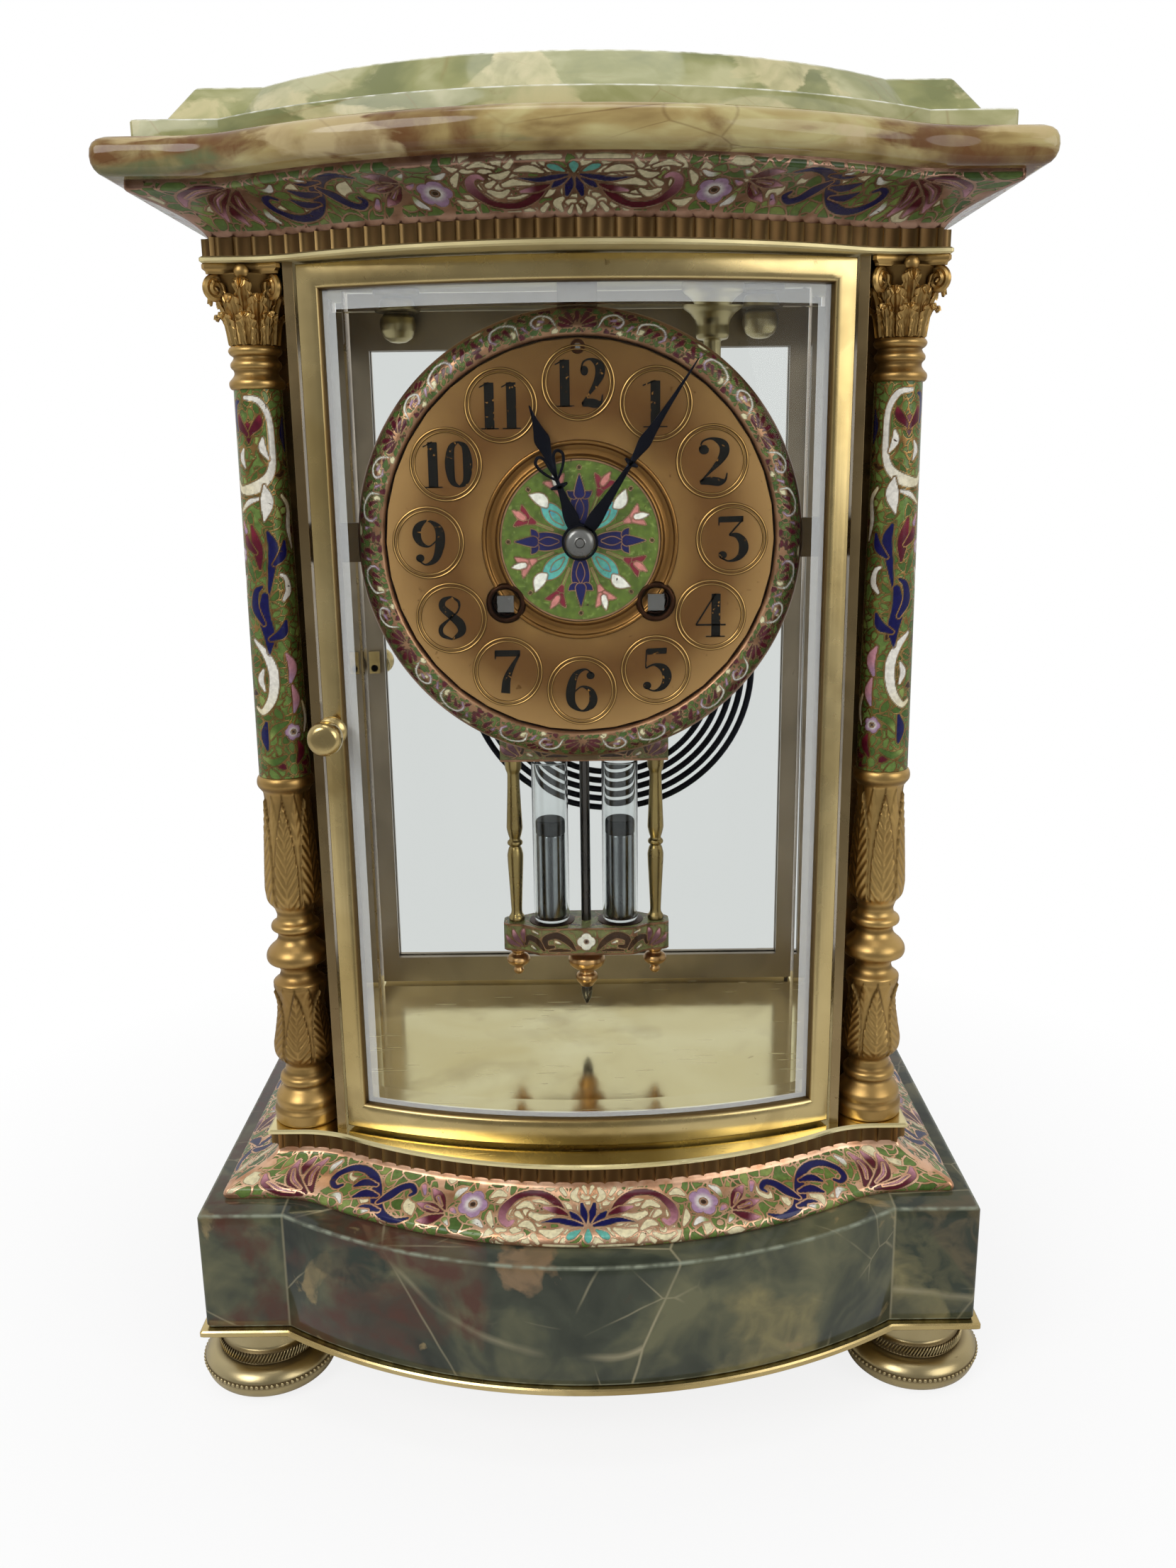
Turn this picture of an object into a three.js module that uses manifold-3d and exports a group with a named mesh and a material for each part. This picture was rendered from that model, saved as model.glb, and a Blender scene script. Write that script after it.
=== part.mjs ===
// Four glass mantel clock: an onyx base and top, enamelled brass mouldings, a glazed brass case with
// a bowed door, and a round striking movement with a mercury pendulum and a coil gong.
// Millimetres, +Z up. The front faces -Y, and the origin is on the table under the middle of the clock.
import * as THREE from 'three';
import { mergeVertices } from 'three/addons/utils/BufferGeometryUtils.js';
import Module from 'manifold-3d';

const wasm = await Module();
wasm.setup();

// Fits and fineness
const GAP = 0.3;
const LAP = 1;
const WELD = 1e-4;
const ARC_STEPS = 18;
const HOLLOW_STEPS = 4;
const TURNED_SIDES = 14;
const ARBOR_SIDES = 8;

// Heights of the stacked storeys, from the table up
const PLATE_BOTTOM = 22.5;
const BLOCK_BOTTOM = 24.5;
const BLOCK_TOP = 59.5;
const BASE_BAND = 69.3;
const PLINTH_UNDER = 73.8;
const PLINTH_TOP = 75.3;
const DOOR_BOTTOM = 76.3;
const DOOR_TOP = 303.2;
const CEILING = 303.8;
const CEILING_TOP = 305.3;
const CORNICE_BOTTOM = 309.6;
const SLAB_BOTTOM = 319.6;
const SLAB_TOP = 327.6;
const STEP_TOP = 332.6;
const CAP_FOOT = 333.1;
const CAP_TOP = 342.3;

// Bow-fronted plans: half width, ear front, bow apex and back as Y, where the ears end, and the radius
// of the hollow between ear and bow (0 leaves a crisp crease)
const BASE_PLATE_PLAN = { half: 108, ear: -63.2, apex: -88, rear: 88, earEnd: 83.6, hollow: 0 };
const BLOCK_PLAN = { half: 106.4, ear: -61.5, apex: -86.7, rear: 86.4, earEnd: 83, hollow: 0 };
const MOULDING_FOOT_PLAN = { half: 101.2, ear: -53.8, apex: -78.9, rear: 79, earEnd: 88, hollow: 30 };
const BAND_PLAN = { half: 88, ear: -42.5, apex: -63, rear: 67.7, earEnd: 81, hollow: 32 };
const PLINTH_PLAN = { half: 90, ear: -44.3, apex: -64.9, rear: 69.5, earEnd: 81, hollow: 32 };
const CORNICE_TOP_PLAN = { half: 102, ear: -57.5, apex: -80.9, rear: 80.5, earEnd: 88, hollow: 30 };
const SLAB_PLAN = { half: 107.3, ear: -64.1, apex: -87.5, rear: 86.4, earEnd: 92, hollow: 34 };
const STEP_PLAN = { half: 100, ear: -55.5, apex: -79.5, rear: 79.5, earEnd: 80, hollow: 0 };
const CAP_FOOT_PLAN = { half: 95, ear: -48, apex: -73, rear: 74, earEnd: 77.5, hollow: 0 };
const CAP_TOP_PLAN = { half: 88, ear: -42, apex: -67.5, rear: 67, earEnd: 72.5, hollow: 0 };

// Edges: share of the way from one plan to the next, or inset from a plan, with height above the storey
const BLOCK_CHAMFER = 1.2;
const BASE_OGEE = [
  [0.05, 0], [0, 0.9], [0.01, 2.1], [0.1, 3.4], [0.4, 4.9], [0.72, 6.4], [0.93, 8.2], [1, 9.8],
];
const CORNICE_COVE = [[0, 0], [0.1, 1.7], [0.29, 3.7], [0.58, 5.7], [0.9, 7.4], [1, 8.1], [1, 10]];
const SLAB_NOSE = [[2.4, 0], [0.6, 1.3], [0, 3.8], [0.6, 6.6], [2.4, 8]];
const CAP_ROUNDING = 0.7;

// Bun feet
const FOOT_X = 93.5;
const FOOT_FRONT = -44;
const FOOT_REAR = 68.5;
const FOOT_PROFILE = [
  [0, 0], [12, 0], [17, 1.6], [19, 4.4], [19.2, 6.4], [18, 8.4], [15.4, 10], [14.4, 10.2],
  [15, 11.8], [14.4, 13.4], [13, 13.8], [11.6, PLATE_BOTTOM], [0, PLATE_BOTTOM],
];

// Columns, as radius and height
const COLUMN_X = 80.3;
const COLUMN_Y = -34.5;
const COLUMN_BASE_TOP = 176.2;
const SHAFT_TOP = 275;
const ABACUS_BOTTOM = 300.4;
const ABACUS_HALF = 9.5;
const COLUMN_BASE_PROFILE = [
  [0, PLINTH_TOP], [9, PLINTH_TOP], [9, 77.4], [8.3, 80.5], [6, 83.4], [6.8, 88], [5.5, 92.3], [8.2, 97.8],
  [6.3, 112.5], [7.6, 116.3], [5, 120.1], [8.4, 125.4], [8.2, 127.9], [5, 130.6], [6.6, 133.6], [4.8, 136.8],
  [7.5, 143.2], [7, 154.9], [6.4, 172.3], [7.6, 173.8], [7.6, COLUMN_BASE_TOP], [0, COLUMN_BASE_TOP],
];
const SHAFT_PROFILE = [[0, COLUMN_BASE_TOP], [6.8, COLUMN_BASE_TOP], [5.95, SHAFT_TOP], [0, SHAFT_TOP]];
const CAPITAL_PROFILE = [
  [0, SHAFT_TOP], [6.4, SHAFT_TOP], [6.8, 277.4], [5.7, 279.6], [6.3, 286], [7, 287.2], [6.2, 288.6],
  [6.6, 294], [8.6, ABACUS_BOTTOM], [0, ABACUS_BOTTOM],
];

// Bowed front door
const DOOR_HALF = 67.4;
const DOOR_APEX = -56.2;
const DOOR_END = -43.5;
const DOOR_THICK = 6;
const STILE = 5.8;
const DOOR_TOP_RAIL = 5.8;
const DOOR_BOTTOM_RAIL = 7.4;
const GLASS_THICK = 1.6;
const GROOVE_DEPTH = 1.4;
const DOOR_RISE = DOOR_END - DOOR_APEX;
const DOOR_RADIUS = (DOOR_HALF ** 2 + DOOR_RISE ** 2) / (2 * DOOR_RISE);
const DOOR_CENTRE_Y = DOOR_APEX + DOOR_RADIUS;
const DOOR_PIVOT = { x: 66.2, y: -42.9 };
const PIVOT_RADIUS = 0.9;
const PIVOT_LENGTH = 1.6;
const DOOR_STEPS = 12;

// Flat rear door
const REAR_HALF = 73.2;
const REAR_INNER = 61;
const REAR_OUTER = 67;
const REAR_STILE = 6;
const REAR_BOTTOM_RAIL = 9;
const REAR_TOP_RAIL = 11.6;
const REAR_PIVOT = { x: 72, y: 65.6 };

// Door catches: a turned knob, a shaft through the stile and a tongue inside
const KNOB_Z = 190;
const FRONT_KNOB_X = -64.5;
const REAR_KNOB_X = -70.2;
const SHAFT_RADIUS = 1.2;
const BOSS_RADIUS = 2.8;
const FRONT_BOSS = DOOR_CENTRE_Y - Math.sqrt(DOOR_RADIUS ** 2 - FRONT_KNOB_X ** 2) - 1.6;
const FRONT_TONGUE = [-36.8, -34.4];
const REAR_TONGUE = [58.3, 60.7];
const TONGUE_LENGTH = 5.6;
const TONGUE_HALF = 1.8;
const TONGUE_THICK = 1.8;
const KNOB_PROFILE = [
  [0, 0], [3.9, 0], [3.9, 1.2], [2.3, 2.2], [2, 5.2], [3.6, 7.2], [4.4, 8], [4.4, 11], [3.4, 12], [0, 12.4],
];

// Side frames: posts, rails and the jamb that the front door closes against
const SIDE_OUT = 79.5;
const SIDE_IN = 74.5;
const REAR_POST_IN = 74.3;
const JAMB_IN = 67.9;
const JAMB_OUT = 70.4;
const JAMB_FRONT = -43.3;
const RETURN_FRONT = -25;
const RETURN_REAR = -22;
const FRONT_POST_REAR = -15;
const REAR_POST_FRONT = 58;
const REAR_POST_REAR = 67.3;
const SIDE_RAIL = 10.5;

// Dial and movement, laid out on a plane with its own axes: x right, y up, z to the front of the dial
const DIAL_Y = -34.8;
const DIAL_Z = 236.9;
const DIAL_RADIUS = 49.7;
const DIAL_THICK = 2;
const CENTRE_DISC_RADIUS = 20.4;
const CENTRE_DISC = [0.3, 1.1];
const BEZEL_PROFILE = [[50.1, -3.4], [57.5, -3.4], [56.7, -1.5], [54, 0.7], [51.2, 1.2], [50.1, 0.4]];
const BEZEL_SIDES = 36;
const WINDING = { x: 19.4, y: -15.7 };
const WINDING_HOLE = 5;
const PLATE_RADIUS = 42;
const FRONT_PLATE = [-12, -9.5];
const BACK_PLATE = [-46.5, -44];
const PILLARS = [[-30, 24], [30, 24], [-8, -36.5], [8, -36.5]];
const PILLAR_RADIUS = 2.2;
const PIPE_HOLE = 3.7;
const PIPE_RADIUS = 3.1;
const PIPE_END = 5;
const HAND_ARBOR = 1.8;
const HAND_ARBOR_END = 9;
const COLLET_FOOT = 7.2;
const STUD_RADIUS = 0.9;
const WINDING_ARBOR = 2.6;
const WINDING_SQUARE = 2.1;
const SQUARE_SPAN = [-3, 2.5];
const WINDING_PIVOT = 1.6;
const FRONT_HOLES = { centre: 2.4, pivot: 1.2, pallets: 1.2, winding: 3 };
const BACK_HOLES = { centre: 1.2, pivot: 1.2, pallets: 1.6, winding: 2 };
const COCK = { half: 7, foot: 1.5, depth: 13.5 };
const BRACKET = { inner: 46, outer: 54, back: -6.8, front: -3.8, arm: 5, lugRadius: 38 };

// Wheel train: tooth counts, centres and layers between the plates
const BARREL_TEETH = 60;
const MIDDLE_TEETH = 56;
const MIDDLE_LEAVES = 10;
const CENTRE_TEETH = 72;
const CENTRE_LEAVES = 8;
const THIRD_TEETH = 69;
const THIRD_LEAVES = 6;
const ESCAPE_TEETH = 36;
const ESCAPE_LEAVES = 6;
const CANNON_LEAVES = 12;
const MINUTE_TEETH = 36;
const MINUTE_LEAVES = 10;
const HOUR_TEETH = 40;
const CENTRE = { x: 0, y: 0 };
const MIDDLE = { x: 16.1, y: 5.45 };
const THIRD = { x: -10.43, y: 11.6 };
const ESCAPE = { x: 0, y: 20.1 };
const PALLETS = { x: 0, y: 33.5 };
const MINUTE_STUD = { x: -9.9, y: 9.9 };
const ADDENDUM = 0.55;
const DEDENDUM = 1.05;
const ESCAPE_RADIUS = 9.5;
const ESCAPE_ROOT = 7.8;
const DRUM_RADIUS = 17.2;
const PIVOT_REACH = 1.5;
const ARBORS = {
  stout: { shank: 1.2, pivot: 0.8 }, third: { shank: 0.7, pivot: 0.6 }, escape: { shank: 0.65, pivot: 0.55 },
  pallets: { shank: 1, pivot: 0.8 },
};
const LAYERS = {
  middleWheel: [-14.4, -13.2], centrePinion: [-14.8, -12.8], centreWheel: [-17.2, -16],
  thirdPinion: [-17.7, -15.5], drum: [-34.8, -19], barrelWheel: [-37, -34.5], middlePinion: [-37.5, -34],
  thirdWheel: [-40, -38.8], escapePinion: [-40.5, -38.3], escapeWheel: [-42.6, -41.6], anchor: [-43, -41.2],
  cannon: [-8.8, -7.2], minuteWheel: [-8.6, -7.4], minutePinion: [-7.7, -4.6], hourWheel: [-6.2, -5],
  crutch: [-50.2, -48.6],
};

// Pallets over the escape wheel, and the crutch and fork that drive the pendulum
const ANCHOR_ARMS = [
  [-2.2, 34.5], [-9.6, 29.4], [-8.9, 27.6], [-8, 27.4], [-7.7, 28.6], [-2.2, 31.8],
  [2.2, 31.8], [7.7, 28.6], [8, 27.4], [8.9, 27.6], [9.6, 29.4], [2.2, 34.5],
];
const CRUTCH_HALF = 1;
const FORK = { inner: 2.2, outer: 3.6, foot: 5, top: 8, reach: 8 };

// Hands, stored at the time that the clock shows
const HOUR_ANGLE = 20;
const MINUTE_ANGLE = -33.9;
const HOUR_LAYER = [3, 3.9];
const MINUTE_LAYER = [6, 6.9];
const HOUR_HAND = [[1.4, 5], [1, 11.5], [3.8, 15.6], [4, 19.4], [1, 22.4], [1.9, 27.8], [0.35, 35.2]];
const MINUTE_HAND = [[1.2, 4], [1.9, 9], [0.8, 23.3], [1.9, 24.3], [0.9, 25.3], [1.9, 36.5], [0.3, 53]];
const HAND_BOSS_WALL = 2;
const COLLET_PROFILE = [
  [0, COLLET_FOOT], [3.9, COLLET_FOOT], [3.6, COLLET_FOOT + 1.4], [2.4, COLLET_FOOT + 2.5],
  [0, COLLET_FOOT + 2.9],
];

// Mercury pendulum, hanging straight down behind the movement
const PENDULUM_Y = 20;
const PENDULUM_PIVOT_Z = DIAL_Z + PALLETS.y;
const ROD_RADIUS = 1.55;
const ROD_FOOT = 97;
const ROD_HEAD = 263;
const CLEAT = { half: 2.4, halfDepth: 1.6, height: 3 };
const SPRING = { half: 2, halfThick: 0.25, above: 0.6 };
const TRAY_TOP = 114;
const TRAY_BOTTOM = 105;
const TRAY_HALF = 26.4;
// One quarter of the tray's plan, from its end to its middle
const TRAY_PLAN = [[TRAY_HALF, 2.4], [25.2, 3.5], [21, 4.4], [17.5, 6.4], [14, 8.5], [0, 8.5]];
const TRAY_FINIAL_X = 22;
const YOKE_HALF = 26;
const YOKE_HALF_DEPTH = 4;
const YOKE_BOTTOM = 167;
const YOKE_TOP = 176;
const JAR_X = 10.95;
const JAR_RADIUS = 5.65;
const JAR_WALL = 0.6;
const MERCURY_TOP = 147.5;
const PENDULUM_PILLAR_X = 22.2;
const NUT_PROFILE = [
  [0, 84.7], [1.7, 87.6], [1.7, 91], [2.6, 91.4], [3.5, 94.8], [2.9, 97], [5.6, 100.6], [4, 103.2],
  [4, TRAY_BOTTOM - GAP], [0, TRAY_BOTTOM - GAP],
];
const PENDULUM_PILLAR_PROFILE = [
  [0, TRAY_TOP + GAP], [2.55, TRAY_TOP + GAP], [2.55, 115.6], [1.7, 117], [2.55, 136.3], [1.7, 138.8],
  [2.45, 140], [1.7, 141.2], [2.55, 144.7], [1.85, 162], [2.6, 164.5], [2.6, YOKE_BOTTOM + LAP],
  [0, YOKE_BOTTOM + LAP],
];
const TRAY_FINIAL_PROFILE = [
  [0, 95.6], [1.2, 95.9], [1.85, 97], [1.2, 98.2], [3.85, 100.6], [2.4, 103.2], [2.4, TRAY_BOTTOM + LAP],
  [0, TRAY_BOTTOM + LAP],
];

// Coil gong: a wire spiral on a post that hangs from the ceiling
const GONG = { x: 7.7, y: 36.5, z: 191.7, outer: 45.8, pitch: 3, turns: 5, wire: 1, tail: 40 };
const GONG_STEPS = 24;
const GONG_SIDES = 6;
const GONG_TAIL_STEPS = 4;
const POST_X = 40;
const GONG_BLOCK = { left: 36, right: 57, half: 3.5, bottom: GONG.z + GONG.tail + GAP, top: 240.5 };
const POST_PROFILE = [
  [0, 239], [2.6, 239], [2.6, 280], [4.6, 282], [3.4, 285], [6.4, 291], [4.4, 296.5], [8.5, 299.5],
  [8.5, CEILING], [0, CEILING],
];

// Strike hammer on a stud behind the movement
const HAMMER_PIVOT = { x: -30, y: 13 };
const HAMMER_REST = 51.6;
const HAMMER_HEAD_RADIUS = 3.5;
const HAMMER_STUD_RADIUS = 1.5;
const HAMMER_STUD_REACH = 4;
const HAMMER_HUB = 4;
const HAMMER_ARM_HALF = 1.5;
const HAMMER_THICK = 3;
const HAMMER_HEAD_SPAN = [-4, 5];

function finish(color, roughness, metalness) {
  return new THREE.MeshStandardMaterial({ color, roughness, metalness });
}

const FINISHES = {
  onyx: () => finish('#5d6650', 0.25, 0),
  paleOnyx: () => finish('#a3a877', 0.25, 0),
  enamel: () => finish('#6f8a52', 0.35, 0.2),
  brass: () => finish('#a98545', 0.42, 0.9),
  gilt: () => finish('#96743a', 0.55, 0.85),
  paleBrass: () => finish('#a59368', 0.4, 0.9),
  dial: () => finish('#c9a468', 0.5, 0.6),
  steel: () => finish('#9a9a98', 0.3, 1),
  blackened: () => finish('#1b1a20', 0.35, 0.6),
  mercury: () => finish('#c4c6c8', 0.12, 1),
  glass: () => finish('#dfe8e2', 0.05, 0),
};

const clock = new THREE.Group();

// Solids

// A closed solid from a geometry: doubles merged, collapsed faces dropped, and turned right side out.
function solid(geometry) {
  const bare = geometry.clone();
  bare.deleteAttribute('normal');
  bare.deleteAttribute('uv');
  const merged = mergeVertices(bare, WELD);
  const at = (i) => new THREE.Vector3().fromBufferAttribute(merged.attributes.position, i);
  const faces = [];
  let volume = 0;
  for (let i = 0; i < merged.index.count; i += 3) {
    const [a, b, c] = [0, 1, 2].map((k) => merged.index.getX(i + k));
    if (a === b || b === c || c === a) continue;
    faces.push([a, b, c]);
    volume += at(a).dot(at(b).cross(at(c)));
  }
  const turned = volume < 0 ? faces.map(([a, b, c]) => [a, c, b]) : faces;
  const triVerts = new Uint32Array(turned.flat());
  const vertProperties = new Float32Array(merged.attributes.position.array);
  return new wasm.Manifold(new wasm.Mesh({ numProp: 3, vertProperties, triVerts }));
}

function joined(...bodies) {
  return bodies.reduce((whole, body) => whole.add(body));
}

function cut(body, ...cutters) {
  return cutters.reduce((rest, cutter) => rest.subtract(cutter), body);
}

// One named sub-part in a group.
function piece(parent, name, body, material) {
  const { vertProperties, triVerts } = body.getMesh();
  const geometry = new THREE.BufferGeometry();
  geometry.setAttribute('position', new THREE.BufferAttribute(vertProperties, 3));
  geometry.setIndex(new THREE.BufferAttribute(triVerts, 1));
  geometry.computeVertexNormals();
  const mesh = new THREE.Mesh(geometry, material);
  mesh.name = name;
  parent.add(mesh);
}

function turned(profile, sides = TURNED_SIDES) {
  const points = profile.map(([r, z]) => new THREE.Vector2(r, z));
  return new THREE.LatheGeometry(points, sides).rotateX(Math.PI / 2);
}

// A ring turned about the axis, whose profile closes on itself.
function turnedRing(profile, sides) {
  return turned([...profile, profile[0]], sides);
}

function circle(x, y, radius, sides = ARBOR_SIDES) {
  return Array.from({ length: sides }, (_, i) => {
    const angle = (2 * Math.PI * i) / sides;
    return [x + radius * Math.cos(angle), y + radius * Math.sin(angle)];
  });
}

// A prism from one height to another over an outline with holes.
function prism(outline, [low, high], holes = []) {
  const shape = new THREE.Shape(outline.map(([x, y]) => new THREE.Vector2(x, y)));
  shape.holes = holes.map((hole) => new THREE.Path(hole.map(([x, y]) => new THREE.Vector2(x, y))));
  const geometry = new THREE.ExtrudeGeometry(shape, { depth: high - low, bevelEnabled: false });
  return solid(geometry.translate(0, 0, low));
}

function rod(x, y, radius, span, sides = ARBOR_SIDES) {
  return prism(circle(x, y, radius, sides), span);
}

function box([x0, x1], [y0, y1], [z0, z1]) {
  const geometry = new THREE.BoxGeometry(Math.abs(x1 - x0), y1 - y0, z1 - z0);
  return solid(geometry.translate((x0 + x1) / 2, (y0 + y1) / 2, (z0 + z1) / 2));
}

// The outline of a bow-fronted slab, as a fixed count of points, so that plans can be lofted.
function bowOutline({ half, ear, apex, rear, earEnd, hollow }) {
  const rise = ear - apex;
  const reach = (earEnd ** 2 + rise ** 2) / (2 * rise);
  const bow = reach - hollow;
  const centreY = apex + bow;
  const sweep = Math.asin(earEnd / reach);
  const points = [[-half, rear], [-half, ear]];
  for (let i = 0; i <= HOLLOW_STEPS; i += 1) {
    const angle = (sweep * i) / HOLLOW_STEPS;
    points.push([-earEnd + hollow * Math.sin(angle), ear - hollow + hollow * Math.cos(angle)]);
  }
  for (let i = 1; i < ARC_STEPS; i += 1) {
    const angle = sweep * ((2 * i) / ARC_STEPS - 1);
    points.push([bow * Math.sin(angle), centreY - bow * Math.cos(angle)]);
  }
  for (let i = HOLLOW_STEPS; i >= 0; i -= 1) {
    const angle = (sweep * i) / HOLLOW_STEPS;
    points.push([earEnd - hollow * Math.sin(angle), ear - hollow + hollow * Math.cos(angle)]);
  }
  points.push([half, ear], [half, rear]);
  const apart = ([x0, y0], [x1, y1]) => Math.hypot(x1 - x0, y1 - y0);
  return points.filter((point, i) => i === 0 || apart(point, points[i - 1]) > WELD);
}

// A plan part of the way from one plan to another.
function between(low, high, share) {
  const entries = Object.keys(low).map((key) => [key, low[key] + (high[key] - low[key]) * share]);
  return Object.fromEntries(entries);
}

function inset(plan, by) {
  return { ...plan, half: plan.half - by, ear: plan.ear + by, apex: plan.apex + by, rear: plan.rear - by };
}

// A solid through a stack of plans, each at its height.
function loft(storeys) {
  const rings = storeys.map(([plan, z]) => bowOutline(plan).map(([x, y]) => new THREE.Vector3(x, y, z)));
  const count = rings[0].length;
  const corners = [];
  for (let level = 0; level + 1 < rings.length; level += 1) {
    for (let i = 0; i < count; i += 1) {
      const next = (i + 1) % count;
      const [a, b] = [rings[level][i], rings[level][next]];
      const [c, d] = [rings[level + 1][i], rings[level + 1][next]];
      corners.push(a, b, d, a, d, c);
    }
  }
  for (const [ring, order] of [[rings[0], [2, 1, 0]], [rings.at(-1), [0, 1, 2]]]) {
    const flat = ring.map((p) => new THREE.Vector2(p.x, p.y));
    for (const face of THREE.ShapeUtils.triangulateShape(flat, [])) {
      corners.push(...order.map((k) => ring[face[k]]));
    }
  }
  return solid(new THREE.BufferGeometry().setFromPoints(corners));
}

// A moulding whose outline goes from one plan to another along an edge profile.
function swept(profile, from, to, foot) {
  return loft(profile.map(([share, rise]) => [between(from, to, share), foot + rise]));
}

// A spindle along Y, for what passes through a stile.
function spindle(x, z, radius, [y0, y1]) {
  const geometry = new THREE.CylinderGeometry(radius, radius, y1 - y0, ARBOR_SIDES);
  return solid(geometry.translate(x, (y0 + y1) / 2, z));
}

// A group whose own axes lie on the dial: x right, y up, z to the front.
function facingFront(x, y, z) {
  const group = new THREE.Group();
  group.position.set(x, y, z);
  group.rotation.x = Math.PI / 2;
  clock.add(group);
  return group;
}

function standing(x, y, z = 0) {
  const group = new THREE.Group();
  group.position.set(x, y, z);
  clock.add(group);
  return group;
}

// Base

function addFeet() {
  for (const [side, sign] of [['left', -1], ['right', 1]]) {
    for (const [end, y] of [['front', FOOT_FRONT], ['rear', FOOT_REAR]]) {
      const place = standing(sign * FOOT_X, y);
      piece(place, `foot_${end}_${side}`, solid(turned(FOOT_PROFILE)), FINISHES.paleBrass());
    }
  }
}

function addBase() {
  const plate = loft([[BASE_PLATE_PLAN, PLATE_BOTTOM], [BASE_PLATE_PLAN, BLOCK_BOTTOM]]);
  piece(clock, 'base_plate', plate, FINISHES.brass());
  const block = loft([
    [BLOCK_PLAN, BLOCK_BOTTOM],
    [BLOCK_PLAN, BLOCK_TOP - BLOCK_CHAMFER],
    [inset(BLOCK_PLAN, BLOCK_CHAMFER), BLOCK_TOP],
  ]);
  piece(clock, 'base_block', block, FINISHES.onyx());
  const ogee = swept(BASE_OGEE, MOULDING_FOOT_PLAN, BAND_PLAN, BLOCK_TOP);
  piece(clock, 'base_moulding', ogee, FINISHES.enamel());
  const plinth = loft([
    [BAND_PLAN, BASE_BAND], [BAND_PLAN, PLINTH_UNDER],
    [PLINTH_PLAN, PLINTH_UNDER], [PLINTH_PLAN, PLINTH_TOP],
  ]);
  const sockets = pivotSockets([PLINTH_TOP - PIVOT_LENGTH, PLINTH_TOP + GAP]);
  piece(clock, 'plinth_plate', cut(plinth, ...sockets), FINISHES.brass());
}

function pivotSockets(span) {
  return [DOOR_PIVOT, REAR_PIVOT].map(({ x, y }) => rod(x, y, PIVOT_RADIUS + GAP, span));
}

// Case

function addColumns() {
  for (const [side, sign] of [['left', -1], ['right', 1]]) {
    const place = standing(sign * COLUMN_X, COLUMN_Y);
    piece(place, `column_base_${side}`, solid(turned(COLUMN_BASE_PROFILE)), FINISHES.gilt());
    piece(place, `column_shaft_${side}`, solid(turned(SHAFT_PROFILE)), FINISHES.enamel());
    const width = [-ABACUS_HALF, ABACUS_HALF];
    const abacus = box(width, width, [ABACUS_BOTTOM - GAP, CEILING]);
    piece(place, `column_capital_${side}`, joined(solid(turned(CAPITAL_PROFILE)), abacus), FINISHES.gilt());
  }
}

// The swing of a catch's tongue, as the room that it needs beside its knob.
function tonguePocket(fromX, toX, [y0, y1]) {
  return box([fromX, toX], [y0, y1], [KNOB_Z - TONGUE_HALF - GAP, KNOB_Z + TONGUE_LENGTH]);
}

function addSideFrames() {
  const height = [PLINTH_TOP, CEILING];
  const depth = [RETURN_FRONT, REAR_POST_REAR];
  const glassMiddle = (SIDE_IN + SIDE_OUT) / 2;
  const opening = {
    y: [FRONT_POST_REAR, REAR_POST_FRONT],
    z: [PLINTH_TOP + SIDE_RAIL, CEILING - SIDE_RAIL],
  };
  const grown = ([low, high], by) => [low - by, high + by];
  for (const [side, sign] of [['left', -1], ['right', 1]]) {
    const across = (near, far) => [sign * near, sign * far];
    const bars = joined(
      box(across(SIDE_IN, SIDE_OUT), [RETURN_FRONT, FRONT_POST_REAR], height),
      box(across(REAR_POST_IN, SIDE_OUT), [REAR_POST_FRONT, REAR_POST_REAR], height),
      box(across(SIDE_IN, SIDE_OUT), depth, [PLINTH_TOP, opening.z[0]]),
      box(across(SIDE_IN, SIDE_OUT), depth, [opening.z[1], CEILING]),
      box(across(JAMB_IN, SIDE_OUT), [RETURN_FRONT, RETURN_REAR], height),
      box(across(JAMB_IN, JAMB_OUT), [JAMB_FRONT, RETURN_REAR], height),
    );
    const slot = across(glassMiddle - GLASS_THICK / 2 - GAP, glassMiddle + GLASS_THICK / 2 + GAP);
    const groove = box(slot, grown(opening.y, GROOVE_DEPTH), grown(opening.z, GROOVE_DEPTH));
    const pockets = sign > 0 ? [] : [
      tonguePocket(-JAMB_OUT - GAP, -JAMB_IN + GAP, FRONT_TONGUE),
      tonguePocket(-REAR_POST_IN - 2 * TONGUE_HALF, -REAR_POST_IN + GAP, REAR_TONGUE),
    ];
    piece(clock, `side_frame_${side}`, cut(bars, groove, ...pockets), FINISHES.brass());
    const pane = across(glassMiddle - GLASS_THICK / 2, glassMiddle + GLASS_THICK / 2);
    const margin = GROOVE_DEPTH - GAP;
    const glass = box(pane, grown(opening.y, margin), grown(opening.z, margin));
    piece(clock, `side_glass_${side}`, glass, FINISHES.glass());
  }
}

// Top

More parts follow.
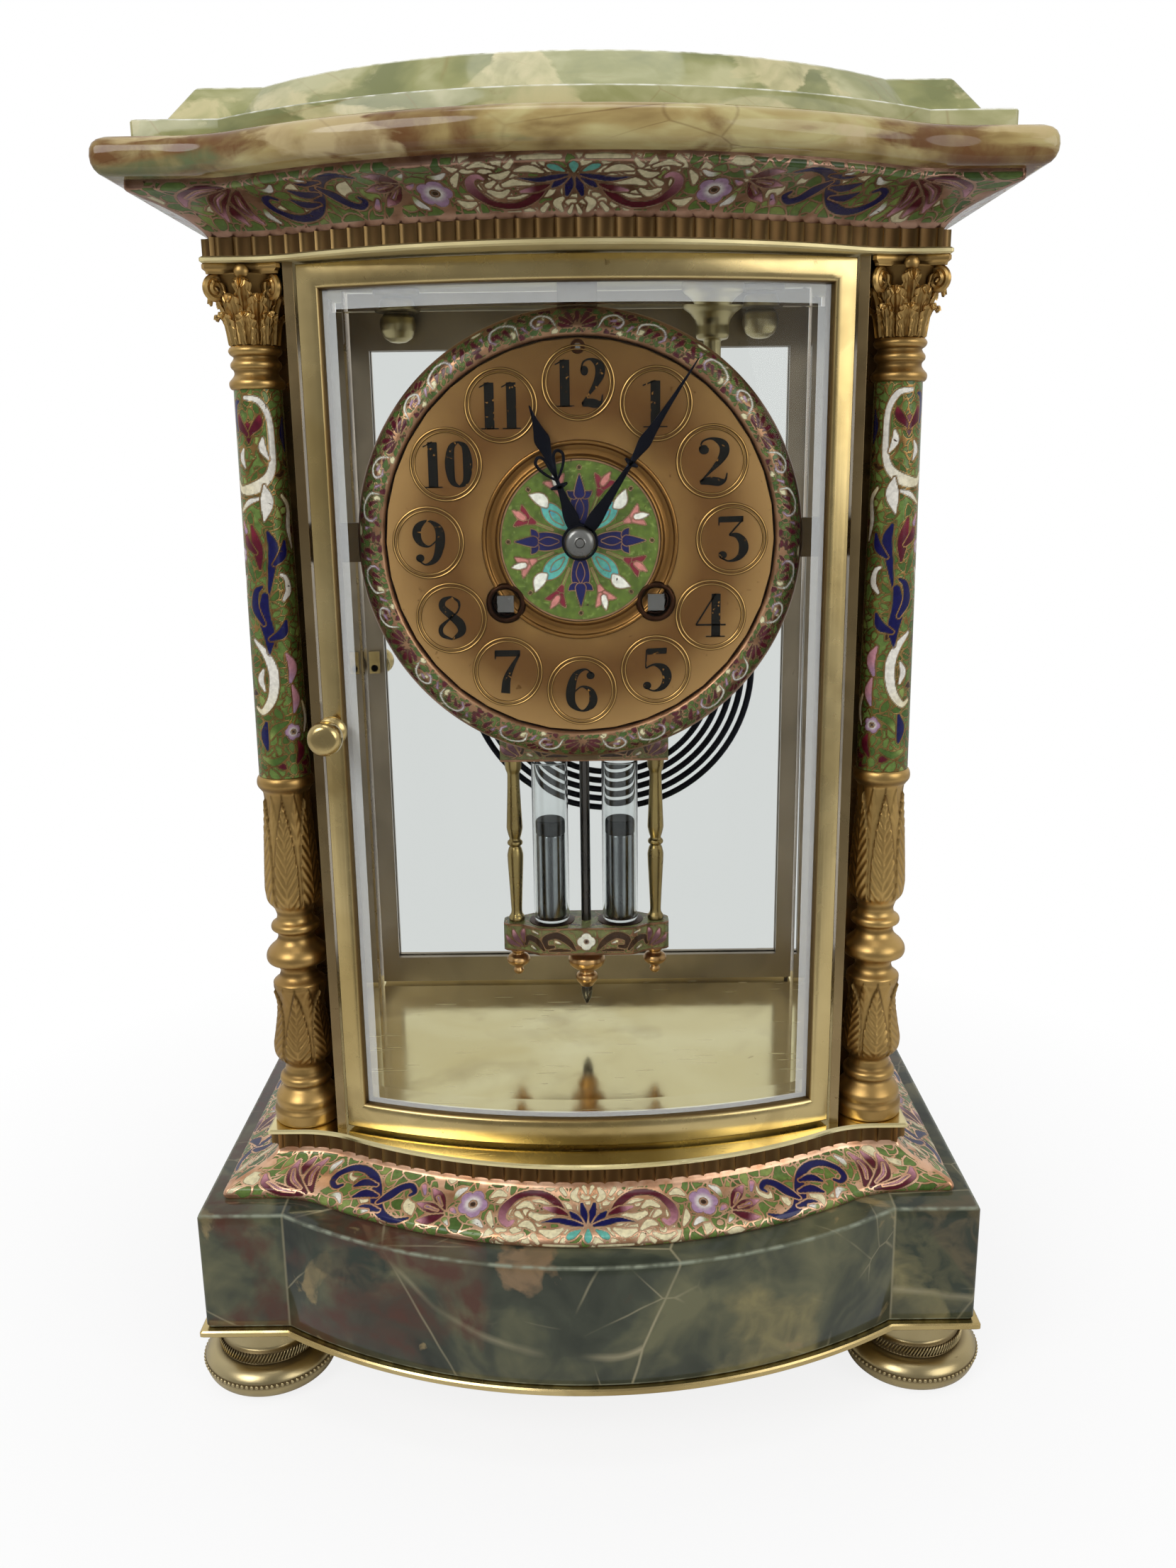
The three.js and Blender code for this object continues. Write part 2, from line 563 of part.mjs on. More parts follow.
function addTop() {
  const ceiling = loft([
    [PLINTH_PLAN, CEILING], [PLINTH_PLAN, CEILING_TOP],
    [BAND_PLAN, CEILING_TOP], [BAND_PLAN, CORNICE_BOTTOM],
  ]);
  const sockets = pivotSockets([CEILING - GAP, CEILING + PIVOT_LENGTH]);
  piece(clock, 'top_plate', cut(ceiling, ...sockets), FINISHES.brass());
  const cove = swept(CORNICE_COVE, BAND_PLAN, CORNICE_TOP_PLAN, CORNICE_BOTTOM);
  piece(clock, 'cornice_moulding', cove, FINISHES.enamel());
  const nose = SLAB_NOSE.map(([by, rise]) => [inset(SLAB_PLAN, by), SLAB_BOTTOM + rise]);
  piece(clock, 'top_slab', loft(nose), FINISHES.paleOnyx());
  const cap = loft([
    [STEP_PLAN, SLAB_TOP],
    [STEP_PLAN, STEP_TOP],
    [inset(STEP_PLAN, CAP_FOOT - STEP_TOP), CAP_FOOT],
    [CAP_FOOT_PLAN, CAP_FOOT],
    [CAP_TOP_PLAN, CAP_TOP - CAP_ROUNDING],
    [inset(CAP_TOP_PLAN, CAP_ROUNDING), CAP_TOP],
  ]);
  piece(clock, 'top_cap', cap, FINISHES.paleOnyx());
}

// Doors

// The plan of a band that follows the door's bow, between two radii.
function bowedBand(half, outer, inner) {
  const along = (radius, direction) => Array.from({ length: DOOR_STEPS + 1 }, (_, i) => {
    const angle = direction * Math.asin(half / radius) * ((2 * i) / DOOR_STEPS - 1);
    return [radius * Math.sin(angle), DOOR_CENTRE_Y - radius * Math.cos(angle)];
  });
  return [...along(outer, 1), ...along(inner, -1)];
}

// Pivot pins at the foot and head of a door.
function pivotPins({ x, y }) {
  const low = rod(x, y, PIVOT_RADIUS, [DOOR_BOTTOM - PIVOT_LENGTH, DOOR_BOTTOM + GAP]);
  return joined(low, rod(x, y, PIVOT_RADIUS, [DOOR_TOP - GAP, DOOR_TOP + PIVOT_LENGTH - GAP]));
}

function addFrontDoor() {
  const height = [DOOR_BOTTOM, DOOR_TOP];
  const openHalf = DOOR_HALF - STILE;
  const open = [DOOR_BOTTOM + DOOR_BOTTOM_RAIL, DOOR_TOP - DOOR_TOP_RAIL];
  const middle = DOOR_RADIUS - DOOR_THICK / 2;
  const reach = (by) => [open[0] - by, open[1] + by];
  const leaf = prism(bowedBand(DOOR_HALF, DOOR_RADIUS, DOOR_RADIUS - DOOR_THICK), height);
  const boss = spindle(FRONT_KNOB_X, KNOB_Z, BOSS_RADIUS, [FRONT_BOSS, FRONT_BOSS + DOOR_THICK / 2]);
  const window = box([-openHalf, openHalf], [DOOR_APEX - STILE, DOOR_CENTRE_Y], open);
  const slotHalf = GLASS_THICK / 2 + GAP;
  const slot = bowedBand(openHalf + GROOVE_DEPTH, middle + slotHalf, middle - slotHalf);
  const groove = prism(slot, reach(GROOVE_DEPTH));
  const bore = spindle(FRONT_KNOB_X, KNOB_Z, SHAFT_RADIUS + GAP, [DOOR_APEX, 0]);
  const frame = cut(joined(leaf, boss, pivotPins(DOOR_PIVOT)), window, groove, bore);
  piece(clock, 'front_door_frame', frame, FINISHES.brass());
  const margin = GROOVE_DEPTH - GAP;
  const paneBand = bowedBand(openHalf + margin, middle + GLASS_THICK / 2, middle - GLASS_THICK / 2);
  piece(clock, 'front_glass', prism(paneBand, reach(margin)), FINISHES.glass());
}

function addRearDoor() {
  const openHalf = REAR_HALF - REAR_STILE;
  const open = [DOOR_BOTTOM + REAR_BOTTOM_RAIL, DOOR_TOP - REAR_TOP_RAIL];
  const middle = (REAR_INNER + REAR_OUTER) / 2;
  const slotHalf = GLASS_THICK / 2 + GAP;
  const slab = (by, half) => box(
    [-openHalf - by, openHalf + by], [middle - half, middle + half], [open[0] - by, open[1] + by],
  );
  const leaf = box([-REAR_HALF, REAR_HALF], [REAR_INNER, REAR_OUTER], [DOOR_BOTTOM, DOOR_TOP]);
  const bore = spindle(REAR_KNOB_X, KNOB_Z, SHAFT_RADIUS + GAP, [REAR_INNER - GAP, REAR_OUTER + GAP]);
  const window = slab(0, REAR_STILE);
  const groove = slab(GROOVE_DEPTH, slotHalf);
  const frame = cut(joined(leaf, pivotPins(REAR_PIVOT)), window, groove, bore);
  piece(clock, 'rear_door_frame', frame, FINISHES.brass());
  piece(clock, 'rear_glass', slab(GROOVE_DEPTH - GAP, GLASS_THICK / 2), FINISHES.glass());
}

// A knob on its shaft with a tongue at the far end, stored with the tongue upright and clear of the jamb.
function catchBody(tongueAt, up) {
  const tongue = [-tongueAt - TONGUE_THICK, -tongueAt];
  const rise = [-TONGUE_HALF, TONGUE_LENGTH].map((y) => up * y).sort((a, b) => a - b);
  return joined(
    solid(turned(KNOB_PROFILE)),
    rod(0, 0, SHAFT_RADIUS, [tongue[0], GAP]),
    box([-TONGUE_HALF, TONGUE_HALF], rise, tongue),
  );
}

function addCatches() {
  const frontPlace = facingFront(FRONT_KNOB_X, FRONT_BOSS - GAP, KNOB_Z);
  const frontTongue = FRONT_TONGUE[0] + GAP - (FRONT_BOSS - GAP);
  piece(frontPlace, 'front_knob', catchBody(frontTongue, 1), FINISHES.brass());
  const rearPlace = facingFront(REAR_KNOB_X, REAR_OUTER + GAP, KNOB_Z);
  rearPlace.rotation.x = -Math.PI / 2;
  const rearTongue = REAR_OUTER + GAP - (REAR_TONGUE[1] - GAP);
  piece(rearPlace, 'rear_knob', catchBody(rearTongue, -1), FINISHES.brass());
}

// Dial and plates

function addDial(place) {
  const { inner, outer, back, front, arm, lugRadius } = BRACKET;
  const ring = prism(circle(0, 0, outer, BEZEL_SIDES), [back, front], [circle(0, 0, inner, BEZEL_SIDES)]);
  const seat = outer - GAP;
  const sideArms = [-1, 1].map((s) => box([s * seat, s * (JAMB_IN - GAP)], [-arm, arm], [back, front]));
  const topArm = box([-arm, arm], [seat, CEILING - DIAL_Z - GAP], [back, front]);
  const footTab = box([-arm + LAP, arm - LAP], [-seat - arm, -seat], [back, front]);
  const lugs = [1, 3, 5, 7].map((eighth) => {
    const angle = (eighth * Math.PI) / 4;
    const reach = lugRadius + arm;
    return rod(reach * Math.cos(angle), reach * Math.sin(angle), arm, [FRONT_PLATE[1] + GAP, back + LAP]);
  });
  piece(place, 'movement_bracket', joined(ring, ...sideArms, topArm, footTab, ...lugs), FINISHES.brass());
  piece(place, 'dial_bezel', solid(turnedRing(BEZEL_PROFILE, BEZEL_SIDES)), FINISHES.enamel());
  const windingHoles = [-1, 1].map((s) => circle(s * WINDING.x, WINDING.y, WINDING_HOLE, TURNED_SIDES));
  const pipeHole = circle(0, 0, PIPE_HOLE, TURNED_SIDES);
  const face = circle(0, 0, DIAL_RADIUS, BEZEL_SIDES);
  const sheet = prism(face, [-DIAL_THICK, 0], [pipeHole, ...windingHoles]);
  piece(place, 'dial_plate', sheet, FINISHES.dial());
  const disc = prism(circle(0, 0, CENTRE_DISC_RADIUS, 2 * TURNED_SIDES), CENTRE_DISC, [pipeHole]);
  piece(place, 'dial_centre', disc, FINISHES.enamel());
}

function addPlates(place) {
  const holes = (radii) => [
    [CENTRE, radii.centre],
    [MIDDLE, radii.pivot],
    [THIRD, radii.pivot],
    [ESCAPE, radii.pivot],
    [PALLETS, radii.pallets],
    ...[-1, 1].map((s) => [{ x: s * WINDING.x, y: WINDING.y }, radii.winding]),
  ].map(([at, radius]) => circle(at.x, at.y, radius));
  const disc = circle(0, 0, PLATE_RADIUS, BEZEL_SIDES);
  const pillarSpan = [BACK_PLATE[1] + GAP, FRONT_PLATE[1] - LAP];
  const pillars = PILLARS.map(([x, y]) => rod(x, y, PILLAR_RADIUS, pillarSpan));
  const stud = rod(MINUTE_STUD.x, MINUTE_STUD.y, STUD_RADIUS, [FRONT_PLATE[0] + LAP, LAYERS.minutePinion[1]]);
  const front = joined(prism(disc, FRONT_PLATE, holes(FRONT_HOLES)), ...pillars, stud);
  piece(place, 'front_plate', front, FINISHES.brass());
  const studSpan = [BACK_PLATE[0] - HAMMER_STUD_REACH, BACK_PLATE[1] - LAP];
  const hammerStud = rod(HAMMER_PIVOT.x, HAMMER_PIVOT.y, HAMMER_STUD_RADIUS, studSpan);
  piece(place, 'back_plate', joined(prism(disc, BACK_PLATE, holes(BACK_HOLES)), hammerStud), FINISHES.brass());
  const cock = box(
    [-COCK.half, COCK.half],
    [PALLETS.y + COCK.foot, PLATE_RADIUS - LAP],
    [BACK_PLATE[0] - COCK.depth, BACK_PLATE[0] - GAP],
  );
  piece(place, 'suspension_cock', cock, FINISHES.brass());
}

// Wheels

// A wheel's outline with pointed teeth, the first tooth at the phase angle.
function toothed({ x, y }, teeth, tip, root, phase) {
  return Array.from({ length: 2 * teeth }, (_, i) => {
    const radius = i % 2 === 0 ? tip : root;
    const angle = phase + (Math.PI * i) / teeth;
    return [x + radius * Math.cos(angle), y + radius * Math.sin(angle)];
  });
}

function wheel(at, teeth, module, span, phase, holes = []) {
  const pitch = (module * teeth) / 2;
  const tip = pitch + ADDENDUM * module;
  const root = pitch - DEDENDUM * module;
  return prism(toothed(at, teeth, tip, root, phase), span, holes);
}

// The module of a pair at its centre distance, and the phase that puts the second in mesh with the first.
function mesh(first, teeth, phase, second, mateTeeth) {
  const distance = Math.hypot(second.x - first.x, second.y - first.y);
  const line = Math.atan2(second.y - first.y, second.x - first.x);
  const offset = 0.5 - ((phase - line) * teeth) / (2 * Math.PI);
  const matePhase = line + Math.PI + (2 * Math.PI * offset) / mateTeeth;
  return { module: (2 * distance) / (teeth + mateTeeth), phase: matePhase };
}

// The pivots of an arbor in the back and the front plate.
function backPivot({ x, y }, radius) {
  return rod(x, y, radius, [BACK_PLATE[1] - PIVOT_REACH, BACK_PLATE[1] + 2 * GAP]);
}

function frontPivot({ x, y }, radius) {
  return rod(x, y, radius, [FRONT_PLATE[0] - 2 * GAP, FRONT_PLATE[0] + PIVOT_REACH]);
}

// An arbor between the plates with its two pivots.
function arbor(at, { shank, pivot }) {
  const span = [BACK_PLATE[1] + GAP, FRONT_PLATE[0] - GAP];
  return joined(rod(at.x, at.y, shank, span), backPivot(at, pivot), frontPivot(at, pivot));
}

function addTrain(place) {
  const going = { x: WINDING.x, y: WINDING.y };
  const strike = { x: -WINDING.x, y: WINDING.y };
  const toMiddle = mesh(CENTRE, CENTRE_LEAVES, 0, MIDDLE, MIDDLE_TEETH);
  const toBarrel = mesh(MIDDLE, MIDDLE_LEAVES, 0, going, BARREL_TEETH);
  const toThird = mesh(CENTRE, CENTRE_TEETH, 0, THIRD, THIRD_LEAVES);
  const toEscape = mesh(THIRD, THIRD_TEETH, 0, ESCAPE, ESCAPE_LEAVES);
  const toMinute = mesh(CENTRE, CANNON_LEAVES, 0, MINUTE_STUD, MINUTE_TEETH);
  const toHour = mesh(MINUTE_STUD, MINUTE_LEAVES, 0, CENTRE, HOUR_TEETH);

  const centre = joined(
    rod(0, 0, ARBORS.stout.shank, [BACK_PLATE[1] + GAP, FRONT_PLATE[0] - GAP]),
    backPivot(CENTRE, ARBORS.stout.pivot),
    rod(0, 0, HAND_ARBOR, [FRONT_PLATE[0] - 2 * GAP, HAND_ARBOR_END]),
    wheel(CENTRE, CENTRE_LEAVES, toMiddle.module, LAYERS.centrePinion, 0),
    wheel(CENTRE, CENTRE_TEETH, toThird.module, LAYERS.centreWheel, 0),
    wheel(CENTRE, CANNON_LEAVES, toMinute.module, LAYERS.cannon, 0),
  );
  piece(place, 'centre_wheel', centre, FINISHES.brass());

  const middle = joined(
    arbor(MIDDLE, ARBORS.stout),
    wheel(MIDDLE, MIDDLE_TEETH, toMiddle.module, LAYERS.middleWheel, toMiddle.phase),
    wheel(MIDDLE, MIDDLE_LEAVES, toBarrel.module, LAYERS.middlePinion, 0),
  );
  piece(place, 'intermediate_wheel', middle, FINISHES.brass());

  for (const [name, at, phase] of [['going', going, toBarrel.phase], ['strike', strike, 0]]) {
    const bore = circle(at.x, at.y, WINDING_ARBOR + GAP);
    const drum = prism(circle(at.x, at.y, DRUM_RADIUS, 2 * TURNED_SIDES), LAYERS.drum, [bore]);
    const teeth = wheel(at, BARREL_TEETH, toBarrel.module, LAYERS.barrelWheel, phase, [bore]);
    piece(place, `${name}_barrel`, joined(drum, teeth), FINISHES.brass());
    const square = box(
      [at.x - WINDING_SQUARE, at.x + WINDING_SQUARE],
      [at.y - WINDING_SQUARE, at.y + WINDING_SQUARE],
      SQUARE_SPAN,
    );
    const shank = rod(at.x, at.y, WINDING_ARBOR, [BACK_PLATE[1] + GAP, SQUARE_SPAN[0] + LAP]);
    const pivot = rod(at.x, at.y, WINDING_PIVOT, [BACK_PLATE[0], BACK_PLATE[1] + 2 * GAP]);
    piece(place, `${name}_winding_arbor`, joined(shank, square, pivot), FINISHES.steel());
  }

  const third = joined(
    arbor(THIRD, ARBORS.third),
    wheel(THIRD, THIRD_LEAVES, toThird.module, LAYERS.thirdPinion, toThird.phase),
    wheel(THIRD, THIRD_TEETH, toEscape.module, LAYERS.thirdWheel, 0),
  );
  piece(place, 'third_wheel', third, FINISHES.brass());

  const escape = joined(
    arbor(ESCAPE, ARBORS.escape),
    wheel(ESCAPE, ESCAPE_LEAVES, toEscape.module, LAYERS.escapePinion, toEscape.phase),
    prism(toothed(ESCAPE, ESCAPE_TEETH, ESCAPE_RADIUS, ESCAPE_ROOT, 0), LAYERS.escapeWheel),
  );
  piece(place, 'escape_wheel', escape, FINISHES.brass());

  const studBore = circle(MINUTE_STUD.x, MINUTE_STUD.y, STUD_RADIUS + GAP);
  const minute = joined(
    wheel(MINUTE_STUD, MINUTE_TEETH, toMinute.module, LAYERS.minuteWheel, toMinute.phase, [studBore]),
    wheel(MINUTE_STUD, MINUTE_LEAVES, toHour.module, LAYERS.minutePinion, 0, [studBore]),
  );
  piece(place, 'minute_wheel', minute, FINISHES.brass());

  const pipeBore = circle(0, 0, HAND_ARBOR + GAP, TURNED_SIDES);
  const hour = joined(
    wheel(CENTRE, HOUR_TEETH, toHour.module, LAYERS.hourWheel, toHour.phase, [pipeBore]),
    prism(circle(0, 0, PIPE_RADIUS, TURNED_SIDES), [LAYERS.hourWheel[0], PIPE_END], [pipeBore]),
  );
  piece(place, 'hour_wheel', hour, FINISHES.brass());
}

// The pallets hang over the escape wheel and the crutch drives the pendulum from behind the back plate.
function addAnchor(place) {
  const [crutchBack, crutchFront] = LAYERS.crutch;
  const forkRise = [FORK.foot, FORK.top];
  const prongSpan = [crutchBack - FORK.reach, crutchFront];
  const prongs = [-1, 1].map((s) => box([s * FORK.inner, s * FORK.outer], forkRise, prongSpan));
  const body = joined(
    prism(ANCHOR_ARMS, LAYERS.anchor),
    rod(PALLETS.x, PALLETS.y, ARBORS.pallets.shank, [crutchBack, FRONT_PLATE[0] - GAP]),
    frontPivot(PALLETS, ARBORS.pallets.pivot),
    box([-CRUTCH_HALF, CRUTCH_HALF], [FORK.top - LAP, PALLETS.y + LAP], LAYERS.crutch),
    box([-FORK.outer, FORK.outer], forkRise, LAYERS.crutch),
    ...prongs,
  );
  piece(place, 'anchor', body, FINISHES.steel());
}

// A flat hand that points up, from half widths along its length.
function hand(stations, bossRadius, boreRadius, span) {
  const left = [...stations].reverse().map(([half, y]) => [-half, y]);
  const foot = [[-stations[0][0], 0], [stations[0][0], 0]];
  const blade = prism([...foot, ...stations, ...left], span);
  const boss = rod(0, 0, bossRadius, span, TURNED_SIDES);
  const bore = rod(0, 0, boreRadius, [span[0] - LAP, span[1] + LAP], TURNED_SIDES);
  return cut(joined(blade, boss), bore);
}

function addHands(place) {
  const turn = (angle) => {
    const group = new THREE.Group();
    group.rotation.z = THREE.MathUtils.degToRad(angle);
    place.add(group);
    return group;
  };
  const hourHand = hand(HOUR_HAND, PIPE_RADIUS + HAND_BOSS_WALL, PIPE_RADIUS + GAP, HOUR_LAYER);
  piece(turn(HOUR_ANGLE), 'hour_hand', hourHand, FINISHES.blackened());
  const minuteHand = hand(MINUTE_HAND, HAND_ARBOR + HAND_BOSS_WALL, HAND_ARBOR + GAP, MINUTE_LAYER);
  piece(turn(MINUTE_ANGLE), 'minute_hand', minuteHand, FINISHES.blackened());
  const bore = rod(0, 0, HAND_ARBOR + GAP, [COLLET_FOOT - LAP, HAND_ARBOR_END + GAP]);
  piece(place, 'hand_collet', cut(solid(turned(COLLET_PROFILE)), bore), FINISHES.steel());
}

// Pendulum

function addPendulum() {
  const place = standing(0, PENDULUM_Y);
  const rodBore = (low, high) => rod(0, 0, ROD_RADIUS + GAP, [low, high]);
  const pair = (profile, x) => [-1, 1].map((s) => solid(turned(profile, ARBOR_SIDES).translate(s * x, 0, 0)));
  const hanger = joined(
    rod(0, 0, ROD_RADIUS, [ROD_FOOT, ROD_HEAD]),
    box(
      [-CLEAT.half, CLEAT.half],
      [-CLEAT.halfDepth, CLEAT.halfDepth],
      [ROD_HEAD - LAP, ROD_HEAD + CLEAT.height],
    ),
    box(
      [-SPRING.half, SPRING.half],
      [-SPRING.halfThick, SPRING.halfThick],
      [ROD_HEAD + CLEAT.height - LAP, PENDULUM_PIVOT_Z + SPRING.above],
    ),
  );
  piece(place, 'pendulum_rod', hanger, FINISHES.steel());

  const bridge = box([-YOKE_HALF, YOKE_HALF], [-YOKE_HALF_DEPTH, YOKE_HALF_DEPTH], [YOKE_BOTTOM, YOKE_TOP]);
  const pillars = pair(PENDULUM_PILLAR_PROFILE, PENDULUM_PILLAR_X);
  const yoke = cut(joined(bridge, ...pillars), rodBore(YOKE_BOTTOM - LAP, YOKE_TOP + LAP));
  piece(place, 'pendulum_yoke', yoke, FINISHES.gilt());

  const frontRight = TRAY_PLAN.map(([x, y]) => [x, -y]);
  const rightHalf = [...frontRight.reverse(), ...TRAY_PLAN];
  const leftHalf = rightHalf.slice(1, -1).map(([x, y]) => [-x, -y]);
  const pan = prism([...rightHalf, ...leftHalf], [TRAY_BOTTOM, TRAY_TOP]);
  const finials = pair(TRAY_FINIAL_PROFILE, TRAY_FINIAL_X);
  const tray = cut(joined(pan, ...finials), rodBore(TRAY_BOTTOM - LAP, TRAY_TOP + LAP));
  piece(place, 'pendulum_tray', tray, FINISHES.gilt());

  const nut = cut(solid(turned(NUT_PROFILE, ARBOR_SIDES)), rodBore(ROD_FOOT - GAP, TRAY_BOTTOM));
  piece(place, 'rating_nut', nut, FINISHES.brass());

  const floor = TRAY_TOP + GAP;
  const lip = YOKE_BOTTOM - GAP;
  const inner = JAR_RADIUS - JAR_WALL;
  const jar = [
    [0, floor], [JAR_RADIUS, floor], [JAR_RADIUS, lip],
    [inner, lip], [inner, floor + JAR_WALL], [0, floor + JAR_WALL],
  ];
  const pool = inner - GAP;
  const poolFloor = floor + JAR_WALL + GAP;
  const mercury = [[0, poolFloor], [pool, poolFloor], [pool, MERCURY_TOP], [0, MERCURY_TOP]];
  for (const [side, sign] of [['left', -1], ['right', 1]]) {
    const stand = new THREE.Group();
    stand.position.x = sign * JAR_X;
    place.add(stand);
    piece(stand, `jar_${side}`, solid(turned(jar)), FINISHES.glass());
    piece(stand, `mercury_${side}`, solid(turned(mercury)), FINISHES.mercury());
  }
}

// Gong and hammer

// The wire's route: a straight tail down from the block, then inwards turn by turn.
function gongRoute() {
  const points = [];
  for (let i = 0; i < GONG_TAIL_STEPS; i += 1) {
    points.push(new THREE.Vector3(GONG.outer, 0, GONG.tail * (1 - i / GONG_TAIL_STEPS)));
  }
  for (let i = 0; i <= GONG_STEPS * GONG.turns; i += 1) {
    const turn = i / GONG_STEPS;
    const radius = GONG.outer - GONG.pitch * turn;
    const angle = -2 * Math.PI * turn;
    points.push(new THREE.Vector3(radius * Math.cos(angle), 0, radius * Math.sin(angle)));
  }
  return points;
}

// The least clear space between one turn and another, on the route's points.
function leastGap(points, apart, thickness) {
  let least = Infinity;
  for (let i = 0; i + apart < points.length; i += 1) {
    const distances = points.slice(i + apart).map((other) => other.distanceTo(points[i]));
    least = Math.min(least, ...distances);
  }
  return least - thickness;
}

function addGong() {
  const points = gongRoute();
  console.log(`gong least gap ${leastGap(points, GONG_STEPS / 2, 2 * GONG.wire).toFixed(2)} mm`);
  const ring = circle(0, 0, GONG.wire, GONG_SIDES).map(([x, y]) => new THREE.Vector2(x, y));
  const section = new THREE.Shape(ring);
  const extrudePath = new THREE.CatmullRomCurve3(points);
  const steps = GONG_STEPS * GONG.turns + GONG_TAIL_STEPS;
  const wire = new THREE.ExtrudeGeometry(section, { steps, extrudePath, bevelEnabled: false });
  piece(standing(GONG.x, GONG.y, GONG.z), 'gong_coil', solid(wire), FINISHES.blackened());
  const post = solid(turned(POST_PROFILE).translate(POST_X, 0, 0));
  const { left, right, half, bottom, top } = GONG_BLOCK;
  const block = box([left, right], [-half, half], [bottom, top]);
  piece(standing(0, GONG.y), 'gong_post', joined(post, block), FINISHES.brass());
}

function addHammer(place) {
  const { x, y } = HAMMER_PIVOT;
  const half = HAMMER_ARM_HALF;
  const reach = HAMMER_REST * Math.SQRT1_2;
  const head = { x: GONG.x - reach, y: GONG.z - DIAL_Z + reach };
  const layer = [BACK_PLATE[0] - HAMMER_THICK, BACK_PLATE[0] - GAP];
  const gongLayer = DIAL_Y - GONG.y;
  const headSpan = HAMMER_HEAD_SPAN.map((along) => gongLayer + along);
  const arm = prism([[head.x - half, head.y], [head.x + half, head.y], [x + half, y], [x - half, y]], layer);
  const body = joined(
    rod(x, y, HAMMER_HUB, layer),
    arm,
    rod(head.x, head.y, half, [gongLayer, layer[1]]),
    rod(head.x, head.y, HAMMER_HEAD_RADIUS, headSpan, TURNED_SIDES),
  );
  const bore = rod(x, y, HAMMER_STUD_RADIUS + GAP, [layer[0] - LAP, layer[1] + LAP]);
  piece(place, 'hammer', cut(body, bore), FINISHES.steel());
}

addFeet();
addBase();
addColumns();
addSideFrames();
addTop();
addFrontDoor();
addRearDoor();
addCatches();
const movement = facingFront(0, DIAL_Y, DIAL_Z);
addDial(movement);
addPlates(movement);
addTrain(movement);
addAnchor(movement);
addHands(movement);
addHammer(movement);
addPendulum();
addGong();

export default clock;
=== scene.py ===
"""Looks of a bow-fronted four glass clock, dressed around its fixed frame. Sizes are millimetres."""

import logging
import math
from collections.abc import Callable, Iterable, Sequence
from dataclasses import dataclass, field
from enum import Enum
from functools import lru_cache

import bmesh
import bpy
import numpy as np
from mathutils import Matrix, Vector


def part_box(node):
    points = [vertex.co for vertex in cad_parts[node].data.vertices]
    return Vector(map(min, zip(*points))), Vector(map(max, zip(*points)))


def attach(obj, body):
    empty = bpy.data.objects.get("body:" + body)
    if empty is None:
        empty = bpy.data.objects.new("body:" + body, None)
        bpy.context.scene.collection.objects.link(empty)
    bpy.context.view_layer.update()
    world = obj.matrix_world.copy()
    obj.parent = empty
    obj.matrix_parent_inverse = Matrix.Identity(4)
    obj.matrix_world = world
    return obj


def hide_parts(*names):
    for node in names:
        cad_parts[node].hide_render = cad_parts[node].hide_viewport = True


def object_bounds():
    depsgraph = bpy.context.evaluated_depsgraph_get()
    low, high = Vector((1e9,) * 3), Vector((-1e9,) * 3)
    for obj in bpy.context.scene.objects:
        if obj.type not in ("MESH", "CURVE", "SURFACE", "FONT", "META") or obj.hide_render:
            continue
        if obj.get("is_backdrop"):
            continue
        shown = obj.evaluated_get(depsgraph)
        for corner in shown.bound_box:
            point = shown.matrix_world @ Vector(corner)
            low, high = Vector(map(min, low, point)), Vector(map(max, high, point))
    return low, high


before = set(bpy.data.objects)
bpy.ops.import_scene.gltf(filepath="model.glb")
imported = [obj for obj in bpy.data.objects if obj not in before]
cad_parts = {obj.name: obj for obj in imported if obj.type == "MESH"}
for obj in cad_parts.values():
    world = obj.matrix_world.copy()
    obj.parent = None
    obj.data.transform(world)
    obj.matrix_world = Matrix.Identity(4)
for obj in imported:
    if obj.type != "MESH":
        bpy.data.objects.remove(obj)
CAD_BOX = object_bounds()

MM = 0.001
LOG = logging.getLogger("clock")
Array = np.ndarray
Colour = tuple[float, float, float]
Point = tuple[float, float]
Station = tuple[float, float, float]
Line = tuple[tuple[float, ...], ...]
Shape = tuple[Array, list]
Placer = Callable[[Array, Array, Array], Array]
Object = bpy.types.Object
Material = bpy.types.Material
Socket = bpy.types.NodeSocket


class Side(Enum):
    """The two sides of the clock, seen from the front."""

    LEFT = -1
    RIGHT = 1

    @property
    def word(self) -> str:
        """The side as a piece's name has it."""
        return self.name.lower()


class Storey(float, Enum):
    """Heights of the stacked storeys above the table."""

    PLATE = 22.5
    BLOCK = 24.5
    BLOCK_TOP = 59.5
    BAND = 69.3
    PLINTH = 73.8
    PLINTH_TOP = 75.3
    DOOR = 76.3
    DOOR_TOP = 303.2
    CEILING = 303.8
    CEILING_TOP = 305.3
    CORNICE = 309.6
    SLAB = 319.6
    SLAB_TOP = 327.6
    STEP_TOP = 332.6
    CAP_FOOT = 333.1
    CAP_TOP = 342.3


def stations(text: str) -> Line:
    """Stations written as numbers with commas between them and spaces between stations."""
    return tuple(tuple(map(float, spot.split(","))) for spot in text.split())


def shade(code: str) -> Colour:
    """Linear colour of a six-digit screen colour.

    Args:
        code: Hexadecimal digits, two each for red, green and blue.

    Returns:
        The colour in linear light.
    """
    parts = [int(code[i:i + 2], 16) / 255 for i in (0, 2, 4)]
    return tuple(p / 12.92 if p <= 0.04045 else ((p + 0.055) / 1.055) ** 2.4 for p in parts)


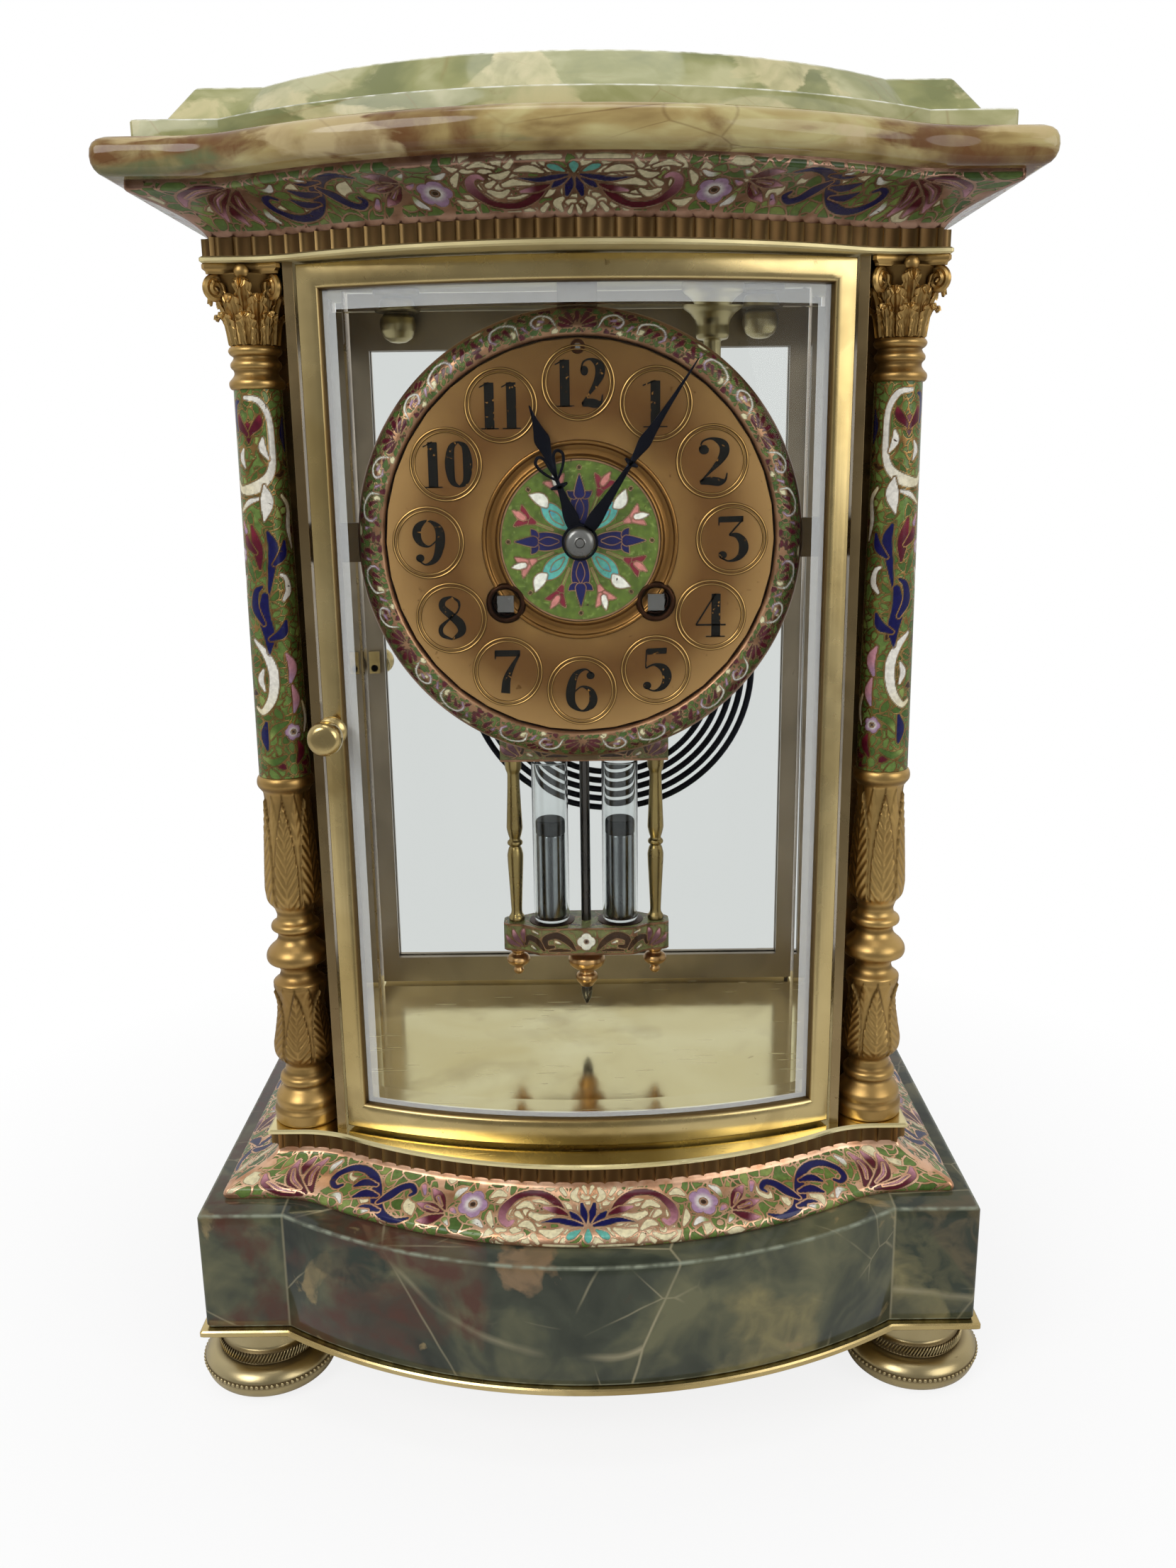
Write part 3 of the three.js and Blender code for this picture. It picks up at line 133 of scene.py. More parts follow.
GLAZE_CODES = (
    "green:667e3e leaf:4b652d moss:8a9a52 olive:77774a lime:586a28 cream:e6dbb2 white:e9e5da navy:16164f maroon:561425 "
    "pink:c98f9c lilac:a987a6 turquoise:5fae9f sky:4f9bb0 crimson:7c2233 coral:c98078 mauve:6d4750 brown:3d2719")
GLAZES: dict[str, Colour] = {name: shade(code) for name, code in (pair.split(":") for pair in GLAZE_CODES.split())}


class Sheet:
    """The node tree of a material or a world, with short ways to add and wire nodes."""

    def __init__(self, owner: Material | bpy.types.World) -> None:
        """Starts the nodes of a new material or world.

        Args:
            owner: The material or world.
        """
        owner.use_nodes = True
        self.owner = owner
        self.nodes, self.links = owner.node_tree.nodes, owner.node_tree.links
        self.shader = self.nodes.get("Principled BSDF")
        self.place = self.add("TexCoord", "Object", {})

    def put(self, socket: Socket, value: object) -> None:
        """Gives a socket its value.

        Args:
            socket: An input.
            value: A socket to link, a colour, a vector or a number.
        """
        if isinstance(value, bpy.types.NodeSocket):
            self.links.new(value, socket)
        elif isinstance(value, tuple) and socket.type == "RGBA":
            socket.default_value = (*value, 1.0)
        else:
            socket.default_value = value

    def add(self, kind: str, output: int | str, inputs: dict[int | str, object], **settings: object) -> Socket:
        """Adds a node.

        Args:
            kind: Its type, without the words ShaderNode.
            output: Which of its outputs is wanted.
            inputs: What its inputs get.
            **settings: Its own properties.

        Returns:
            The output.
        """
        node = self.nodes.new(f"ShaderNode{kind}")
        for name, value in settings.items():
            setattr(node, name, value)
        for name, value in inputs.items():
            self.put(node.inputs[name], value)
        return node.outputs[output]

    def set(self, **values: object) -> None:
        """Sets the shader's sockets, whose names have underscores for spaces."""
        for name, value in values.items():
            self.put(self.shader.inputs[name.replace("_", " ")], value)

    def stretched(self, scale: Station, turn: Station = (0.0, 0.0, 0.0), at: Station = (0.0, 0.0, 0.0)) -> Socket:
        """Object coordinates about a point in metres, turned by radians and then scaled."""
        moved = self.add("VectorMath", 0, {0: self.place, 1: at}, operation="SUBTRACT")
        return self.add("Mapping", 0, {"Vector": moved, "Rotation": turn, "Scale": scale})

    def noise(self, scale: float, detail: float = 3.0, warp: float = 0.0, where: Socket | None = None) -> Socket:
        """Noise from 0 to 1, with its scale in features per metre."""
        inputs = {"Vector": where or self.place, "Scale": scale, "Detail": detail, "Distortion": warp}
        return self.add("TexNoise", 0, inputs)

    def seams(self, scale: float, where: Socket) -> Socket:
        """The distance to the edges of Voronoi cells."""
        return self.add("TexVoronoi", "Distance", {"Vector": where, "Scale": scale}, feature="DISTANCE_TO_EDGE")

    def warped(self, scale: float, amount: float, where: Socket) -> Socket:
        """Coordinates pushed about by noise, so that what reads them bends."""
        push = self.add("TexNoise", "Color", {"Vector": where, "Scale": scale, "Detail": 4.0})
        return self.add("VectorMath", 0, {0: push, 1: (amount,) * 3, 2: where}, operation="MULTIPLY_ADD")

    def ranged(self, value: Socket, low: float, high: float, to_low: float = 0.0, to_high: float = 1.0) -> Socket:
        """A value carried from one range to another and held there."""
        names = ("Value", "From Min", "From Max", "To Min", "To Max")
        return self.add("MapRange", 0, dict(zip(names, (value, low, high, to_low, to_high))))

    def math(self, operation: str, a: object, b: object = 0.0) -> Socket:
        """One sum of two values."""
        return self.add("Math", 0, {0: a, 1: b}, operation=operation)

    def times(self, a: object, b: object) -> Socket:
        """Two values multiplied."""
        return self.math("MULTIPLY", a, b)

    def mix(self, share: object, a: object, b: object) -> Socket:
        """A colour part of the way from one to another."""
        return self.add("Mix", 2, {0: share, 6: a, 7: b}, data_type="RGBA")

    def ramp(self, value: Socket, *stops: tuple[float, str]) -> Socket:
        """A colour for each value, between stops.

        Args:
            value: The value.
            *stops: Values and the codes of their colours.

        Returns:
            The colour.
        """
        colour = self.add("ValToRGB", 0, {0: value})
        elements = colour.node.color_ramp.elements
        while len(elements) < len(stops):
            elements.new(1.0)
        for element, (at, code) in zip(elements, stops):
            element.position, element.color = at, (*shade(code), 1.0)
        return colour

    def attribute(self, name: str, output: str = "Fac") -> Socket:
        """A value that the mesh carries on its points, or 0."""
        return self.add("Attribute", output, {}, attribute_name=name)

    def bump(self, height: Socket, strength: float, distance: float) -> None:
        """Fine relief on the shader's normal, its distance in metres."""
        self.set(Normal=self.add("Bump", 0, {"Strength": strength, "Distance": distance, "Height": height}))

    def blend(self, share: Socket, other: Socket) -> None:
        """Shows another shader in place of a share of the first."""
        mixed = self.add("MixShader", 0, {0: share, 1: self.shader.outputs[0], 2: other})
        self.put(self.nodes["Material Output"].inputs["Surface"], mixed)


@dataclass(frozen=True)
class Finish:
    """What covers a piece. Colours are six-digit screen codes."""

    name: str

    @lru_cache
    def material(self) -> Material:
        """The finish's material, made once.

        Returns:
            The material.
        """
        sheet = Sheet(bpy.data.materials.new(self.name))
        self.draw(sheet)
        return sheet.owner

    def draw(self, s: Sheet) -> None:
        """Wires the finish's nodes on a sheet."""
        raise NotImplementedError


@dataclass(frozen=True)
class MetalFinish(Finish):
    """Aged metal: a tone that wanders, tarnished patches, dark flecks, scratches, and painted shade where the mesh
    carries it, in the same dark colour as the stains.
    """

    bright: str
    dull: str
    # Dark colour of the tarnished patches and of the painted shade.
    tarnish: str
    roughness: float
    spots: float = 0.3
    scratched: float = 0.0
    relief: float = 0.12

    def draw(self, s: Sheet) -> None:
        """Wires the tone, the stains with the painted shade, and the relief.

        Args:
            s: The material's nodes.
        """
        tone = s.mix(s.ranged(s.noise(22, 2, 0.8), 0.3, 0.7), shade(self.bright), shade(self.dull))
        flecks = s.ranged(s.noise(430, 3, 0.4), 0.71, 0.77)
        clouds = s.ranged(s.noise(42, 3, 0.6), 0.54, 0.8)
        stain_and_shade = s.times(s.math("MAXIMUM", flecks, clouds), self.spots)
        # Painted shade: values that the mesh carries darken the metal as the stains do.
        stain_and_shade = s.math("MAXIMUM", stain_and_shade, s.attribute("recess"))
        s.set(Base_Color=s.mix(stain_and_shade, tone, shade(self.tarnish)), Metallic=1.0)
        rough = s.ranged(s.noise(160, 3), 0.3, 0.7, self.roughness - 0.03, self.roughness + 0.04)
        relief = s.noise(120, 2)
        if self.scratched:
            for turn in (0.5, -0.7, 1.3):
                lines = s.noise(640, 1, 0.0, s.stretched((0.09, 1.0, 1.0), (0.0, 0.0, turn)))
                scuff = s.ranged(lines, 0.73, 0.77, 0.0, self.scratched)
                rough = s.math("ADD", rough, s.times(scuff, 0.3))
                relief = s.math("SUBTRACT", relief, scuff)
        s.set(Roughness=s.math("ADD", rough, s.times(stain_and_shade, 0.2)))
        s.bump(relief, self.relief, 0.00005)


@dataclass(frozen=True)
class Patch:
    """A patch of another colour in onyx, with a ragged edge."""

    colour: str
    scale: float
    level: float
    lean: float = 0.0
    edge: float = 0.03
    seed: float = 0.0
    ends: float = 0.0


@dataclass(frozen=True)
class OnyxFinish(Finish):
    """Polished onyx: clouds of three tones, ragged patches, straight pale cracks, and a painted highlight along its
    rounded edges.
    """

    deep: str
    middle: str
    light: str
    crack: str
    cloud: float
    stretch: Station
    patches: tuple[Patch, ...]
    cracks: float = 0.6
    turn: Station = (0.0, 0.0, 0.0)
    joint: float = 1.0
    # Colour of the painted highlight along the rounded edges.
    edge: str = "f0f0e6"

    def draw(self, s: Sheet) -> None:
        """Wires the body, with another piece of stone beyond each joint, and the painted highlight on the rounded
        edges.

        Args:
            s: The material's nodes.
        """
        across = s.add("SeparateXYZ", "X", {0: s.place})
        aside = s.math("ABSOLUTE", across)
        beyond = s.math("GREATER_THAN", aside, self.joint)
        s.place = s.add("VectorMath", 0, {0: beyond, 1: (0.37, 0.0, 0.21), 2: s.place}, operation="MULTIPLY_ADD")
        place = s.stretched(self.stretch, self.turn)
        clouds = s.math("ADD", s.times(s.noise(self.cloud, 3, 1.2, s.warped(26, 0.03, place)), 0.7),
                        s.times(s.noise(self.cloud * 3.1, 6, 0.8, place), 0.3))
        body = s.ramp(clouds, (0.36, self.deep), (0.5, self.middle), (0.64, self.light))
        for patch in self.patches:
            start = (patch.seed, 0.31 * patch.seed, 0.17)
            level = s.noise(patch.scale, 6, 0.5, s.stretched(self.stretch, self.turn, start))
            level = s.math("ADD", level, s.times(across, patch.lean))
            level = s.math("ADD", level, s.times(aside, patch.ends))
            share = s.ranged(level, patch.level, patch.level + patch.edge)
            share = s.times(share, s.ranged(s.noise(130, 5, 0.8), 0.36, 0.6, 0.4, 0.95))
            body = s.mix(share, body, shade(patch.colour))
        wide = s.ranged(s.seams(15, s.warped(9, 0.012, place)), 0.0, 0.007, 1.0, 0.0)
        fine = s.ranged(s.seams(37, s.warped(14, 0.008, place)), 0.0, 0.012, 0.7, 0.0)
        broad = s.times(wide, s.ranged(s.noise(30, 2), 0.44, 0.62))
        thin = s.times(fine, s.ranged(s.noise(36, 2), 0.5, 0.64))
        line = s.times(s.math("MAXIMUM", broad, thin), self.cracks)
        seam = s.ranged(s.math("ABSOLUTE", s.math("SUBTRACT", aside, self.joint)), 0.0, 0.0005, 0.45, 0.0)
        body = s.mix(s.math("MAXIMUM", line, seam), body, shade(self.crack))
        # Painted highlight: rounded edges turn pale in broken dashes, as if catching the lamps.
        worn = s.times(s.attribute("edge"), s.ranged(s.noise(330, 1), 0.4, 0.6, 0.35, 1.0))
        s.set(Base_Color=s.mix(worn, body, shade(self.edge)), IOR=1.5, Specular_IOR_Level=0.26)
        s.set(Roughness=s.ranged(s.noise(300, 4), 0.3, 0.7, 0.05, 0.12))
        s.bump(s.math("SUBTRACT", s.noise(500, 4), s.times(thin, 0.6)), 0.08, 0.00004)


@dataclass(frozen=True)
class EnamelFinish(Finish):
    """Coloured glazes in metal cells, both painted on the mesh's points."""

    metal: str
    worn: str

    def draw(self, s: Sheet) -> None:
        """Wires the glaze, the metal walls and the grime beside them.

        Args:
            s: The material's nodes.
        """
        metal = s.attribute("wall")
        wall = s.ranged(metal, 0.25, 0.75)
        grime = s.ranged(s.math("ABSOLUTE", s.math("SUBTRACT", metal, 0.3)), 0.0, 0.26, 0.6, 0.0)
        glaze = s.mix(s.ranged(s.noise(900, 3), 0.35, 0.7, 0.0, 0.28), s.attribute("glaze", "Color"), (0.0, 0.0, 0.0))
        pits = s.ranged(s.noise(700, 5, 0.5), 0.68, 0.74)
        rubbed = s.mix(s.ranged(s.noise(200, 5), 0.42, 0.66), shade(self.metal), shade(self.worn))
        s.set(Base_Color=s.mix(s.math("MAXIMUM", pits, grime), s.mix(wall, glaze, rubbed), GLAZES["brown"]))
        s.set(Metallic=s.times(wall, 0.9), Roughness=s.ranged(wall, 0.0, 1.0, 0.2, 0.34), Specular_IOR_Level=0.3)
        s.bump(s.math("SUBTRACT", s.times(wall, 0.8), pits), 0.35, 0.00012)


@dataclass(frozen=True)
class GlassFinish(Finish):
    """Clear glass that lets the lamps through to what it encloses. Its tint is linear."""

    tint: Colour
    mirror: float = 0.08
    clear: float = 1.0
    index: float = 1.47

    def draw(self, s: Sheet) -> None:
        """Wires the glass, which shadow rays pass.

        Args:
            s: The material's nodes.
        """
        s.set(Base_Color=self.tint, Transmission_Weight=self.clear, IOR=self.index, Roughness=0.0)
        s.set(Specular_Tint=(self.mirror,) * 3)
        s.blend(s.add("LightPath", "Is Shadow Ray", {}), s.add("BsdfTransparent", 0, {0: self.tint}))


@dataclass(frozen=True)
class DialFinish(Finish):
    """Matte gilding, browner in the ring of hours, paler at the rim, and darker at the top as painted shade. Its sizes
    are metres.
    """

    centre: Station
    radius: float

    def draw(self, s: Sheet) -> None:
        """Wires the rings of tone, the painted shade at the top and the spots.

        Args:
            s: The material's nodes.
        """
        about = s.stretched((1 / self.radius,) * 3, at=self.centre)
        reach = s.add("VectorMath", "Value", {0: about}, operation="LENGTH")
        height = s.add("SeparateXYZ", "Z", {0: about})
        tone = s.mix(s.ranged(s.noise(60, 4, 0.5), 0.35, 0.65), shade("947142"), shade("84623a"))
        tone = s.mix(s.times(s.ranged(reach, 0.5, 0.66), s.ranged(reach, 0.98, 0.74)), tone, shade("6e4c2a"))
        rim = s.times(s.ranged(reach, 0.8, 1.0), s.ranged(height, 0.95, 0.3))
        # Painted shade: darker towards the top, under the bezel.
        top = s.times(s.ranged(height, 0.35, 1.0), 0.55)
        warm = s.mix(top, s.mix(rim, tone, shade("a88353")), shade("4a2f16"))
        # Values that the mesh carries as painted shade darken it like the spots.
        spots = s.math("MAXIMUM", s.ranged(s.noise(620, 5, 0.3), 0.68, 0.76, 0.0, 0.6), s.attribute("recess"))
        s.set(Base_Color=s.mix(spots, warm, shade("4a2c12")), Metallic=0.92)
        s.set(Roughness=s.ranged(s.noise(1500, 3), 0.3, 0.7, 0.36, 0.46))
        s.bump(s.noise(2600, 2), 0.2, 0.00003)


@dataclass(frozen=True)
class InkFinish(Finish):
    """Black numeral paint, chipped in places."""

    def draw(self, s: Sheet) -> None:
        """Wires the paint and its chips.

        Args:
            s: The material's nodes.
        """
        chips = s.ranged(s.noise(900, 5, 0.4), 0.655, 0.68)
        s.set(Base_Color=s.mix(chips, shade("12100d"), shade("8a5f2c")), Roughness=s.ranged(chips, 0, 1, 0.4, 0.55))
        s.set(Specular_IOR_Level=0.1)


@dataclass(frozen=True)
class FloorFinish(Finish):
    """A pale floor that keeps the object's shadow near it and fades into the white."""

    behind_glass: float

    def draw(self, s: Sheet) -> None:
        """Wires the floor and the white that the camera sees of it.

        Args:
            s: The material's nodes.
        """
        s.set(Base_Color=(0.8, 0.8, 0.8), Roughness=0.9)
        far = s.ranged(s.add("VectorMath", "Value", {0: s.place}, operation="LENGTH"), 0.1, 0.3, 0.84, 1.0)
        seen = s.add("LightPath", "Is Camera Ray", {})
        behind = seen.node.outputs["Is Transmission Ray"]
        glow = s.add("Emission", 0, {"Strength": s.ranged(behind, 0.0, 1.0, 1.0, self.behind_glass)})
        s.blend(s.times(s.math("MAXIMUM", seen, behind), far), glow)


BRASS = MetalFinish("aged_brass", "d5c08a", "b59e68", "5c4425", 0.25, 0.5)
# The side and rear brasses are darker copies of the brass: painted shade for the shaded jambs and the frames seen
# through the glass.
SHADED_SIDE_BRASS = MetalFinish("side_brass", "a9936a", "8a7552", "4c3a24", 0.28, 0.5)
SHADED_REAR_BRASS = MetalFinish("rear_brass", "a49784", "887c6a", "4c4036", 0.34, 0.4)
PLATE_BRASS = MetalFinish("plate_brass", "eee2b2", "dccb92", "8a6e40", 0.13, 0.35, 0.6, 0.03)
FLUTE_BRASS = MetalFinish("fluted_brass", "b89b68", "94784c", "4a321c", 0.34, 0.4)
GILT = MetalFinish("gilt_casting", "c9a768", "a5844f", "432e15", 0.38, 0.3)
FOOT_BRASS = MetalFinish("foot_brass", "c4b58c", "a6956c", "54432a", 0.3, 0.35)
ROSE_BRASS = MetalFinish("rose_brass", "c39b6a", "9a7648", "4c3018", 0.3, 0.4)
MOVEMENT_BRASS = MetalFinish("movement_brass", "b59a5c", "977d45", "6a4f28", 0.34, 0.3)
STEEL = MetalFinish("bright_steel", "7d7b79", "686664", "403c38", 0.28, 0.12)
DARK_STEEL = MetalFinish("dark_steel", "5a5653", "423f3d", "25211f", 0.25, 0.45)
BLUED = MetalFinish("blued_steel", "191a22", "101015", "1c1512", 0.3, 0.25)
MERCURY = MetalFinish("quicksilver", "a4a8aa", "707476", "232527", 0.1, 0.3)
SLUDGE = MetalFinish("quicksilver_skin", "34373a", "222527", "121415", 0.45, 0.6)
PILLAR_BRASS = MetalFinish("pillar_brass", "a8935f", "7f6c44", "3d2f1c", 0.28, 0.45)
# A brighter copy of the gilding: a painted highlight on the plaque rings' crests.
HIGHLIT_PLAQUE_GILT = MetalFinish("plaque_gilt", "bb955c", "a27d48", "3a2411", 0.3, 0.1)
HOLLOW_GILT = MetalFinish("hollow_gilt", "8a6538", "76532b", "40260f", 0.3, 0.12)
CEILING_BRASS = MetalFinish("ceiling_brass", "ece0b2", "d6c792", "8a6e40", 0.5, 0.25)
POST_BRASS = MetalFinish("post_brass", "c6b98e", "aa9d74", "5c4c30", 0.36, 0.2)
# A dark copy of the brass: painted shade for the bracket and the front plate inside the case.
SHADED_BRACKET_BRASS = MetalFinish("bracket_brass", "6f5c44", "54452f", "33271a", 0.42, 0.4)
# The eyelets' own dark bronze, darkened further as painted shade in their holes. The sleeves and the jar seats share
# it.
EYELET = MetalFinish("eyelet_bronze", "43291a", "2a190f", "120b07", 0.35, 0.45)
# The base onyx's last colour is its painted edge highlight; the cap and the slab keep the default one.
BASE_ONYX = OnyxFinish(
    "base_onyx", "262a24", "3e4236", "64634a", "a39a7c", 22, (1.0, 1.0, 0.9),
    (Patch("7c7450", 14, 0.57, 1.9, 0.05, 0.4, -1.4), Patch("7b654b", 18, 0.6, 0.2, 0.02, 1.7),
     Patch("4e3228", 22, 0.62, -1.8, 0.06, 2.6), Patch("857552", 40, 0.64, 0.0, 0.02, 3.3),
     Patch("2b342c", 24, 0.66, 0.6, 0.03, 4.1, 1.3)), 0.75, (0.3, 0.5, 0.2), 0.0832, "8c9280")
CAP_ONYX = OnyxFinish(
    "cap_onyx", "767a50", "919262", "b3b087", "86653a", 26, (1.0, 1.0, 2.0),
    (Patch("c0b78c", 34, 0.55, 0.0, 0.03, 0.9), Patch("85704a", 40, 0.7, 0.0, 0.05, 2.1)), 0.4, (0.2, 0.1, 0.4))
SLAB_ONYX = OnyxFinish(
    "slab_onyx", "765e39", "a08c5b", "b9ae7b", "56361d", 34, (0.7, 0.7, 2.2),
    (Patch("684529", 30, 0.645, -0.3, 0.06, 0.6, 2.4), Patch("b7a479", 40, 0.57, 0.0, 0.03, 1.4),
     Patch("66714e", 28, 0.6, 0.0, 0.06, 2.2)), 0.6, (0.05, 0.08, 0.1))
ENAMEL = EnamelFinish("moulding_enamel", "e3b999", "bd8c69")
# The cornice's enamel is a darker copy of the moulding's, painted shade under the overhang.
SHADED_CORNICE_ENAMEL = EnamelFinish("cornice_enamel", "a58370", "7c5d4a")
SHAFT_ENAMEL = EnamelFinish("shaft_enamel", "a5814f", "7c5a34")
BEZEL_ENAMEL = EnamelFinish("bezel_enamel", "9c765a", "77563f")
GLASS = GlassFinish("clear_glass", (0.94, 0.96, 0.95))
# Partly white glass for the film along the front pane's bevel: a painted highlight.
BEVEL_HIGHLIGHT_GLASS = GlassFinish("bevel_glass", (0.95, 0.97, 0.97), 0.3, 0.82, 1.03)
JAR_GLASS = GlassFinish("jar_glass", (0.9, 0.92, 0.92), 0.9)
INK = InkFinish("numeral_paint")


# Mesh making


def grid_faces(rows: int, columns: int, ring_rows: bool = False) -> Array:
    """Four-sided faces over rows of points that close on themselves.

    Args:
        rows: Count of rows.
        columns: Count of points in a row.
        ring_rows: Joins the last row to the first.

    Returns:
        An array of point numbers, four to a face.
    """
    i, j = np.meshgrid(np.arange(rows - (not ring_rows)), np.arange(columns), indexing="ij")
    below, beside = (i + 1) % rows, (j + 1) % columns
    corners = [i * columns + j, i * columns + beside, below * columns + beside, below * columns + j]
    return np.stack(corners, -1).reshape(-1, 4)


def linked(name: str, data: bpy.types.ID) -> Object:
    """A new object in the scene that shows the data.

    Args:
        name: The object's name.
        data: What it shows.

    Returns:
        The object.
    """
    thing = bpy.data.objects.new(name, data)
    bpy.context.scene.collection.objects.link(thing)
    return thing


def make(name: str, shape: Shape, finish: Finish, crease: float = 40.0, **values: Array) -> Object:
    """A mesh object with its faces turned outwards.

    Args:
        name: The piece's name.
        shape: Points in millimetres, and the point numbers of each face.
        finish: What covers it.
        crease: Edges sharper than this, in degrees, stay crisp.
        **values: Numbers or colours that the points carry, by attribute name.

    Returns:
        The object, linked to the scene.
    """
    points, faces = np.asarray(shape[0], float), [list(map(int, face)) for face in shape[1]]
    tips = np.array([(f[0], f[i], f[i + 1]) for f in faces for i in range(1, len(f) - 1)])
    a, b, c = (points[tips[:, k]] for k in range(3))
    if np.einsum("ij,ij->i", a, np.cross(b, c)).sum() < 0:
        faces = [face[::-1] for face in faces]
    mesh = bpy.data.meshes.new(name)
    mesh.from_pydata((points * MM).tolist(), [], faces)
    mesh.materials.append(finish.material())
    for key, value in values.items():
        if value.ndim == 2:
            rgba = np.hstack([value, np.ones((len(value), 1))])
            mesh.attributes.new(key, "FLOAT_COLOR", "POINT").data.foreach_set("color", rgba.astype(np.float32).ravel())
        else:
            mesh.attributes.new(key, "FLOAT", "POINT").data.foreach_set("value", value.astype(np.float32))
    mesh.polygons.foreach_set("use_smooth", [True] * len(mesh.polygons))
    mesh.set_sharp_from_angle(angle=math.radians(crease))
    mesh.update()
    return linked(name, mesh)


def dress(piece: Object, body: str, slot: str, *stands_for: str) -> None:
    """Puts a finished piece on its body.

    Args:
        piece: The piece, with its place in its mesh.
        body: The body that it moves with.
        slot: The material slot. Not used.
        *stands_for: Solids that it takes the place of.
    """
    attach(piece, body)
    if stands_for:
        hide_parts(*stands_for)
    LOG.info("%s rides on %s", piece.name, body)


def fit(name: str, shape: Shape, finish: Finish, body: str, slot: str, *stands_for: str, crease: float = 40.0,
        **values: Array) -> None:
    """Makes a piece and puts it on its body, with the arguments of make and dress."""
    dress(make(name, shape, finish, crease, **values), body, slot, *stands_for)


def plain(piece: Object) -> Object:
    """Turns a piece's modifiers into its mesh.

    Args:
        piece: The piece.

    Returns:
        The same piece.
    """
    depsgraph = bpy.context.evaluated_depsgraph_get()
    mesh = bpy.data.meshes.new_from_object(piece.evaluated_get(depsgraph))
    piece.modifiers.clear()
    piece.data = mesh
    return piece


def softened(piece: Object, width: float, segments: int = 2) -> Object:
    """Rounds a piece's crisp edges.

    Args:
        piece: The piece.
        width: Width of the rounding.
        segments: Steps across it.

    Returns:
        The same piece.
    """
    bevel = piece.modifiers.new("edges", "BEVEL")
    bevel.width, bevel.segments = width * MM, segments
    bevel.limit_method, bevel.angle_limit = "ANGLE", math.radians(32)
    piece.modifiers.new("normals", "WEIGHTED_NORMAL").keep_sharp = False
    return plain(piece)


def refined(node: str, finish: Finish, bevel: float) -> Object:
    """A copy of a solid with merged faces and softened edges, in its place.

    Args:
        node: The solid's name.
        finish: What covers the copy.
        bevel: Width of the softened edges.

    Returns:
        The copy.
    """
    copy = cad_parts[node].data.copy()
    work = bmesh.new()
    work.from_mesh(copy)
    bmesh.ops.remove_doubles(work, verts=work.verts, dist=1e-6)
    bmesh.ops.dissolve_limit(work, angle_limit=math.radians(0.6), verts=work.verts, edges=work.edges)
    for face in work.faces:
        face.smooth = True
    work.to_mesh(copy)
    work.free()
    copy.materials.clear()
    copy.materials.append(finish.material())
    return softened(linked(f"{node}_shaped", copy), bevel)


def box_of(node: str) -> Iterable[Array]:
    """The lowest and highest corner of a solid."""
    return (np.array(corner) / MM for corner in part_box(node))


def smooth_line(spots: Sequence[Sequence[float]], steps: int = 6) -> Array:
    """A smooth line through stations.

    Args:
        spots: Points of any dimension.
        steps: New points between two stations.

    Returns:
        The points along a Catmull-Rom curve.
    """
    p = np.asarray(spots, float)
    if len(p) < 3:
        t = np.linspace(0, 1, steps + 1)[:, None]
        return p[0] * (1 - t) + p[-1] * t
    padded = np.vstack([2 * p[0] - p[1], p, 2 * p[-1] - p[-2]])
    out = []
    for a, b, c, d in zip(padded, padded[1:], padded[2:], padded[3:]):
        for t in np.arange(steps) / steps:
            bend = (2 * a - 5 * b + 4 * c - d) * t ** 2 + (3 * b - a - 3 * c + d) * t ** 3
            out.append(0.5 * (2 * b + (c - a) * t + bend))
    return np.array([*out, p[-1]])


def rounded(points: Sequence[Point], radius: float, steps: int = 3) -> Array:
    """An open outline with its inner corners rounded.

    Args:
        points: The outline's corners.
        radius: How far from a corner its rounding starts, at most.
        steps: New points on a rounding.

    Returns:
        The outline's points.
    """
    p = np.asarray(points, float)
    out = [p[0]]
    for before, corner, after in zip(p, p[1:], p[2:]):
        reach = min(radius, 0.45 * np.linalg.norm(before - corner), 0.45 * np.linalg.norm(after - corner))
        start = corner + (before - corner) / np.linalg.norm(before - corner) * reach
        end = corner + (after - corner) / np.linalg.norm(after - corner) * reach
        for t in np.linspace(0, 1, steps + 1):
            out.append((1 - t) ** 2 * start + 2 * t * (1 - t) * corner + t ** 2 * end)
    return np.array([*out, p[-1]])


def lengths(line: Array) -> Array:
    """The distance along a line at each of its points."""
    return np.concatenate([[0.0], np.cumsum(np.linalg.norm(np.diff(line, axis=0), axis=1))])


def resample(line: Array, step: float) -> Array:
    """The same line with points evenly apart.

    Args:
        line: Its points.
        step: Distance between new points, about.

    Returns:
        The new points.
    """
    along = lengths(line)
    even = np.linspace(0, along[-1], max(2, round(along[-1] / step) + 1))
    return np.stack([np.interp(even, along, column) for column in line.T], -1)


def angles(steps: int) -> Array:
    """Angles evenly round a circle."""
    return np.linspace(0, math.tau, steps, endpoint=False)


def spin(angle: float) -> Array:
    """The matrix that turns rows of points about +Z."""
    return np.array([[math.cos(angle), math.sin(angle), 0], [-math.sin(angle), math.cos(angle), 0], [0, 0, 1]])


def raised(outline: Array, height: float) -> Array:
    """A flat outline's points at a height."""
    return np.column_stack([outline, np.full(len(outline), height)])


def moved(shape: Shape, by: Sequence[float]) -> Shape:
    """A shape in another place."""
    return shape[0] + np.asarray(by), shape[1]


def facing(shape: Shape, centre: Station) -> Shape:
    """A shape made with its axis along +Z, laid so that it points to the front, at a centre."""
    points, faces = shape
    return np.stack([points[:, 0], -points[:, 2], points[:, 1]], -1) + np.asarray(centre), faces


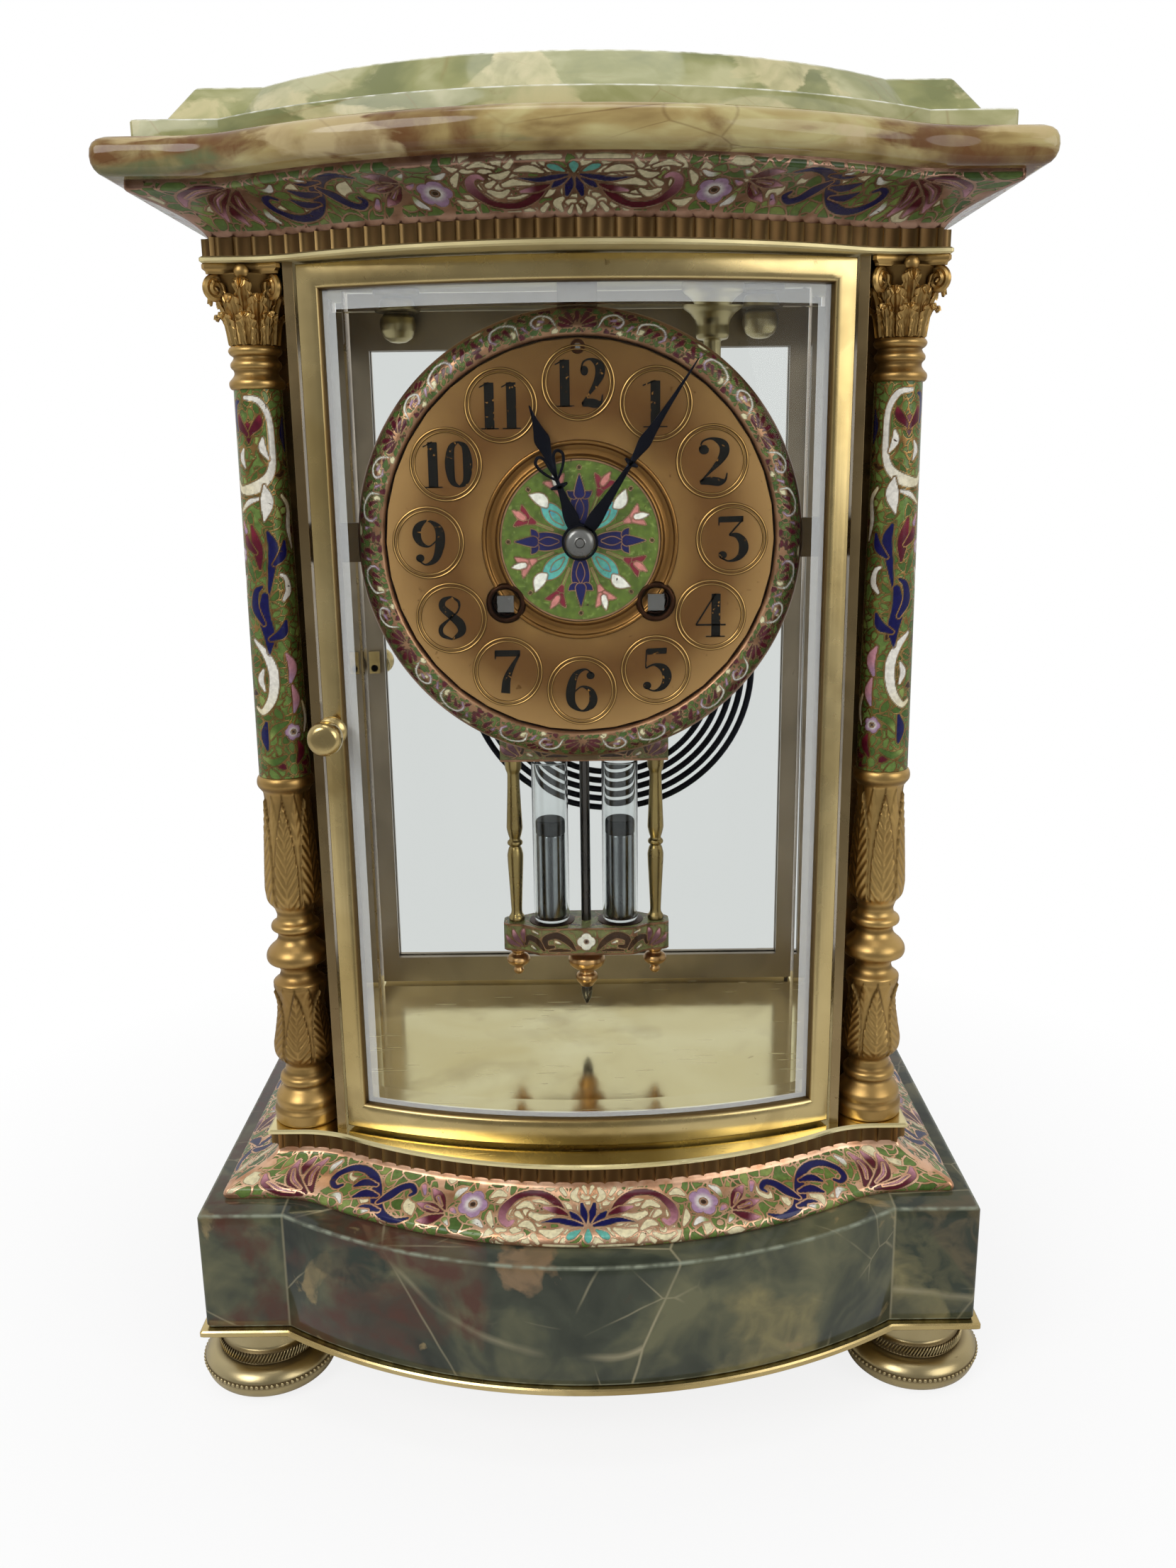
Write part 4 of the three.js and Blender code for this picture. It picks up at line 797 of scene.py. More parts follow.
def lathe(profile: Sequence[Point], steps: int, closed: bool = False) -> Shape:
    """A shape turned about +Z.

    Args:
        profile: Radius and height along the outline. An open one starts and ends on the axis.
        steps: Points round the axis.
        closed: The profile closes on itself.

    Returns:
        Points and faces.
    """
    profile = np.asarray(profile, float)
    rows = profile if closed else profile[1:-1]
    x, y = (np.outer(rows[:, 0], wave(angles(steps))) for wave in (np.cos, np.sin))
    points = np.stack([x, y, np.repeat(rows[:, 1:2], steps, 1)], -1).reshape(-1, 3)
    faces = list(grid_faces(len(rows), steps, closed))
    if not closed:
        first, last = len(points), len(points) + 1
        points = np.vstack([points, [0, 0, profile[0, 1]], [0, 0, profile[-1, 1]]])
        end = (len(rows) - 1) * steps
        for j in range(steps):
            after = (j + 1) % steps
            faces += [[first, after, j], [last, end + j, end + after]]
    return points, faces


def loft(rings: Sequence[Array]) -> Shape:
    """A solid through rings, closed by flat ends.

    Args:
        rings: Rings of points with alike counts.

    Returns:
        Points and faces.
    """
    count = len(rings[0])
    last = (len(rings) - 1) * count
    ends = [list(range(count))[::-1], list(range(last, last + count))]
    return np.vstack(rings), [*grid_faces(len(rings), count), *ends]


def tube(line: Array, radius: Array | float, sides: int = 10, upright: Station = (0.0, 1.0, 0.0)) -> Shape:
    """A closed tube along a line.

    Args:
        line: Its points.
        radius: The radius, or one for each point.
        sides: Points round it.
        upright: A direction that the line never takes.

    Returns:
        Points and faces.
    """
    tangent = np.gradient(line, axis=0)
    tangent /= np.linalg.norm(tangent, axis=1, keepdims=True)
    side = np.cross(tangent, np.asarray(upright))
    side /= np.linalg.norm(side, axis=1, keepdims=True)
    other = np.cross(side, tangent)
    radius = np.broadcast_to(radius, len(line))[:, None, None]
    cos, sin = (wave(angles(sides))[None, :, None] for wave in (np.cos, np.sin))
    return loft(list(line[:, None] + radius * (cos * side[:, None] + sin * other[:, None])))


def joined(parts: Iterable[Shape]) -> Shape:
    """Several shapes as one.

    Args:
        parts: The shapes.

    Returns:
        Points and faces.
    """
    points, faces, start = [], [], 0
    for p, f in parts:
        points.append(p)
        faces += [[start + int(i) for i in face] for face in f]
        start += len(p)
    return np.vstack(points), faces


def ribbon(spots: Line, thick: float, steps: int = 6) -> Shape:
    """A flat bar along a line.

    Args:
        spots: Stations of x, y and half width.
        thick: Its height.
        steps: New points between two stations.

    Returns:
        Points and faces.
    """
    line = smooth_line(spots, steps)
    tangent = np.gradient(line[:, :2], axis=0)
    tangent /= np.linalg.norm(tangent, axis=1, keepdims=True) + 1e-9
    across = np.stack([-tangent[:, 1], tangent[:, 0]], -1) * line[:, 2:3]
    outline = np.vstack([line[:, :2] + across, (line[:, :2] - across)[::-1]])
    count = len(line)
    faces = []
    for i in range(count - 1):
        j = 2 * count - 1 - i
        faces += [[i, i + 1, j - 1, j], [2 * count + k for k in (j, j - 1, i + 1, i)]]
    for i in range(2 * count):
        k = (i + 1) % (2 * count)
        faces.append([k, i, 2 * count + i, 2 * count + k])
    return np.vstack([raised(outline, 0.0), raised(outline, thick)]), faces


def block(low: Station, high: Station) -> Shape:
    """A box between two corners."""
    (a, b, c), (d, e, f) = low, high
    return loft([raised(np.array([(a, b), (d, b), (d, e), (a, e)]), z) for z in (c, f)])


def rod(start: Station, end: Station, radius: float, sides: int = 20) -> Shape:
    """A straight round bar."""
    upright = (1.0, 0.0, 0.0) if abs(end[0] - start[0]) < 1e-6 else (0.0, 0.0, 1.0)
    return tube(np.array([start, end], float), radius, sides, upright)


@lru_cache
def copies_tree() -> bpy.types.NodeTree:
    """The node tree that sets copies of a shape along a path and makes them one mesh.

    Returns:
        The tree.
    """
    tree = bpy.data.node_groups.new("copies_along_path", "GeometryNodeTree")
    inputs = {"Path": "Geometry", "Copy": "Object", "Count": "Int", "Turn": "Float", "Finish": "Material"}
    for name, kind in inputs.items():
        tree.interface.new_socket(name, in_out="INPUT", socket_type=f"NodeSocket{kind}")
    tree.interface.new_socket("Copies", in_out="OUTPUT", socket_type="NodeSocketGeometry")
    given, result, turn, curve, even, shape, tangent, instances, real, finish = map(tree.nodes.new, (
        "NodeGroupInput", "NodeGroupOutput", "FunctionNodeAlignRotationToVector", *(f"GeometryNode{kind}" for kind in (
            "MeshToCurve", "ResampleCurve", "ObjectInfo", "InputTangent", "InstanceOnPoints", "RealizeInstances",
            "SetMaterial"))))
    turn.axis, turn.pivot_axis = "X", "Z"
    for start, output, end, socket in (
        (given, "Path", curve, "Mesh"), (curve, "Curve", even, "Curve"), (given, "Count", even, "Count"),
        (given, "Copy", shape, "Object"), (given, "Turn", turn, "Factor"), (tangent, "Tangent", turn, "Vector"),
        (even, "Curve", instances, "Points"), (shape, "Geometry", instances, "Instance"),
        (turn, "Rotation", instances, "Rotation"), (instances, "Instances", real, "Geometry"),
        (real, "Geometry", finish, "Geometry"), (given, "Finish", finish, "Material"),
        (finish, "Geometry", result, "Copies"),
    ):
        tree.links.new(start.outputs[output], end.inputs[socket])
    return tree


def copies_along(name: str, path: Array, shape: Shape, count: int, finish: Finish,
                 recess: Callable[[Array], Array], turn: float = 1.0) -> Object:
    """Copies of a shape set evenly along a closed path.

    Args:
        name: The piece's name.
        path: The closed path's points.
        shape: One copy, about the origin, its outer side towards -Y.
        count: How many copies.
        finish: What covers them.
        recess: How dark each point of the copy is, from its own points.
        turn: 1 turns each copy to the path, 0 leaves it unturned.

    Returns:
        The copies as one plain mesh.
    """
    # Painted shade: each point of the copy carries how dark it is.
    one = make(f"{name}_one", shape, finish, recess=recess(shape[0]))
    mesh = bpy.data.meshes.new(name)
    mesh.from_pydata((path * MM).tolist(), [(i, (i + 1) % len(path)) for i in range(len(path))], [])
    piece = linked(name, mesh)
    modifier = piece.modifiers.new("copies", "NODES")
    modifier.node_group = copies_tree()
    given = {"Copy": one, "Count": count, "Turn": turn, "Finish": finish.material()}
    for item in modifier.node_group.interface.items_tree:
        if item.in_out == "INPUT" and item.name in given:
            modifier[item.identifier] = given[item.name]
    plain(piece)
    bpy.data.objects.remove(one)
    return piece


def ring_path(radius: float, centre: Station, steps: int = 96) -> Array:
    """A level circle's points, anticlockwise from above."""
    circle = np.stack([radius * np.cos(angles(steps)), radius * np.sin(angles(steps))], -1)
    return raised(circle, 0.0) + np.asarray(centre)


def bead(half: Station, rings: int = 4, sides: int = 8, lean: float = 0.0) -> Shape:
    """An egg-shaped bead.

    Args:
        half: Its three half sizes.
        rings: Rings between its poles.
        sides: Points in a ring.
        lean: How far it leans along X as it rises.

    Returns:
        Points and faces.
    """
    arc = np.linspace(-math.pi / 2, math.pi / 2, rings + 2)
    points, faces = lathe(np.stack([np.cos(arc), np.sin(arc)], -1), sides)
    points = points * np.asarray(half)
    points[:, 0] += lean * points[:, 2]
    return points, faces


def ease(value: Array, low: float, high: float) -> Array:
    """0 below low, 1 above high, and smooth between."""
    t = np.clip((value - low) / (high - low), 0, 1)
    return t * t * (3 - 2 * t)


# Enamel painting


def lattice_noise(x: Array, y: Array, cell: float, seed: int) -> Array:
    """Smooth noise over a plane, the same on each run.

    Args:
        x: Places along one axis.
        y: Places along the other.
        cell: Size of a feature.
        seed: Start of the noise.

    Returns:
        Values from 0 to 1.
    """
    table = np.random.default_rng(seed).random((64, 64))
    u, v = x / cell, y / cell
    i, j = np.floor(u).astype(int), np.floor(v).astype(int)
    f, g = u - i, v - j
    f, g = f * f * (3 - 2 * f), g * g * (3 - 2 * g)
    corner = lambda a, b: table[(i + a) % 64, (j + b) % 64]
    return (corner(0, 0) * (1 - f) + corner(1, 0) * f) * (1 - g) + (corner(0, 1) * (1 - f) + corner(1, 1) * f) * g


def hue(glaze: str) -> Array:
    """A glaze's colour as an array."""
    return np.array(GLAZES[glaze])


@dataclass(frozen=True)
class Stroke:
    """One enamel cell: a tapering stroke through stations of x, y and half width, with another glaze at its tip."""

    glaze: str
    tip: str
    spots: Line


def cells(glazes: str, text: str) -> tuple[Stroke, ...]:
    """Cells of alike glazes, body and tip, with a semicolon between their stations."""
    glaze, tip = (glazes.split() * 2)[:2]
    return tuple(Stroke(glaze, tip, stations(part)) for part in text.split(";"))


@dataclass
class Painting:
    """Glaze colours and metal walls, painted on points that have a place on the unrolled surface."""

    x: Array
    y: Array
    wall_width: float = 0.42
    soft: float = 0.16
    glaze: Array = field(init=False)
    wall: Array = field(init=False)

    def __post_init__(self) -> None:
        """Starts with a bare green ground."""
        self.glaze = np.tile(hue("green"), (len(self.x), 1))
        self.wall = np.zeros(len(self.x))

    def ground(self, glaze: str, seed: int, lines: float = 0.045, cell: float = 3.2) -> None:
        """Mottles the ground and runs thin metal lines over it.

        Args:
            glaze: The ground's glaze.
            seed: Start of its noise.
            lines: Share of the noise's range that is metal.
            cell: Size of a mesh of the lines.
        """
        tone = 0.72 + 0.5 * lattice_noise(self.x, self.y, 1.1, seed)
        self.glaze = hue(glaze) * tone[:, None]
        pale = ease(lattice_noise(self.x, self.y, 0.6, seed + 1), 0.8, 0.9)[:, None]
        self.glaze = self.glaze * (1 - 0.5 * pale) + hue("moss") * 0.5 * pale
        level = lattice_noise(self.x, self.y, cell, seed + 2)
        self.bare(1 - ease(np.abs(level - 0.5), lines * 0.5, lines))

    def bare(self, where: Array) -> None:
        """Bares the metal where the share is 1."""
        self.wall = np.maximum(self.wall, where)

    def foliage(self, glazes: dict[str, float], seed: int, spacing: float, size: float = 1.0,
                span: Point = (-1e4, 1e4)) -> None:
        """Scatters small leaf cells over a stretch of the ground.

        Args:
            glazes: Share of each glaze.
            seed: Start of the scatter, the same on each run.
            spacing: Distance between leaves.
            size: Factor on their size.
            span: Stretch of the unrolled surface.
        """
        dice = np.random.default_rng(seed)
        least, most = (-.5, -.5, 1.5, .85, -.8, 0), (.5, .5, 2.3, 1.3, .8, math.tau)
        for x in np.arange(max(span[0], self.x.min()), min(span[1], self.x.max()), spacing):
            for y in np.arange(self.y.min(), self.y.max() + spacing, spacing):
                throw = dice.uniform(least, most) * (spacing, spacing, size, size, size, 1.0)
                across, up, long, wide, bend, turn = throw
                glaze = dice.choice(list(glazes), p=list(glazes.values()))
                leaf = Stroke(glaze, glaze, ((-long, 0, .12), (0, bend, wide), (long, 0, .1)))
                self.stroke(leaf, (x + across, y + up), turn=turn)

    def fill(self, distance: Array, near: Array, colour: Array) -> None:
        """Lays one cell of glaze with its metal wall over what is there.

        Args:
            distance: Distance of the near points from the cell's edge, negative in it.
            near: Numbers of the points that may be in it.
            colour: Their colour in it.
        """
        inside = 1 - ease(distance, -self.soft, self.soft)
        line = 1 - ease(distance, self.wall_width - self.soft, self.wall_width + self.soft)
        self.wall[near] = np.maximum(self.wall[near], line) * (1 - inside)
        self.glaze[near] = self.glaze[near] * (1 - inside[:, None]) + colour * inside[:, None]

    def stroke(self, stroke: Stroke, move: Point = (0.0, 0.0), flip: int = 1, turn: float = 0.0) -> None:
        """Paints a stroke.

        Args:
            stroke: The cell.
            move: Where its origin goes.
            flip: -1 mirrors it across the Y axis first.
            turn: Angle to turn it by, in radians.
        """
        line = smooth_line(stroke.spots, 5)
        line[:, 0] *= flip
        middle = line[:, :2] @ spin(turn)[:2, :2] + np.asarray(move)
        reach = line[:, 2].max() + 1.0
        low, high = middle.min(0) - reach, middle.max(0) + reach
        near = np.nonzero((self.x > low[0]) & (self.x < high[0]) & (self.y > low[1]) & (self.y < high[1]))[0]
        if not len(near):
            return
        place = np.stack([self.x[near], self.y[near]], -1)
        best = np.full(len(near), 1e9)
        along = np.zeros(len(near))
        count = len(middle) - 1
        for k in range(count):
            step = middle[k + 1] - middle[k]
            t = np.clip(((place - middle[k]) @ step) / (step @ step + 1e-12), 0, 1)
            gap = np.linalg.norm(place - middle[k] - t[:, None] * step, axis=1)
            gap -= line[k, 2] + (line[k + 1, 2] - line[k, 2]) * t
            closer = gap < best
            best[closer] = gap[closer]
            along[closer] = ((k + t) / count)[closer]
        share = ease(along, 0.45, 1.0)[:, None]
        self.fill(best, near, hue(stroke.glaze) * (1 - share) + hue(stroke.tip) * share)

    def strokes(self, strokes: Iterable[Stroke], move: Point = (0.0, 0.0), turn: float = 0.0, flip: int = 1) -> None:
        """Paints strokes in order."""
        for stroke in strokes:
            self.stroke(stroke, move, flip, turn)

    def mirrored(self, strokes: Iterable[Stroke]) -> None:
        """Paints strokes on both halves.

        Args:
            strokes: The right half's strokes.
        """
        for stroke in strokes:
            self.stroke(stroke)
            self.stroke(stroke, flip=-1)

    def flower(self, at: Point, radius: float, petals: int = 5, glaze: str = "lilac") -> None:
        """Paints an open flower with a white middle and a dark eye.

        Args:
            at: Its middle.
            radius: Its reach.
            petals: How many petals.
            glaze: The petals' glaze.
        """
        near = np.nonzero(np.hypot(self.x - at[0], self.y - at[1]) < radius + 1.5)[0]
        dx, dy = self.x[near] - at[0], self.y[near] - at[1]
        out, angle = np.hypot(dx, dy), np.arctan2(dy, dx)
        edge = radius * (0.76 + 0.24 * np.abs(np.cos(petals * angle / 2)) ** 0.7)
        share = ease(out / radius, 0.25, 0.75)[:, None]
        self.fill(out - edge, near, hue("white") * (1 - share) + hue(glaze) * share)
        self.fill(out - 0.2 * radius, near, np.tile(hue("brown"), (len(near), 1)))

    def values(self) -> dict[str, Array]:
        """What the mesh's points carry."""
        return {"glaze": self.glaze, "wall": self.wall}


# Plans and storeys


@dataclass(frozen=True)
class PlanSteps:
    """How many steps each stretch of half an outline gets."""

    bow: int = 60
    hollow: int = 0
    ear: int = 3
    side: int = 8
    back: int = 8
    corner: int = 4


@dataclass(frozen=True)
class BowPlan:
    """Outline of a bow-fronted storey, seen from above."""

    half: float
    ear: float
    apex: float
    rear: float
    ear_end: float
    hollow: float = 0.0

    def outline(self, steps: PlanSteps, corner: float = 0.6) -> tuple[Array, Array]:
        """Points round the plan and their distance along it from the front's middle.

        Args:
            steps: Counts for each stretch.
            corner: Radius of the four outer corners.

        Returns:
            Points, anticlockwise from the back's middle, and the distances, negative on the left.
        """
        rise = self.ear - self.apex
        reach = (self.ear_end ** 2 + rise ** 2) / (2 * rise)
        bow = reach - self.hollow
        sweep = math.asin(self.ear_end / reach)

        def arc(x: float, y: float, radius: float, start: float, end: float, count: int) -> Array:
            """Points of an arc about a middle, its angles from the front."""
            angle = np.linspace(start, end, count + 1)
            return np.stack([x + radius * np.sin(angle), y - radius * np.cos(angle)], -1)

        edge = -self.half + corner
        stretches = [
            np.linspace((0.0, self.rear), (edge, self.rear), steps.back + 1),
            arc(edge, self.rear - corner, corner, -math.pi, -math.pi / 2, steps.corner),
            np.linspace((-self.half, self.rear - corner), (-self.half, self.ear + corner), steps.side + 1),
            arc(edge, self.ear + corner, corner, -math.pi / 2, 0.0, steps.corner),
            np.linspace((edge, self.ear), (-self.ear_end, self.ear), steps.ear + 1),
        ]
        if steps.hollow:
            foot = self.ear - self.hollow
            stretches.append(arc(-self.ear_end, foot, self.hollow, math.pi, math.pi - sweep, steps.hollow))
        stretches.append(arc(0.0, self.apex + bow, bow, -sweep, 0.0, steps.bow))
        left = np.vstack([stretches[0], *(part[1:] for part in stretches[1:])])
        along = lengths(left)
        along -= along[-1]
        right = left[-2:0:-1] * (-1, 1)
        return np.vstack([left, right]), np.concatenate([along, -along[-2:0:-1]])

    def inset(self, by: float) -> "BowPlan":
        """The plan with its edge moved inwards."""
        hollow = self.hollow + by if self.hollow else 0.0
        return BowPlan(self.half - by, self.ear + by, self.apex + by, self.rear - by, self.ear_end - 0.3 * by, hollow)

    def towards(self, other: "BowPlan", share: float) -> "BowPlan":
        """The plan part of the way to another."""
        pairs = zip(vars(self).values(), vars(other).values())
        return BowPlan(*(a + (b - a) * share for a, b in pairs))


FOOT_PLATE = BowPlan(108, -63.2, -88, 88, 83.6)
BLOCK = BowPlan(106.4, -61.5, -86.7, 86.4, 83)
MOULDING_FOOT = BowPlan(101.2, -53.8, -78.9, 79, 88, 30)
BAND = BowPlan(88, -42.5, -63, 67.7, 81, 32)
PLINTH = BowPlan(90, -44.3, -64.9, 69.5, 81, 32)
CORNICE_TOP = BowPlan(102, -57.5, -80.9, 80.5, 88, 30)
SLAB = BowPlan(107.3, -64.1, -87.5, 86.4, 92, 34)
STEP = BowPlan(100, -55.5, -79.5, 79.5, 80)
CAP_FOOT = BowPlan(95, -48, -73, 74, 77.5)
CAP_TOP = BowPlan(88, -42, -67.5, 67, 72.5)
HOLLOWED = PlanSteps(hollow=12)
FINE = PlanSteps(bow=420, hollow=48, ear=56, side=220, back=90, corner=6)
EDGE_REACH = 1.0


def storey(name: str, levels: Sequence[tuple[BowPlan, float]], finish: Finish, slot: str, node: str,
           steps: PlanSteps = PlanSteps(), corner: float = 0.6) -> None:
    """Makes a solid storey through plans at heights, its rounded edges marked for a painted highlight.

    Args:
        name: The piece's name.
        levels: Plans and their heights, upwards.
        finish: What covers it.
        slot: Its material slot.
        node: The solid that it takes the place of.
        steps: Counts for the plans' stretches.
        corner: Radius of the outer corners.
    """
    rings = [raised(plan.outline(steps, corner)[0], height) for plan, height in levels]
    # Painted highlight: a ring close to both its neighbours lies on a rounded edge, which turns pale.
    steps_up = [np.abs(b[0] - a[0]).max() < EDGE_REACH for a, b in zip(rings, rings[1:])]
    worn = [0.0, *(float(below and above) for below, above in zip(steps_up, steps_up[1:])), 0.0]
    fit(name, loft(rings), finish, "case", slot, node, crease=28, edge=np.repeat(worn, len(rings[0])))


# Enamel motifs: stations of x, y and half width on the unrolled surface

GROUND_LEAVES = {"green": 0.62, "leaf": 0.2, "moss": 0.1, "cream": 0.08}
SHAFT_LEAVES = {"leaf": 0.4, "green": 0.46, "moss": 0.06, "brown": 0.05, "maroon": 0.03}
MIDDLE_LEAVES = {"cream": 0.62, "green": 0.24, "moss": 0.14}
BEZEL_LEAVES = {"leaf": 0.52, "green": 0.24, "cream": 0.08, "maroon": 0.16}
FRONT_MIDDLE = cells("turquoise", "0,5.6,.35 0,3.7,1 0,3,.8")
FRONT_HALF = (
    *cells("cream",
        "9,9.6,.6 12,8.7,1.2 15,9.6,.8;13.5,5.3,.5 15.6,6.8,1.1 17.4,6.3,.5;14.6,11.4,.5 16.6,12.6,1 18.8,11.4,.6;"
        "18.6,9.6,.9 17.2,8.5,.5;6.6,5.6,.5 9.2,4.4,1.2 12,5,.5;12.4,2,.5 13.6,3.6,.8;2.6,1.3,.45 6.5,1.2,.6 "
        "11,1.4,.45;16.4,3.8,.5 19,2.6,.8 21.5,3.4,.4;2.6,13.8,.5 4,15.2,1 3,17,.5;6.2,15.4,.5 7.4,16.8,.7;9.5,12,.3 "
        "12.4,13.4,.5 15,13.6,.3;22.8,14.6,.5 24.8,15,1 26.6,13.8,.4;24.2,5.2,.4 25.6,7.4,.9 26,9.4,.4;.5,15.8,.3 "
        "1.2,17.4,.6"),
    *cells("maroon pink",
        "5.6,10,.3 8.5,13.2,1 12,15.3,.9 16,15.6,.8 19.8,14.2,.9 22.3,11,1.2 22.4,8,1 20.6,6.4,.9 19.4,7.4,.5;"
        "5.2,9.8,.3 8.4,11,1 11.8,11.8,.4;38.3,8.6,.4 41,11.8,1.5 43.6,13.8,.4;38.6,7.7,.4 42.4,8.4,1.5 46.2,8.9,.3;"
        "38.2,6.8,.4 41.2,4.9,1.3 44.2,4,.3;77,4,.5 80,7.6,1.7 81,12,1.3 79.6,15.4,.4;78.5,3.2,.5 83.6,6,1.8 "
        "86.8,10.6,1.3 87.4,14.2,.4;79.5,2.4,.4 85.6,3,1.5 90.6,5.4,1.1 93.4,9,.4;83.4,9.4,.4 84.2,12.4,1.2 "
        "83.4,15.4,.4"),
    *cells("pink lilac",
        "79,6,.12 80.6,9.4,.3 80.8,12.4,.12;80.6,4.2,.12 84.6,7,.32 87,11,.12;82,2.9,.12 86.6,3.6,.28 90.6,6,.1;"
        "39.4,9.4,.1 41.4,11.8,.28;40,7.9,.1 43.4,8.5,.28"),
    *cells("navy",
        ".8,7.2,.4 1.1,10,1 1.7,13,.5;1.3,7,.4 3.2,9,1 4.7,10.6,.4;1.5,6.7,.4 4.5,7.5,.9 8,8.2,.75 12.2,7.4,.15;"
        "46.8,4.2,.3 50.4,2.8,.8 54.6,3.8,1.3 57.8,7,1.6 59.6,10.6,1.4 62.4,13.8,1.3 66.4,15.2,1.1 70.6,14.4,1 "
        "73.4,11.6,.95 73.4,8.6,.9 71.4,7.4,.75 70,8.6,.5;57,6.6,.5 55,9.4,1.3 53,12.4,1.1 50.4,13.6,.9 48.6,12.2,.7 "
        "49.4,10.8,.45;58.4,8.4,.5 62,8.2,1.3 64.6,6.2,.4;60.4,11.6,.4 64.2,11.4,1.2 66.4,9.4,.4;55.6,4.4,.4 "
        "59.6,4.2,1.1 62,2.4,.3"),
    *cells("turquoise", "2.1,5.4,.35 3.9,4.2,1 4.8,3.6,.7"),
    *cells("white moss",
        "27,5,.4 28.8,6.2,.9 30.6,5.8,.4;34.2,15.4,.4 36,14,.9 36.6,12,.4;36,4.4,.3 37.2,5.6,.8;58.6,3.6,.3 "
        "60.8,2.8,.7;67.4,3.6,.4 69.2,5.2,.9 71.4,4.4,.3;75,15.6,.4 76.4,13.4,.9 76,11.2,.4"),
    *cells("lilac pink", "45.4,12,.4 46.6,14.2,.8;35,8,.3 36.2,8.8,.8"),
)
SIDE_UNIT = (
    *cells("navy",
        "-18,4.6,.4 -14,4.4,.9 -10.6,6.6,1.3 -9.2,10.4,1.2 -6.6,13.6,1.1 -2.6,14,1 -.4,11.8,.9 -1.4,9.4,.7;"
        "-10.6,7.5,.5 -13.2,9.8,1.1 -14.2,13,1 -12.4,15.2,.5;-8.6,8,.5 -5.2,7,1.2 -3,4.8,.6"),
    *cells("maroon pink", "1.6,6,.4 3.4,9.8,1.4 4,14,.4;2.4,5,.5 6.4,7.4,1.5 8.6,11.4,.4;3,4,.4 7,4,1.2 10,5,.3"),
    *cells("cream", "-19.6,9,.4 -18,12,1 -18.4,15,.4;20,5,.4 21,8,1 20,11,.4"),
    *cells("white moss", "9.6,13,.4 11.4,14.6,.9;17.4,14.8,.4 18.8,13.2,.9;10.6,8.4,.3 11.6,6.6,.8"),
)
SHAFT_CELLS = (
    *cells("leaf moss",
        "-2,6,.5 1,4.5,1 4,5.5,.6;-3,15,.5 0,13.5,1 1.6,11,.5;3,52,.4 4.4,55.5,.9 5.4,58,.3;6.5,80,.4 7.6,84,1 "
        "6.8,87,.4;7,62,.4 8.4,66,1 7.6,70,.4;6.4,24,.4 7.8,28,1 7,32,.4"),
    *cells("white cream",
        "2.4,96.8,.5 -1.4,96,.8 -3.8,92,.85 -4.2,86,.9 -4,81,1 -2.4,77.4,1.2 1.2,75,1.5 5.6,74.6,1 7.2,76.6,.5;"
        ".2,72.4,.4 3,71.6,.7 6.2,69.4,.4;4.4,36.6,.5 1.4,33.4,1 -.4,28.5,1.3 .2,22,1.2 3,18,.9 5.4,18.8,.5;"
        "-8.6,60,.4 -7.6,65,.9 -8.2,70,.9 -6,73,.5;-8,12,.4 -9.4,16,1 -8,20,.5"),
    *cells("maroon crimson",
        "2,86.2,.4 2,89,1.4 2,90.4,.6;1.6,88,.5 -.8,90.6,1.2 -1.4,92.4,.4;2.4,88,.5 4.6,90.6,1.2 4.8,92.6,.4;"
        "1.2,55,.4 1.5,60,1.5 2.8,65.4,.5;2.2,59,.5 4.6,61.4,1.1 5,63.6,.4;-5,4,.4 -6.4,7,1.2 -5.6,9.6,.4;9,38,.4 "
        "9.6,42,1.2 8.6,45.4,.4"),
    *cells("navy",
        "5.8,89,.4 6.6,92.6,.9 6,95.4,.9 4.6,96,.4;-.6,48,.25 -1.6,54,.9 -2.6,60,1.4 -1.4,64,.5;-2.6,56,.5 "
        "-5,58.4,1.2 -5.8,61.6,.5;.2,33.4,.4 0,38,1.5 1,43,1.7 .4,48,1;1.2,41,.5 3.4,45,1.2 2.8,49,.9 1,50.4,.4;"
        "-.4,37,.5 -3.4,38.5,1.3 -4.6,41.4,.5;2.6,8,.5 3.2,11.5,1.3 2.4,15,.5;-8.8,84,.4 -8,88,1.2 -8.6,92,.5;"
        "9.4,10,.4 8.8,5.6,1.1 7.4,3,.4"),
    *cells("white",
        "-3,82,.3 -1.6,84.6,1 -1.8,87,.4;-1.4,75.6,.3 -1.8,71.6,1.7 -.8,67,.3;-4.4,47,.5 -6,49.4,1 -5.4,52.4,.7 "
        "-4,53.4,.4;2.2,23.6,.4 3.2,26.4,1 2.2,29,.4;3.6,80,.3 4.6,82.4,.9 3.8,84.6,.3;6.6,53,.4 8,50.6,1 7.6,48,.4"),
    *cells("pink lilac", "-4,33,.4 -5.6,29.4,1.4 -4.6,25.6,.5;-5,24.6,.4 -6,21,1.2 -5,17.6,.4;6,66.6,.3 5.2,64.4,.8"),
)
BEZEL_CELLS = (
    *cells("maroon",
        ".9,3.3,.2 2.3,5.6,.72 2.6,6.4,.45;1.2,2.7,.2 3.6,4.3,.7 4.2,5,.4;1.2,2.1,.2 3.8,2.6,.6 4.6,3.2,.35;"
        "17.2,2.4,.2 18.2,4.4,.65;19.2,2.4,.2 20.4,4.2,.6;12.6,5.4,.2 14,6.6,.6;25.2,2.6,.2 26.4,4.6,.65 26.6,6,.35"),
    *cells("white lilac",
        "5.4,2.2,.15 6.8,5.2,.34 9.4,6.4,.36 11.4,4.8,.34 10.6,2.8,.32 9,2.9,.22;15.2,2.2,.15 15.8,5,.34 "
        "18.6,6.6,.36 21.4,6,.36 22.4,3.6,.34 21.4,2.2,.28"),
    *cells("lilac", "8.2,4.2,.2 9.4,4.6,.5;24,4.2,.2 24.4,5.4,.4;12.8,2.2,.2 13.8,3.8,.4"),
)
